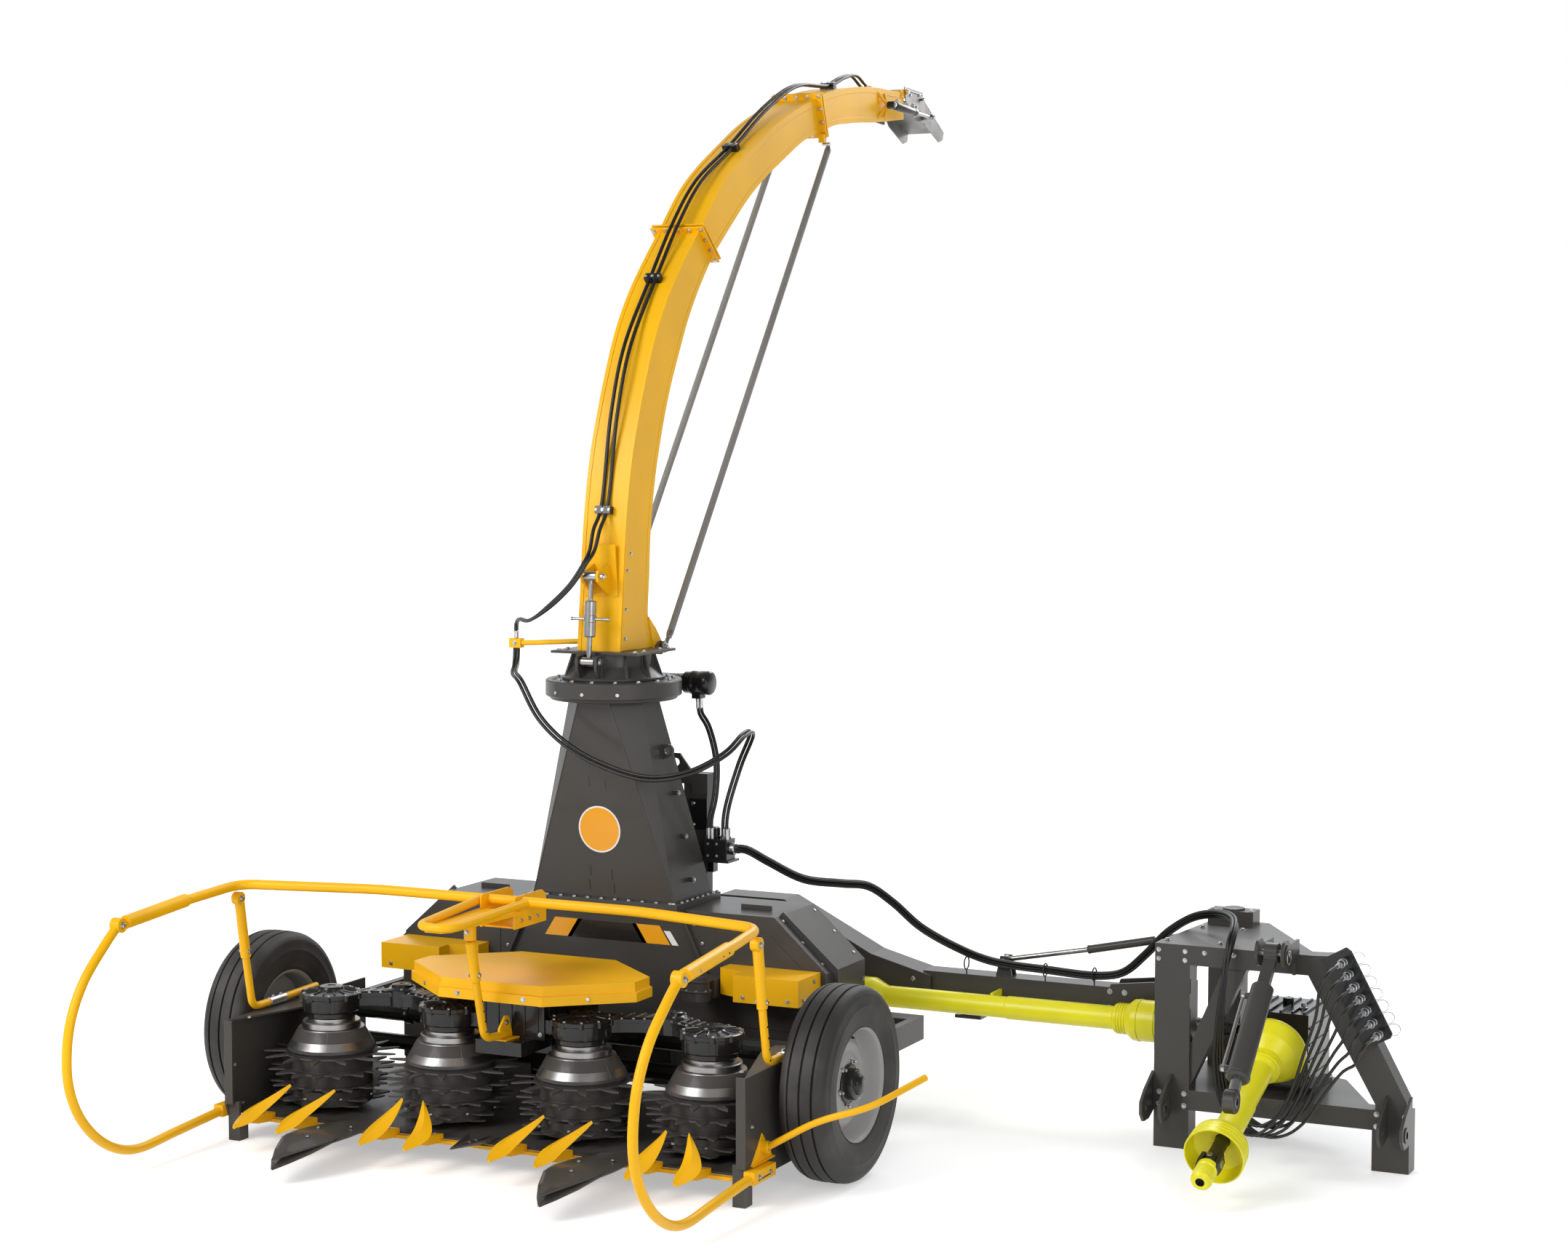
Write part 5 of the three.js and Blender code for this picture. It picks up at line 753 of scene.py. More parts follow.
# ---------------------------------------------------------------- slewing gear
# Cast slew ring in graphite enamel with its worm box, and the gloss black hydraulic motor on its end. Its
# rim is machined to a lip and held down by a circle of plated bolts.
casting = Casting()
a, b = (0, 1130, 0), (0, 1130, 1)
casting.turned([(168, 1752.4), (262, 1752.4), (267, 1757), (267, 1766), (281, 1767), (285, 1771),
                (285, 1830), (281, 1835.5), (232, 1835.5), (230, 1831), (226, 1831), (224, 1835.5),
                (168, 1835.5), (168, 1752.4)], a, b, 112, 0)
for k in range(16):
    t = math.radians(22.5 * k + 8)
    casting.bolt((248 * math.cos(t), 1130 + 248 * math.sin(t), 1835.5), (0, 0, 1), 9, 1)
for k in range(3):
    t = math.radians(-118 + 30 * k)
    casting.rod((284 * math.cos(t), 1130 + 284 * math.sin(t), 1790),
                (289 * math.cos(t), 1130 + 289 * math.sin(t), 1790), 8, 12, 1)
casting.slab([(-120, 1400), (-60, 1380), (90, 1380), (150, 1400), (150, 1471), (-120, 1471)], 1767, 1834,
             "xy", 0)
casting.block(150, 154, 1406, 1464, 1772, 1829, 0)
for y, z in ((1414, 1780), (1456, 1780), (1414, 1821), (1456, 1821)):
    casting.bolt((154, y, z), (1, 0, 0), 6, 1)
casting.piece("slew_ring_casting", [graphite_enamel, zinc_plate], "chassis",
              ["slew_ring"], bevel=1.5)
casting = Casting()
a, b = (150.3, 1433, 1800.5), (160, 1433, 1800.5)
casting.turned([(0, 0), (32, 0), (32, 4), (30, 8), (30, 26), (42, 28), (46, 32), (46, 58), (50, 62),
                (51, 70), (51, 76), (49.6, 78), (49.6, 104), (51, 106), (51, 146), (48, 152), (40, 157),
                (0, 158)], a, b, 56, 0)
casting.block(222, 262, 1407, 1457, 1734.5, 1780, 0)
for k in range(4):
    t = math.radians(45 + 90 * k)
    p = Vector((176, 1433 + 37 * math.cos(t), 1800.5 + 37 * math.sin(t)))
    casting.bolt(p, (-1, 0, 0), 6, 1)
for k in (-1, 1):
    casting.rod((242 + 8 * k, 1440, 1720), (242 + 8 * k, 1440, 1736), 9.5, 6, 1)
    casting.rod((242 + 8 * k, 1440, 1690), (242 + 8 * k, 1440, 1722), 8.6, 16, 1)
casting.piece("slew_motor_body", [black_enamel_and_hole_shade, zinc_plate], "chassis", ["slew_motor"],
              bevel=1.0)

# ---------------------------------------------------------------- valve block
# Black steel valve body on the mast with two solenoid stems, plated unions and hose ends, bolted through a
# cover plate in front.
casting = Casting()
for x in (344, 390):
    casting.rod((x, 1398, 1186), (x, 1398, 1198), 15, 20, 1)
    casting.turned([(0, 1150), (20, 1150), (20, 1158), (17.2, 1160), (17.2, 1186), (14, 1190), (0, 1190)],
                   (x, 1398, 0), (x, 1398, 1), 28, 0)
for x, r in ((404 - 8.5, 7.5), (404 + 8.5, 7.5), (334 - 8, 7), (334 + 8, 7)):
    casting.rod((x, 1360, 1149), (x, 1360, 1164), r + 2.4, 6, 1)
    casting.rod((x, 1360, 1162), (x, 1360, 1196), r + 1.6, 16, 1)
for x, z in ((330, 1080), (372, 1080), (330, 1130), (372, 1130)):
    casting.bolt((x, 1345.5, z), (0, -1, 0), 7, 1)
casting.block(318, 416, 1344, 1347, 1066, 1146, 0)
casting.turned([(0, 0), (26, 0), (26, 20), (22, 24), (0, 24)], (419, 1385, 1110), (430, 1385, 1110), 28, 1)
for k in range(6):
    t = math.radians(60 * k)
    p = Vector((440, 1385 + 12.6 * math.cos(t), 1110 + 12.6 * math.sin(t)))
    casting.rod(p, p + Vector((26, 0, 0)), 7.4, 12, 1)
casting.block(214, 300, 1395, 1399, 1180, 1310, 0)
casting.bolt((236, 1394, 1200), (0, -1, 0), 8, 1)
casting.bolt((236, 1394, 1290), (0, -1, 0), 8, 1)
casting.piece("valve_trim", [black_enamel_and_hole_shade, zinc_plate], "chassis", bevel=0.6)

# ---------------------------------------------------------------- turret
# Fabricated turret in graphite enamel: a flared collar with gussets under the flange that the spout rests
# on, lugs and bright pins for the turnbuckle in front and the tilting hinge behind.
casting = Casting()
a, b = (0, 1130, 0), (0, 1130, 1)
casting.turned([(146, 1836.4), (212, 1836.4), (216, 1838), (216, 1847), (210, 1850), (171, 1892),
                (170, 1898), (170, 1947), (146, 1947), (146, 1836.4)], a, b, 80, 0)
for k in range(12):
    t = math.radians(30 * k + 15)
    u, v = math.cos(t), math.sin(t)
    s = Vector((-v, u, 0)) * 4
    foot_out, foot_in = Vector((212 * u, 1130 + 212 * v, 1848)), Vector((166 * u, 1130 + 166 * v, 1848))
    top_in, top_out = Vector((166 * u, 1130 + 166 * v, 1946)), Vector((178 * u, 1130 + 178 * v, 1946))
    rim = [foot_out, foot_in, top_in, top_out]
    casting.hexahedron([p - s for p in rim] + [p + s for p in rim])
    casting.bolt((196 * math.cos(t + 0.26), 1130 + 196 * math.sin(t + 0.26), 1850), (0, 0, 1), 8, 1)
casting.block(-205, -96, 960, 1296, 1947, 1957.7)
casting.block(96, 205, 960, 1296, 1947, 1957.7)
casting.block(-96, 96, 960, 1012, 1947, 1957.7)
casting.block(-96, 96, 1270, 1296, 1947, 1957.7)
for x in (-180, 180):
    for y in (985, 1060, 1200, 1272):
        casting.bolt((x, y, 1957.7), (0, 0, 1), 9, 1)
for k in (-1, 1):
    casting.slab([(925, 1842), (895, 1885), (893, 1935), (902, 1945), (985, 1946), (985, 1850)],
                 k * 44 - 6, k * 44 + 6, "yz", 0)
    casting.slab([(1270, 1930), (1270, 1957), (1320, 1984), (1346, 1975), (1352, 1960), (1350, 1938),
                  (1320, 1925)], k * 120 - 6, k * 120 + 6, "yz", 0)
    casting.rod((k * 92, 1330, 1958), (k * 146, 1330, 1958), 12, 24, 1)
    casting.rod((k * 50, 921, 1919), (k * 56, 921, 1919), 17, 24, 1)
casting.rod((-60, 921, 1919), (60, 921, 1919), 12, 24, 1)
casting.piece("turret_weldment", [graphite_enamel, zinc_plate], "turret", ["turret"],
              bevel=1.0)

# ---------------------------------------------------------------- spout ducts
# Three lengths of curved duct folded from yellow sheet: side plates lapped over the outer and inner
# skins, bolted together through rectangular flanges, with tilting lugs at the foot.
lower = [((1005, 1958.3), (1290, 1958.3)), ((1016, 2075), (1243, 2075)), ((1035, 2245), (1254, 2245)),
         ((1060, 2480), (1272, 2470)), ((1111, 2737), (1314, 2679)), ((1174, 2924), (1373, 2869)),
         ((1246, 3099), (1447, 3047)), ((1333, 3277), (1521, 3185)), ((1449, 3443), (1610, 3339)),
         ((1582, 3586), (1716, 3481)), ((1722, 3722), (1838, 3618))]
middle = [((1730, 3729), (1846, 3625)), ((1917, 3911), (2030, 3772)), ((2074, 4021), (2202, 3902)),
          ((2267, 4129), (2365, 4000)), ((2499, 4250), (2566, 4102)), ((2700, 4330), (2772, 4200)),
          ((2905, 4398), (2956, 4252))]
tip = [((2915, 4401), (2966, 4255)), ((3038, 4438), (3080, 4292)), ((3276, 4485), (3290, 4326)),
       ((3541, 4514), (3580, 4354)), ((3917, 4521), (3918, 4398))]


def duct(casting, stations):
    outer = flowing([(0, y, z) for (y, z), _ in stations], 45)
    inner_raw = flowing([(0, y, z) for _, (y, z) in stations], 45)
    n = len(outer)
    inner = []
    for i in range(n):
        f = i / (n - 1) * (len(inner_raw) - 1)
        k = min(int(f), len(inner_raw) - 2)
        inner.append(inner_raw[k].lerp(inner_raw[k + 1], f - k))
    for wall, depth in ((100, 0.0), (96, 4.0)):
        points = []
        for i in range(n):
            cross = (inner[i] - outer[i]).normalized()
            o, q = outer[i] + cross * depth, inner[i] - cross * depth
            points += [(-wall, o.y, o.z), (wall, o.y, o.z), (wall, q.y, q.z), (-wall, q.y, q.z)]
        faces = [(4 * i + k, 4 * i + (k + 1) % 4, 4 * i + 4 + (k + 1) % 4, 4 * i + 4 + k)
                 for i in range(n - 1) for k in range(4)]
        casting.add(points, faces, 0)
    for s in (-1, 1):
        lip = []
        for i in range(n):
            cross = (inner[i] - outer[i]).normalized()
            o = outer[i]
            lip += [(s * 101.6, o.y, o.z), (s * 101.6, *(o - cross * 3)[1:]),
                    (s * 84, *(o - cross * 3)[1:]), (s * 84, *(o + cross * 1)[1:]),
                    (s * 101.6, *(o + cross * 26)[1:])]
        faces = [(5 * i + k, 5 * i + (k + 1) % 5, 5 * i + 5 + (k + 1) % 5, 5 * i + 5 + k)
                 for i in range(n - 1) for k in range(5)]
        faces += [(0, 1, 2, 3, 4), tuple(5 * (n - 1) + k for k in (4, 3, 2, 1, 0))]
        casting.add(lip, faces, 0)
        low = []
        for i in range(n):
            cross = (inner[i] - outer[i]).normalized()
            q = inner[i]
            low += [(s * 101.4, *(q - cross * 22)[1:]), (s * 101.4, *(q + cross * 2.4)[1:]),
                    (s * 90, *(q + cross * 2.4)[1:]), (s * 99, *(q - cross * 22)[1:])]
        faces = [(4 * i + k, 4 * i + (k + 1) % 4, 4 * i + 4 + (k + 1) % 4, 4 * i + 4 + k)
                 for i in range(n - 1) for k in range(4)]
        faces += [(0, 1, 2, 3), tuple(4 * (n - 1) + k for k in (3, 2, 1, 0))]
        casting.add(low, faces, 0)


def flange(casting, station, thick, over=28):
    (ay, az), (by, bz) = station
    va, vb = Vector((0, ay, az)), Vector((0, by, bz))
    u = (vb - va).normalized()
    n = Vector((0, -u.z, u.y)) * (1 if thick > 0 else -1)
    t = abs(thick)
    span_u = (vb - va).length

    def corner(x, s, h):
        p = va + u * s + n * h
        return (x, p.y, p.z)

    ring = [(-100 - over, -over), (100 + over, -over), (100 + over, span_u + over),
            (-100 - over, span_u + over)]
    hole = [(-100, 0), (100, 0), (100, span_u), (-100, span_u)]
    points = [corner(x, s, h) for h in (0.5, t) for x, s in ring + hole]
    faces = []
    for k in range(4):
        m = (k + 1) % 4
        faces += [(k, m, 4 + m, 4 + k), (8 + k, 12 + k, 12 + m, 8 + m), (k, 8 + k, 8 + m, m),
                  (4 + k, 4 + m, 12 + m, 12 + k)]
    casting.add(points, faces, 0)
    for x in (-114, -57, 0, 57, 114):
        for s in (-14, span_u + 14):
            casting.bolt(corner(x, s, t), n, 8, 1)
    for s in (span_u * 0.3, span_u * 0.7):
        for x in (-114, 114):
            casting.bolt(corner(x, s, t), n, 8, 1)


casting = Casting()
duct(casting, lower)
flange(casting, lower[10], -8)
for k in (-1, 1):
    casting.slab([(1036, 2180), (930, 2250), (922, 2275), (935, 2296), (960, 2296), (1048, 2330)],
                 k * 36 - 6, k * 36 + 6, "yz", 0)
    casting.slab([(1240, 2090), (1280, 1959.4), (1303, 1959.4), (1314, 1938), (1348, 1938), (1350, 1985),
                  (1300, 2040)], k * 104 - 4, k * 104 + 4, "yz", 0)
    casting.slab([(1010, 1962), (1140, 1962), (1130, 2380), (1052, 2400)], k * 103 - 2, k * 103 + 2, "yz", 0)
    for y, z in ((1040, 2010), (1050, 2130), (1062, 2290), (1090, 2360)):
        casting.bolt((k * 105, y, z), (k, 0, 0), 7, 1)
    casting.rod((k * 42, 945, 2272), (k * 58, 945, 2272), 11, 20, 1)
    casting.bolt((k * 56, 945, 2272), (k, 0, 0), 10, 1)
casting.slab([(-80, 2185), (80, 2185), (66, 2400), (-66, 2400)], 1024, 1034, "xz", 0)
casting.tube([(-96, 1080, 1992), (-420, 1080, 1972)], 10.8, 18, 0)
casting.block(-470, -414, 1064, 1096, 1952.2, 1991.8, 0)
casting.bolt((-442, 1064, 1972), (0, -1, 0), 8, 1)
casting.piece("spout_lower_duct", [yellow_enamel, zinc_plate], "spout", ["spout_lower"],
              bevel=0.9)
casting = Casting()
duct(casting, middle)
flange(casting, middle[0], 8)
flange(casting, middle[6], -8)
for k in (-1, 1):
    casting.block(*sorted((k * 97, k * 124)), 2931, 2962, 4200, 4240)
casting.piece("spout_middle_duct", [yellow_enamel, zinc_plate], "spout", ["spout_middle"],
              bevel=0.9)
casting = Casting()
duct(casting, tip)
flange(casting, tip[0], 8)
for y, z in ((3600, 4505), (3690, 4505), (3600, 4368), (3690, 4372)):
    casting.tube([(96, y, z), (126, 3658, 4440)], 7, 10, 0)
casting.rod((116, 3658, 4440), (176, 3658, 4440), 8, 16, 1)
casting.rod((-118, 3932, 4532), (118, 3932, 4532), 6, 14, 1)
casting.block(-90, 90, 3880, 3934, 4518, 4534, 0)
casting.piece("spout_tip_duct", [yellow_enamel, zinc_plate], "spout", ["spout_tip"],
              bevel=0.9)

# ---------------------------------------------------------------- spout stays
# Two long steel tubes with forged eyes that brace the spout from its hinge to the middle flange. Grey
# enamel, plated bolts.

# Grey enamel on thin tubes.
stay_enamel = enamel("stay_enamel", "#8B8A88", 0.32, 0.1, "#BDBBB9", dust=0.0)
for k, name in ((-1, "spout_stay_left"), (1, "spout_stay_right")):
    casting = Casting()
    low, high = Vector((k * 137, 1372, 2010)), Vector((k * 137, 2950, 4166))
    along = (high - low).normalized()
    casting.rod(low, high, 15, 28, 0)
    casting.turned([(9, 0), (13, 4), (15.6, 22), (15.6, 34)], low - along * 22, low, 24, 1)
    casting.turned([(15.6, 0), (15.6, 12), (13, 30), (9, 36)], high - along * 12, high, 24, 1)
    casting.rod((k * 131, 1330, 1958), (k * 141, 1330, 1958), 26, 32, 1)
    casting.tube([(k * 137, 1340, 1976), low], 9.4, 16, 1)
    casting.tube([high, (k * 137, 2954, 4199)], 9, 16, 1)
    casting.rod((k * 110, 2949, 4192), (k * 148, 2949, 4192), 7.5, 16, 2)
    casting.bolt((k * 141, 1330, 1958), (k, 0, 0), 12, 2)
    casting.bolt((k * 142, 2949, 4192), (k, 0, 0), 9, 2)
    casting.piece("stay_tube" + name[10:], [stay_enamel, ground_steel, zinc_plate], "spout",
                  [name], bevel=0.6)

# ---------------------------------------------------------------- turnbuckle
# Screw jack of ground steel between turret and spout, that sets how steep the spout stands: a turned body
# with a tommy bar, a threaded rod, and an eye on each end.
foot_pin, head_pin = Vector((0, 921, 1919)), Vector((0, 945, 2272))
casting = Casting()
casting.rod((-30, 921, 1919), (30, 921, 1919), 20, 28, 0)
casting.tube([foot_pin.lerp(head_pin, 0.04), foot_pin.lerp(head_pin, 0.3)], 11, 20, 0)
start = foot_pin.lerp(head_pin, 0.29)
casting.turned([(0, 0), (20, 0), (24, 4), (24, 60), (25.5, 62), (25.5, 88), (24, 90), (24, 146),
                (20, 150), (10.6, 150)], start, head_pin, 32, 0)
for k in (-1, 1):
    p = foot_pin.lerp(head_pin, 0.5)
    casting.rod(p + Vector((k * 20, 0, 0)), p + Vector((k * 86, 0, 0)), 6, 16, 0)
    casting.rod(p + Vector((k * 82, 0, 0)), p + Vector((k * 90, 0, 0)), 7.6, 16, 0)
casting.piece("screw_jack_body", [ground_steel], "turnbuckle_body", ["turnbuckle_body"],
              bevel=0.6)
casting = Casting()
casting.tube([foot_pin.lerp(head_pin, 0.42), foot_pin.lerp(head_pin, 0.96)], 10, 20, 0)
for k in range(16):
    p = foot_pin.lerp(head_pin, 0.74 + 0.011 * k)
    casting.turned([(9.8, -1.6), (11.0, 0), (9.8, 1.6)], p, head_pin, 20, 0)
casting.rod((-29, 945, 2272), (29, 945, 2272), 21, 28, 0)
casting.piece("screw_jack_rod", [ground_steel], "turnbuckle_rod", ["turnbuckle_rod"],
              bevel=0.6)

# ---------------------------------------------------------------- deflector
# Two grey sheet flaps hinged on the spout's end, their cylinder in gloss black with a bright rod. Plated
# hinge bolts, hose unions and ribs.

# Galvanised sheet, scoured by the crop.
worn_sheet = bare_metal("worn_sheet", "#8B8A88", 0.42, (300.0, 30.0, 30.0))
casting = Casting()
for k in (-1, 1):
    casting.bolt((k * 118, 3932, 4532), (k, 0, 0), 9, 0)
    casting.rod((k * 104, 3932, 4532), (k * 118, 3932, 4532), 12, 20, 1)
    casting.slab([(3880, 4500), (3944, 4500), (3944, 4548), (3880, 4540)], k * 103.5 - 1.5,
                 k * 103.5 + 1.5, "yz", 1)
casting.piece("deflector_hinge_bolts", [zinc_plate, yellow_enamel], "spout", bevel=0.6)
casting = Casting()
for k in (-1, 1):
    casting.bolt((k * 121, 4118, 4512), (k, 0, 0), 9, 0)
    for y, z in ((3980, 4520), (4060, 4470), (4090, 4530)):
        casting.bolt((k * 110, y, z), (k, 0, 0), 7, 0)
    casting.tube([(k * 111, 3950, 4540), (k * 111, 4128, 4534)], 3, 8, 1)
casting.bolt((167.2, 4145, 4424), (1, 0, 0), 9, 0)
casting.piece("deflector_flap_bolts", [zinc_plate, worn_sheet], "deflector_flap", bevel=0.4)
casting = Casting()
for x in (-60, 0, 60):
    casting.tube([(x, 4170, 4508), (x, 4410, 4389)], 3, 8, 0)
for k in (-1, 1):
    casting.tube([(k * 99, 4146, 4526), (k * 99, 4430, 4374)], 3.4, 8, 0)
casting.piece("deflector_tip_ribs", [worn_sheet], "deflector_tip", bevel=0.4)
a, b = Vector((150, 3658, 4440)), Vector((150, 4145, 4424))
casting = Casting()
casting.rod((132, 3658, 4440), (168, 3658, 4440), 19, 28, 0)
casting.tube([a.lerp(b, 0.02), a.lerp(b, 0.1)], 14, 20, 0)
casting.turned([(0, 0), (17, 0), (19, 3), (19, 228), (21, 230), (21, 248), (19, 250), (9, 250)],
               a.lerp(b, 0.08), b, 36, 0)
for t, top in ((0.14, 4476), (0.54, 4472)):
    p = a.lerp(b, t)
    casting.rod((150, p.y, 4448), (150, p.y, top), 8, 6, 1)
    casting.rod((150, p.y, 4454), (150, p.y, top - 6), 9.5, 16, 1)
casting.bolt((168, 3658, 4440), (1, 0, 0), 9, 1)
casting.piece("deflector_cylinder", [black_enamel_and_hole_shade, zinc_plate], "deflector_barrel",
              ["deflector_barrel"], bevel=0.5)
casting = Casting()
casting.tube([a.lerp(b, 0.36), a.lerp(b, 0.97)], 8.4, 20, 0)
casting.rod((134, 4145, 4424), (166, 4145, 4424), 17, 28, 0)
casting.piece("deflector_cylinder_rod", [ground_steel], "deflector_rod",
              ["deflector_rod"], bevel=0.5)

# ---------------------------------------------------------------- free hoses
# Hydraulic hoses, black rubber over steel braid with crimped plated ends. One pair hangs from the spout's
# fork to the valve block, one pair drops from the slewing motor, and the tractor's seven hoses run bound
# together along the beam, over the headstock and up in a fan to the coupler holder.


def beside(path, across, up):
    side = (path[1] - path[0]).cross(Vector((0, 0, 1)))
    side = side.normalized() if side.length > 0.01 else Vector((1, 0, 0))
    moved = []
    for i, p in enumerate(path):
        along = (path[min(i + 1, len(path) - 1)] - path[max(i - 1, 0)]).normalized()
        side = (side - along * side.dot(along)).normalized()
        moved.append(p + side * across + along.cross(side) * up)
    return moved


def hose(name, path, radius, node):
    casting = Casting()
    casting.tube(path, radius, 14)
    thing = casting.piece(name, [hose_rubber], "chassis", [node])


fork = (-442, 1080)
loop_run = [(fork[0], fork[1], 1951.7), (fork[0], fork[1], 1936), (-438.5, 1071, 1905),
            (-427.5, 1048, 1882), (-396, 982, 1856), (-300, 875, 1830), (-190, 838, 1690),
            (-60, 832, 1585), (100, 836, 1510), (320, 850, 1462), (480, 900, 1490), (585, 1010, 1560),
            (600, 1150, 1625), (560, 1300, 1610), (470, 1368, 1470), (416, 1362, 1300), (404, 1360, 1230),
            (404, 1360, 1150.3)]
motor_run = [(242, 1440, 1734.2), (242, 1440, 1702), (248.5, 1438, 1671), (290, 1425, 1620),
             (345, 1395, 1480), (352, 1370, 1330), (334, 1360, 1230), (334, 1360, 1150.3)]
for k in (-1, 1):
    hose("spout_hose_" + "ab"[k > 0], beside(flowing(loop_run, 22), 8.5 * k, 0), 7.5, "hose_loop")
    hose("slew_hose_" + "ab"[k > 0], beside(flowing(motor_run, 22), 8.0 * k, 0), 7.0, "motor_hose")
bundle_run = [(418.6, 1385, 1110), (490, 1385, 1110), (560, 1440, 1060), (680, 1550, 975),
              (800, 1680, 945), (880, 1775, 925), (960, 1850, 850), (1060, 1920, 740), (1200, 1990, 650),
              (1350, 2005, 602), (1600, 2005, 585), (1850, 2005, 580), (1950, 2005, 604),
              (2050, 1995, 690), (2160, 1960, 800), (2280, 1925, 876), (2400, 1870, 906),
              (2500, 1740, 915), (2545, 1620, 902), (2556, 1530, 850)]
fall_run = [(2545, 1488, 720), (2535, 1470, 560), (2540, 1450, 400), (2575, 1430, 270), (2640, 1415, 185),
            (2720, 1405, 150), (2800, 1410, 180), (2870, 1420, 265), (2935, 1405, 400), (3005, 1360, 530),
            (3046, 1314, 604)]
couplers = [(2965 + 0.4702 * (34 + 51 * i) + 26.5, 830 - 0.8826 * (34 + 51 * i) + 14.1) for i in range(7)]
for i in range(7):
    across, up = (0, 0) if i == 3 else (12.6 * math.cos(math.pi / 3 * (i % 6)),
                                        12.6 * math.sin(math.pi / 3 * (i % 6)))
    head = beside([Vector(p) for p in bundle_run], across, up)
    shift_x, shift_z = couplers[i][0] - couplers[3][0], couplers[i][1] - couplers[3][1]
    fall = []
    for n, (x, y, z) in enumerate(fall_run):
        t = (n + 1) / len(fall_run)
        sag = math.sin(math.pi * min(1.0, t * 1.15))
        reach = max(0.0, (t - 0.45) / 0.55) ** 1.5
        fall.append(Vector((x + shift_x * reach + (i - 3) * 5 * sag,
                            y + (i - 3) * 7 * sag + (18 if i % 2 else -10) * sag,
                            z + shift_z * reach + ((i * 37) % 70 - 28) * sag)))
    cx, cz = couplers[i]
    tail = [Vector((cx + x, y, cz + z)) for x, y, z in
            ((-22, 1307, -48), (-8, 1322, -15), (0, 1358, 0), (0, 1400, 0), (0, 1479.7, 0))]
    hose("tractor_hose_%d" % (i + 1), flowing(head + fall + tail, 25), 6.2, "hose_bundle")

# ---------------------------------------------------------------- spout hoses
# The pair of rubber hoses clipped along the spout's back in moulded twin clamps, then led down to the
# block on the arm.


def off_face(stations, i, f, lift):
    a = Vector((0, *stations[i][0]))
    b = Vector((0, *stations[min(i + 1, len(stations) - 1)][0]))
    before = Vector((0, *stations[max(i - 1, 0)][0]))
    along = ((b - a) if i + 1 < len(stations) else (a - before)).normalized()
    return a.lerp(b, f) + Vector((0, -along.z, along.y)) * lift


casting = Casting()
holds = ((lower, 3, 0.22), (lower, 8, 0.4), (middle, 2, 0.8), (tip, 1, 0.88))
for stations, i, f in holds:
    p, q = off_face(stations, i, f - 0.05, 0), off_face(stations, i, f + 0.05, 0)
    along = (q - p).normalized()
    up = Vector((0, -along.z, along.y))
    middle_point = off_face(stations, i, f, 0)
    for k in (-1, 1):
        points = [middle_point + along * s + up * h + Vector((x, 0, 0)) for x in (k * 2, k * 36)
                  for s, h in ((-16, 3), (16, 3), (16, 33), (-16, 33))]
        casting.hexahedron(points, 1)
        casting.bolt(middle_point + up * 33 + Vector((k * 30, 0, 0)), up, 5, 2)
    casting.bolt(middle_point + up * 33, up, 6, 2)
runs = ((lower, 3, 0.22, 20), (lower, 5, 0, 34), (lower, 6, 0.5, 44), (lower, 8, 0.4, 20),
        (lower, 10, 0, 46), (middle, 1, 0, 40), (middle, 2, 0.8, 20), (middle, 4, 0.5, 50),
        (middle, 6, 0, 66), (tip, 1, 0.88, 20), (tip, 2, 0.5, 52), (tip, 3, 0, 62), (tip, 3, 0.28, 24))
clipped = [(0, 990, 2460)] + [tuple(off_face(*run)) for run in runs]
lead = [(0, 948, 2372), (-10, 915, 2330), (-60, 885, 2240), (-160, 885, 2150), (-300, 950, 2080),
        (-405, 1040, 2075), (-442, 1080, 2050), (-442, 1080, 1992.3)]
for k in (-1, 1):
    path = [Vector((k * 15 + p[0], p[1], p[2])) for p in clipped][::-1]
    turn_in = [Vector((k * 11 + lead[0][0], lead[0][1], lead[0][2]))]
    for i, (x, y, z) in enumerate(lead[1:]):
        spread, shift = (0.8, 0) if i < 3 else (0.3, -k * 8)
        turn_in.append(Vector((x + k * 8.5 * spread, y + shift, z)))
    casting.tube(flowing(path + turn_in, 20), 7.8, 14, 0)
    end = path[0]
    casting.rod(end, end + Vector((k * 6, 44, 2)), 9.4, 16, 2)
    casting.rod((-442 + k * 3, 1080 - k * 8, 1993), (-442 + k * 3, 1080 - k * 8, 2024), 9.4, 16, 2)
casting.piece("clipped_spout_hoses", [hose_rubber, black_enamel_and_hole_shade, zinc_plate], "spout",
              ["spout_hoses"])

# ---------------------------------------------------------------- cross shaft
# Cardan shaft in a lemon polyethylene guard: a plain tube swelling into a ribbed cone at each end, held
# from turning by a short hanger. Forged yokes inside.


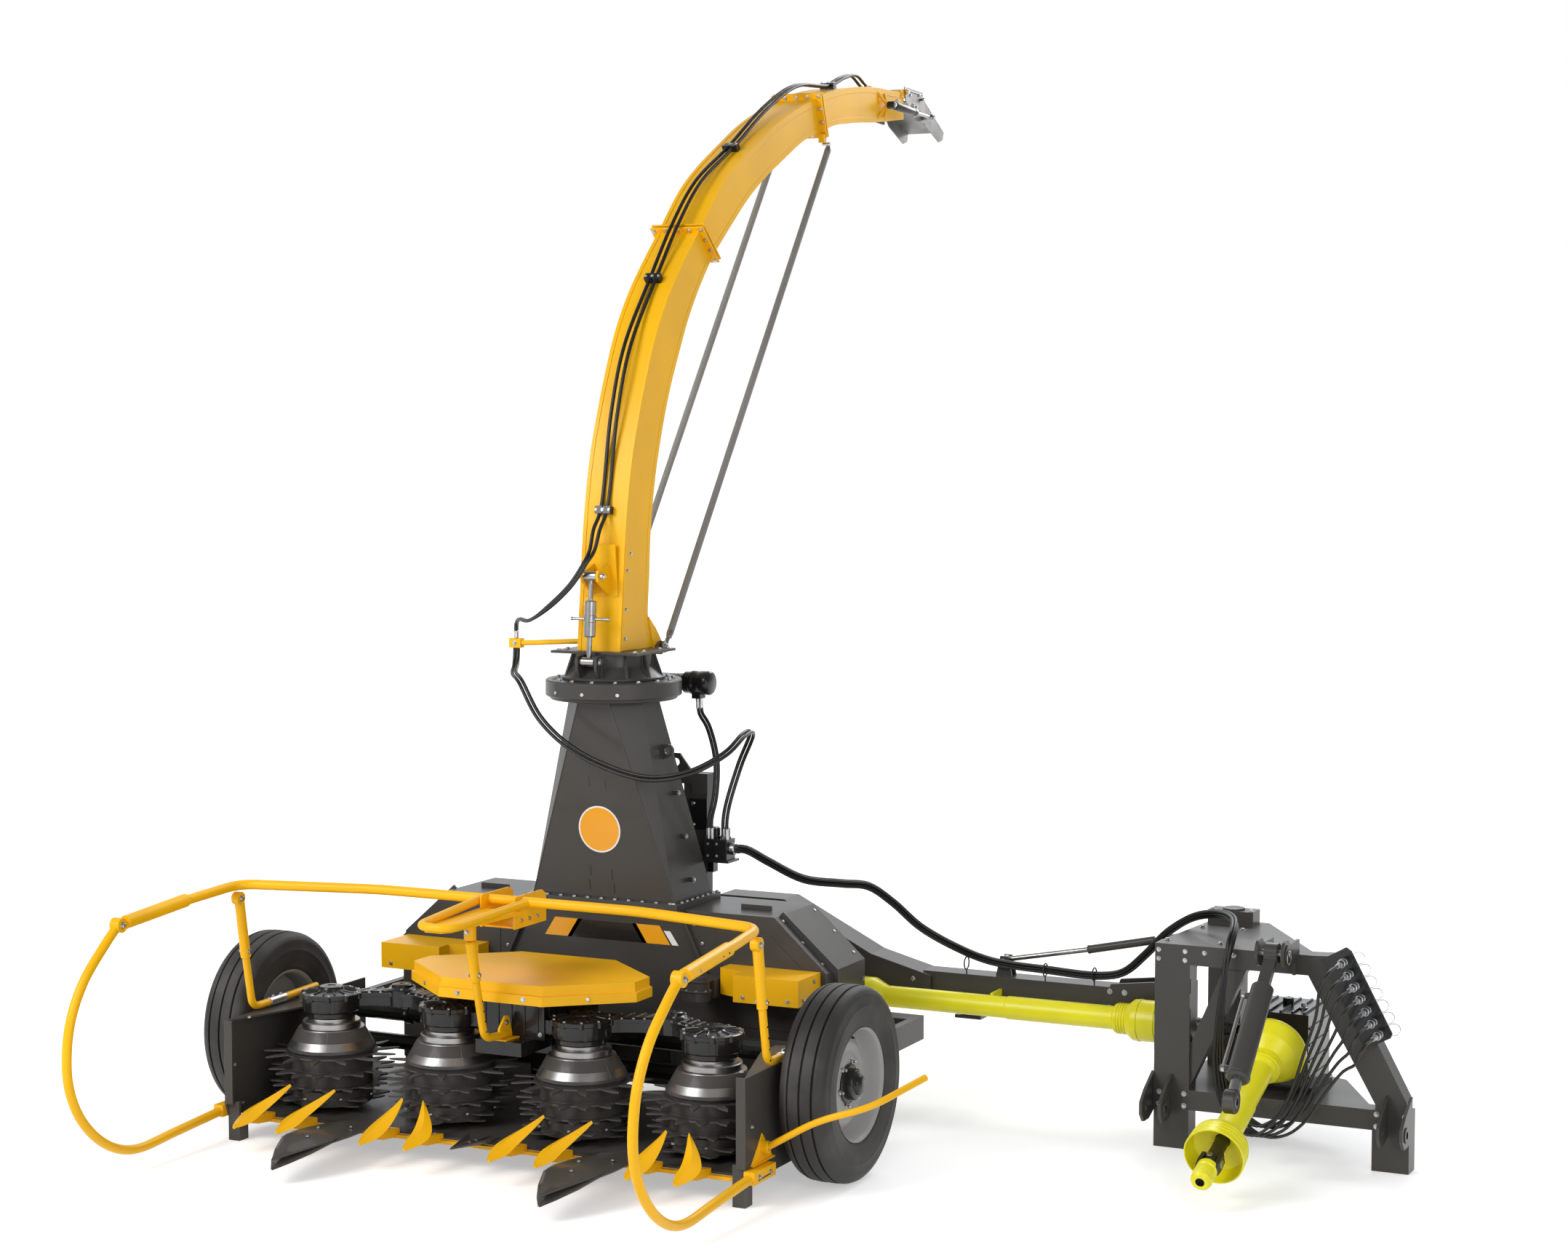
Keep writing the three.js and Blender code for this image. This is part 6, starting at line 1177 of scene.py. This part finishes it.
# Moulded polyethylene: waxy, lightly translucent, its colour even, with a pebbled skin.
def polyethylene(name, colour):
    material, tree = blank(name)
    place = add_node(tree, "ShaderNodeTexCoord").outputs["Object"]
    cloud = add_node(tree, "ShaderNodeTexNoise", {"Vector": place, "Scale": 6.0, "Detail": 4.0})
    milk = add_node(tree, "ShaderNodeMapRange", {0: cloud.outputs["Fac"], 1: 0.4, 2: 0.8, 3: 0.0, 4: 0.3})
    tone = add_node(tree, "ShaderNodeMix", {0: milk.outputs[0], 6: linear(colour), 7: linear("#C9C22C")},
                    data_type="RGBA")
    pebble = add_node(tree, "ShaderNodeTexVoronoi", {"Vector": place, "Scale": 450.0})
    skin = add_node(tree, "ShaderNodeBump", {"Height": pebble.outputs["Distance"], "Strength": 0.08,
                                             "Distance": 0.0005})
    surface = add_node(tree, "ShaderNodeBsdfPrincipled", {
        "Base Color": tone.outputs[2], "Roughness": 0.34, "IOR": 1.51, "Subsurface Weight": 0.06,
        "Subsurface Scale": 0.01, "Normal": skin.outputs[0]})
    add_node(tree, "ShaderNodeOutputMaterial", {"Surface": surface.outputs[0]})
    return material


# Forged steel, oiled, left bare.
forged_steel = bare_metal("forged_steel", "#5B5957", 0.5, (90.0, 90.0, 90.0))
# Lemon polyethylene.
lemon_polyethylene = polyethylene("lemon_polyethylene", "#F3EA1C")
casting = Casting()
a, b = (770, 1900, 430), (780, 1900, 430)
casting.turned([(36, 0), (74, 0), (76, 3), (76, 88), (72, 96), (50, 140), (46, 150), (46, 700), (49, 704),
                (49, 1178), (60, 1186), (62, 1192), (62, 1238), (66, 1244), (84, 1266), (86, 1272),
                (86, 1378), (84.5, 1380), (80, 1380), (80, 1275), (60, 1250), (36, 1235), (36, 0)], a, b,
               64, 0)
for h in (1196, 1208, 1220, 1232):
    casting.turned([(61, h), (65, h + 2), (65, h + 5), (61, h + 7)], a, b, 64, 0)
for h in (1290, 1366):
    casting.turned([(85.5, h), (88.5, h + 1), (88.5, h + 6), (85.5, h + 7)], a, b, 64, 0)
casting.block(1394, 1406, 1895, 1999.7, 460, 486, 0)
casting.piece("cross_shaft_cover", [lemon_polyethylene], "chassis", ["cross_shaft_guard"])
casting = Casting()
casting.tube([(640.3, 1900, 430), (2478.7, 1900, 430)], 27, 28, 0)
for x in (2176, 2290):
    casting.rod((x, 1900, 430), (x + 60, 1900, 430), 34, 28, 0)
for dy in (-36, 36):
    casting.block(2216, 2300, 1900 + dy - 8, 1900 + dy + 8, 404, 456, 0)
casting.rod((2262, 1848, 430), (2262, 1952, 430), 15, 20, 1)
casting.rod((2262, 1900, 396), (2262, 1900, 464), 15, 20, 1)
for k in range(3):
    casting.bolt((2240 + 16 * k, 1857, 430), (0, -1, 0), 6, 1)
casting.piece("cross_shaft_bar", [forged_steel, zinc_plate], "cross_shaft", ["cross_shaft"],
              bevel=1.2)

# ---------------------------------------------------------------- front shaft
# Power take-off shaft that hangs to the tractor: lemon guard cones over the joints, a ribbed collar at
# each, and a free yoke with its locking collar, bored and splined.
pivot = Vector((2720, 1540, 430))
run = Vector((0, -math.cos(0.325), -math.sin(0.325)))
up = Vector((0, -math.sin(0.325), math.cos(0.325)))
start = pivot - run * 30
casting = Casting()
casting.turned([(132, 0), (138, -1), (140, 2), (140, 18), (137, 24), (114, 68), (110, 74), (70, 108),
                (66, 114), (66, 158), (64, 164), (52, 174), (50, 180), (50, 420), (54, 424), (54, 628),
                (66, 642), (68, 648), (68, 682), (74, 690), (106, 706), (110, 712), (112.5, 740),
                (116, 792), (117, 797), (115, 800), (111, 799), (107, 745), (103, 716), (60, 690),
                (30, 684)], start, start + run, 72, 0)
casting.turned([(132, 0), (131, 10), (104, 64), (42, 100), (30, 100)], start, start + run, 64, 0)
casting.turned([(30, 100), (30, 684)], start, start + run, 24, 0)
for h in (118, 128, 138, 148, 652, 662, 672):
    casting.turned([(65, h), (70, h + 1.5), (70, h + 4.5), (65, h + 6)], start, start + run, 64, 0)
for h in (726, 746, 766):
    r = 111.5 + (h - 726) * 0.07
    casting.turned([(r - 0.5, h), (r + 1.6, h + 1), (r + 1.6, h + 4), (r - 0.5, h + 5)], start,
                   start + run, 64, 0)
casting.piece("front_shaft_cover", [lemon_polyethylene], "pto_guard", ["pto_guard"])
casting = Casting()
casting.tube([pivot, pivot + run * 830], 26.8, 24, 0)
casting.turned([(0, -30), (16, -25), (26, -15), (30, 0), (26, 15), (16, 25), (0, 30)], pivot, pivot + run,
               32, 1)
hub = pivot + run * 850
side = Vector((1, 0, 0))
for k in (-1, 1):
    base = [hub + side * (k * x) + run * s + up * w for x in (26, 42)
            for s, w in ((-80, -20), (-20, -25), (12, -18), (12, 18), (-20, 25), (-80, 20))]
    edges = [(i, (i + 1) % 6, 6 + (i + 1) % 6, 6 + i) for i in range(6)]
    casting.add(base, [(0, 1, 2, 3, 4, 5), (11, 10, 9, 8, 7, 6)] + edges, 0)
    casting.rod(hub + side * (k * 38) - run * 40, hub + side * (k * 46) - run * 40, 17, 24, 1)
casting.rod(hub - run * 40 - side * 40, hub - run * 40 + side * 40, 12, 20, 1)
casting.rod(hub - run * 40 - up * 40, hub - run * 40 + up * 40, 12, 20, 1)
casting.turned([(17.6, 95), (30, 96), (34, 92), (36, 88), (40, 84), (41, 60), (41, 40), (36, 36),
                (36, 20), (41, 14), (41, -6), (0, -6)], hub, hub + run, 48, 2)
spline = []
for k in range(24):
    r = 17.8 if (k // 2) % 2 else 21
    t = 2 * math.pi * (k + 0.5) / 24
    spline.append((r, t))
points = [hub + run * h + side * (r * math.cos(t)) + up * (r * math.sin(t)) for h in (95, 26)
          for r, t in spline]
casting.add(points, [(i, (i + 1) % 24, 24 + (i + 1) % 24, 24 + i) for i in range(24)]
            + [tuple(24 + i for i in range(24))], 1)
for k in range(8):
    t = math.radians(45 * k)
    casting.rod(hub + run * 62 + (side * math.cos(t) + up * math.sin(t)) * 38,
                hub + run * 62 + (side * math.cos(t) + up * math.sin(t)) * 43.5, 5, 10, 2)
casting.piece("front_shaft_yokes", [forged_steel, ground_steel, lemon_polyethylene], "pto_shaft",
              ["pto_shaft"], bevel=1.0)

# ---------------------------------------------------------------- top link
# Hydraulic top link cylinder hanging from the frame: satin dark tube with plated unions, bright rod and a
# forged eye.
pin = Vector((2760, 1415, 852))
down = Vector((0, -math.sin(0.84), -math.cos(0.84)))
ahead = Vector((0, -math.cos(0.84), math.sin(0.84)))
casting = Casting()
casting.turned([(0, 168), (40, 170), (44, 174), (44, 584), (47, 587), (47, 598), (44, 601), (38, 606),
                (22.5, 606)], pin, pin + down, 48, 0)
casting.rod(pin - side * 26, pin + side * 26, 40, 36, 0)
quad = [pin + side * x + down * s + ahead * w for s in (24, 171)
        for x, w in ((-24, -14), (24, -14), (24, 14), (-24, 14))]
casting.hexahedron(quad, 0)
for s in (215, 560):
    casting.rod(pin + down * s - side * 38, pin + down * s - side * 78, 13, 24, 0)
    casting.rod(pin + down * s - side * 58, pin + down * s - side * 72, 15.5, 6, 1)
casting.tube([pin + down * 215 - side * 66, pin + down * 560 - side * 66], 7, 14, 1)
casting.rod(pin - side * 68, pin + side * 72, 12.4, 24, 1)
casting.rod(pin - side * 68.3, pin - side * 60, 19, 24, 1)
casting.tube([pin + side * 66 + Vector((0, math.cos(t) * 26, math.sin(t) * 26 - 14))
              for t in [k * math.pi / 8 for k in range(17)]], 2.2, 8, 1)
casting.piece("top_link_cylinder", [graphite_enamel, zinc_plate], "top_link",
              ["top_link_barrel"], bevel=1.0)
casting = Casting()
casting.rod(pin + down * 590, pin + down * 676, 22, 32, 0)
eye = pin + down * 706
casting.turned([(13, -24), (42, -24), (46, -20), (46, 20), (42, 24), (13, 24), (13, -24)], eye,
               eye + side, 48, 1)
casting.turned([(13, -25), (24, -25), (24, -22)], eye, eye + side, 32, 0)
casting.turned([(24, 22), (24, 25), (13, 25)], eye, eye + side, 32, 0)
casting.piece("top_link_ram", [ground_steel, forged_steel], "top_link", ["top_link_rod"],
              bevel=0.8)

# ---------------------------------------------------------------- headstock
# Three-point frame of welded box tube in graphite enamel. Plated bolts, hitch pins' bosses, weld seams,
# stop collars and the swivel post's bearing.
casting = Casting()
for x, s in ((2224, -1), (2312, 1), (3177, -1), (3280, 1)):
    casting.turned([(15, 0), (30, 0), (30, 5), (15, 5)], (x, 1462, 178), (x + s, 1462, 178), 32, 0)
for x in (2256, 2360, 3140, 3252):
    for z in (176, 224):
        casting.bolt((x, 1560.5, z), (0, -1, 0), 9, 1)
for x, z in ((2250, 800), (2360, 800), (2440, 800), (2560, 800), (2680, 800), (2250, 764), (2360, 764)):
    casting.bolt((x, 1559.8, z), (0, -1, 0), 8, 1)
for x in (2234.6, 2381.4):
    for z in (300, 420, 540, 660):
        casting.tube([(x, 1566, z - 30), (x, 1566, z + 30)], 2.4, 6, 0)
for x, y in ((2260, 1640), (2480, 1640), (2700, 1640), (2300, 1980), (2470, 1980), (2300, 2150),
             (2460, 2150)):
    casting.bolt((x, y, 826), (0, 0, 1), 10, 1)
for x in (2300, 2466):
    casting.bolt((x, 2110, 882), (0, 0, 1), 9, 1)
casting.turned([(0, 0), (46, 0), (46, 8), (30, 12), (0, 12)], (2383, 2140, 881), (2383, 2140, 882), 40, 0)
for s, x in ((-1, 2702), (1, 2818)):
    casting.turned([(13.6, 0), (34, 0), (34, 5), (13.6, 5)], (x, 1415, 852), (x + s, 1415, 852), 36, 0)
casting.piece("headstock_trim", [graphite_enamel, zinc_plate], "chassis", bevel=0.6)

# ---------------------------------------------------------------- gearboxes
# Cast angle gearbox behind the frame and the output box at the rear pack: gloss black, ribbed, with ring
# bolts, breather and plugs. The centre gearbox under the shield has ribs and two dark shaft tubes.
casting = Casting()
for k in range(4):
    z = 300 + 66 * k
    casting.block(2586, 2590, 1704, 1996, z, z + 9, 0)
    casting.block(2830, 2834, 1704, 1996, z, z + 9, 0)
for k in range(5):
    x = 2612 + 48 * k
    casting.block(x, x + 9, 1686, 1690, 280, 340, 0)
    casting.block(x, x + 9, 1700, 1996, 560, 568, 0)
for k in range(8):
    t = math.radians(45 * k + 22)
    casting.bolt((2720 + 76 * math.cos(t), 1664.4, 430 + 76 * math.sin(t)), (0, -1, 0), 8, 1)
    casting.bolt((2560.6, 1900 + 74 * math.cos(t), 430 + 74 * math.sin(t)), (-1, 0, 0), 8, 1)
casting.turned([(0, 0), (16, 0), (16, 8), (11, 10), (11, 22), (6, 26), (0, 26)], (2780, 1800, 560),
               (2780, 1800, 561), 24, 1)
for y in (1700, 1760, 1820, 1960):
    casting.bolt((560.4, y + 8 if y > 1790 else 1812, 500), (1, 0, 0), 8, 1)
for k in range(6):
    t = math.radians(60 * k + 15)
    casting.bolt((560.4, 1900 + 66 * math.cos(t), 430 + 66 * math.sin(t)), (1, 0, 0), 7, 1)
for y in (1660, 1720, 1780):
    casting.block(340, 412, y, y + 8, 520, 526, 0)
for x in (-120, -60, 0, 60, 120):
    casting.block(x - 4, x + 4, 286, 290, 490, 632, 0)
for x in (-130, 130):
    for z in (500, 620):
        casting.bolt((x, 290, z), (0, -1, 0), 8, 1)
for y in (330, 400, 470, 540, 610, 690):
    for s in (-1, 1):
        casting.bolt((s * 138, y, 640), (0, 0, 1), 7, 1)
        casting.block(min(s * 150, s * 154), max(s * 150, s * 154), y - 4, y + 4, 490, 634, 0)
for s in (-1, 1):
    for x in (400, 720, 1040):
        casting.turned([(44, 0), (50, 1), (50, 25), (44, 26)], (s * x, 690, 440), (s * x + s, 690, 440),
                       40, 0)
        casting.bolt((s * x + s * 13, 642, 440), (0, -1, 0), 7, 1)
casting.piece("gearbox_trim", [black_enamel_and_hole_shade, zinc_plate], "chassis", bevel=0.8)

# ---------------------------------------------------------------- feed gear covers
# Two stacked oval covers of dark cast iron beside the housing front, over the feed rolls' end drive, with
# plated bolts round their joint.


def oval(cx, cy, hx, hy, count=40):
    return [(cx + hx * math.copysign(abs(math.cos(t)) ** 0.8, math.cos(t)),
             cy + hy * math.copysign(abs(math.sin(t)) ** 0.8, math.sin(t)))
            for t in [2 * math.pi * k / count for k in range(count)]]


casting = Casting()
for low, high, grow in ((560, 598, 0), (598, 603, 5), (603, 640, -4), (640, 645, 2), (645, 662, -10)):
    casting.slab(oval(505, 900, 62 + grow, 44 + grow), low, high, "xy", 0)
casting.slab(oval(505, 900, 30, 22), 662, 668, "xy", 0)
for k in range(8):
    t = math.radians(45 * k + 20)
    casting.bolt((505 + 58 * math.cos(t), 900 + 40 * math.sin(t), 603), (0, 0, 1), 5, 1)
casting.block(440, 570, 940, 1061.6, 566, 640, 0)
casting.piece("feed_gear_cover", [graphite_enamel, zinc_plate], "chassis", bevel=1.4)

# ---------------------------------------------------------------- couplers
# Seven quick couplers in the holder: turned and plated sleeves with moulded black dust caps, each cap kept
# on a plated ring.
casting = Casting()
for n, (x, z) in enumerate(couplers):
    casting.rod((x, 1478, z), (x, 1500, z), 12, 24, 1)
    casting.turned([(12, 0), (17, 1), (17, 24), (14, 26), (14, 34), (16.5, 36), (16.5, 50)], (x, 1500, z),
                   (x, 1501, z), 28, 1)
    casting.rod((x, 1456, z), (x, 1482, z), 9.2, 16, 1)
    casting.rod((x, 1440, z), (x, 1458, z), 10.4, 6, 1)
    casting.rod((x, 1590, z), (x, 1612, z), 19, 28, 0)
    loop = [Vector((x + 14 + 26 * (1 - math.cos(t)), 1608 + 10 * math.sin(t), z + 8 + 22 * math.sin(t)))
            for t in [k * math.pi / 7 for k in range(15)]]
    casting.tube(loop, 1.6, 6, 1)
casting.piece("coupler_sleeves", [black_enamel_and_hole_shade, zinc_plate], "chassis", bevel=0.4)

# ---------------------------------------------------------------- drawbar
# Welded box beam in graphite enamel; its telescoping steadying bar is plated tube in a grey sleeve, with
# clevis pins. Hose clips hold the bundle over the beam.
casting = Casting()
a, b = Vector((1400, 2056, 604)), Vector((1775, 2054, 677))
c, d = Vector((2070, 2052, 741)), Vector((2281, 2090, 790))
casting.rod((1400, 2037.3, 604), (1400, 2074.7, 604), 17, 28, 1)
casting.tube([a, b], 11, 20, 1)
casting.turned([(0, 0), (17, 0), (18.6, 2), (18.6, 8), (17.6, 10)], b, c, 28, 0)
casting.tube([b, c], 17.6, 28, 0)
casting.tube([c, d], 12, 20, 1)
casting.block(2262, 2299.7, 2070, 2110, 768, 817.7, 0)
casting.rod((1400, 2024, 604), (1400, 2088, 604), 8, 20, 1)
casting.piece("steadying_bar", [graphite_enamel, ground_steel], "chassis",
              ["drawbar_stay"], bevel=0.8)
casting = Casting()
for x in (1895, 1960, 2120, 2200):
    for z in (452, 520):
        casting.bolt((x, 1988, z), (0, -1, 0), 10, 0)
for x, z in ((110, 470), (110, 740), (330, 740), (520, 690), (700, 600), (1000, 500)):
    casting.bolt((x, 1980, z), (0, -1, 0), 9, 0)
for x in (1240, 1600, 1820):
    ring = [Vector((x, 2005 + 27 * math.cos(t), 584 + 27 * math.sin(t)))
            for t in [k * math.pi / 10 for k in range(21)]]
    casting.tube(ring, 3.2, 8, 1)
    casting.tube([(x, 2005, 557), (x, 2006, 536)], 3.2, 8, 1)
for z in (300, 440):
    casting.bolt((2234.6, 1606, z), (-1, 0, 0), 9, 0)
casting.piece("drawbar_trim", [zinc_plate, hose_rubber], "chassis", bevel=0.5)

# ---------------------------------------------------------------- coats
# Every CAD node wears the coat of its own slot: enamel on the welded frames, castings and sheet, bare or
# plated steel on rods and pins, rubber and polyethylene on the rest.
coats = {
    "yellow_paint": yellow_enamel, "graphite_paint": graphite_enamel, "black_paint": black_enamel_and_hole_shade,
    "lemon_plastic": lemon_polyethylene, "deflector_steel": worn_sheet, "bright_steel": zinc_plate,
    "stay_steel": stay_enamel, "pto_steel": forged_steel, "rim_paint": rim_enamel, "tyre_rubber": tyre_rubber,
    "hose_rubber": hose_rubber,
}
for row in frame["record"]["subparts"]:
    data = frame["nodes"][row["node"]].data
    data.materials.clear()
    data.materials.append(coats[row["material_slot"]])

# ---------------------------------------------------------------- room
# A pale seamless floor, a large soft key from the upper left front, a fill from the right and a rim from
# behind. The air is white to the camera, and brighter far behind the machine for what mirrors it.
floor_mesh = bpy.data.meshes.new("floor")
floor_mesh.from_pydata([(-400, -400, 0), (400, -400, 0), (400, 400, 0), (-400, 400, 0)], [], [(0, 1, 2, 3)])
floor = bpy.data.objects.new("floor", floor_mesh)
scene.collection.objects.link(floor)
floor_paint, floor_tree = blank("seamless_floor")
seen = add_node(floor_tree, "ShaderNodeLightPath")
mirrored = add_node(floor_tree, "ShaderNodeMath",
                    {0: seen.outputs["Is Camera Ray"], 1: seen.outputs["Is Glossy Ray"]},
                    operation="MAXIMUM")
through = add_node(floor_tree, "ShaderNodeMath",
                   {0: mirrored.outputs[0], 1: seen.outputs["Is Transmission Ray"]}, operation="MAXIMUM")
matt = add_node(floor_tree, "ShaderNodeBsdfDiffuse", {"Color": linear("#F2F2F2")})
spot = add_node(floor_tree, "ShaderNodeNewGeometry")
reach = add_node(floor_tree, "ShaderNodeVectorMath", {0: spot.outputs["Position"]}, operation="LENGTH")
fade = add_node(floor_tree, "ShaderNodeMapRange",
                {0: reach.outputs["Value"], 1: 3.0, 2: 11.0, 3: 0.42, 4: 0.8})
lift = add_node(floor_tree, "ShaderNodeEmission", {"Color": (1, 1, 1, 1), "Strength": fade.outputs[0]})
both = add_node(floor_tree, "ShaderNodeAddShader", {0: matt.outputs[0], 1: lift.outputs[0]})
chosen = add_node(floor_tree, "ShaderNodeMixShader",
                  {0: through.outputs[0], 1: matt.outputs[0], 2: both.outputs[0]})
add_node(floor_tree, "ShaderNodeOutputMaterial", {"Surface": chosen.outputs[0]})
floor_mesh.materials.append(floor_paint)

world = bpy.data.worlds.new("studio")
world.use_nodes = True
scene.world = world
sky = world.node_tree
sky.nodes.clear()
path_kind = add_node(sky, "ShaderNodeLightPath")
seen_sky = add_node(sky, "ShaderNodeMath",
                    {0: path_kind.outputs["Is Camera Ray"], 1: path_kind.outputs["Is Transmission Ray"]},
                    operation="MAXIMUM")
toward = add_node(sky, "ShaderNodeTexCoord")
behind = add_node(sky, "ShaderNodeVectorMath", {0: toward.outputs["Generated"], 1: (-0.43, 0.9, 0.0)},
                  operation="DOT_PRODUCT")
sheen = add_node(sky, "ShaderNodeMapRange", {0: behind.outputs["Value"], 1: 0.3, 2: 1.0, 3: 0.28, 4: 1.3})
glint = add_node(sky, "ShaderNodeMapRange",
                 {0: path_kind.outputs["Is Glossy Ray"], 3: 0.52, 4: sheen.outputs[0]})
soft = add_node(sky, "ShaderNodeBackground", {"Color": linear("#F4F6F9"), "Strength": glint.outputs[0]})
paper = add_node(sky, "ShaderNodeBackground", {"Color": (1, 1, 1, 1), "Strength": 1.0})
air = add_node(sky, "ShaderNodeMixShader", {0: seen_sky.outputs[0], 1: soft.outputs[0], 2: paper.outputs[0]})
add_node(sky, "ShaderNodeOutputWorld", {"Surface": air.outputs[0]})


def lamp(name, place, aim, size, power):
    data = bpy.data.lights.new(name, "AREA")
    data.shape = "RECTANGLE"
    data.size, data.size_y = size
    data.energy = power
    thing = bpy.data.objects.new(name, data)
    scene.collection.objects.link(thing)
    thing.location = at(place)
    thing.rotation_euler = (at(aim) - at(place)).to_track_quat("-Z", "Y").to_euler()


lamp("key", (-3500, -6500, 6500), (500, 800, 900), (4.5, 4.5), 520)
lamp("fill", (7500, -5000, 3500), (1000, 1000, 1000), (4.0, 4.0), 170)
lamp("rim", (1000, 8000, 6500), (600, 1000, 1500), (5.0, 3.0), 300)
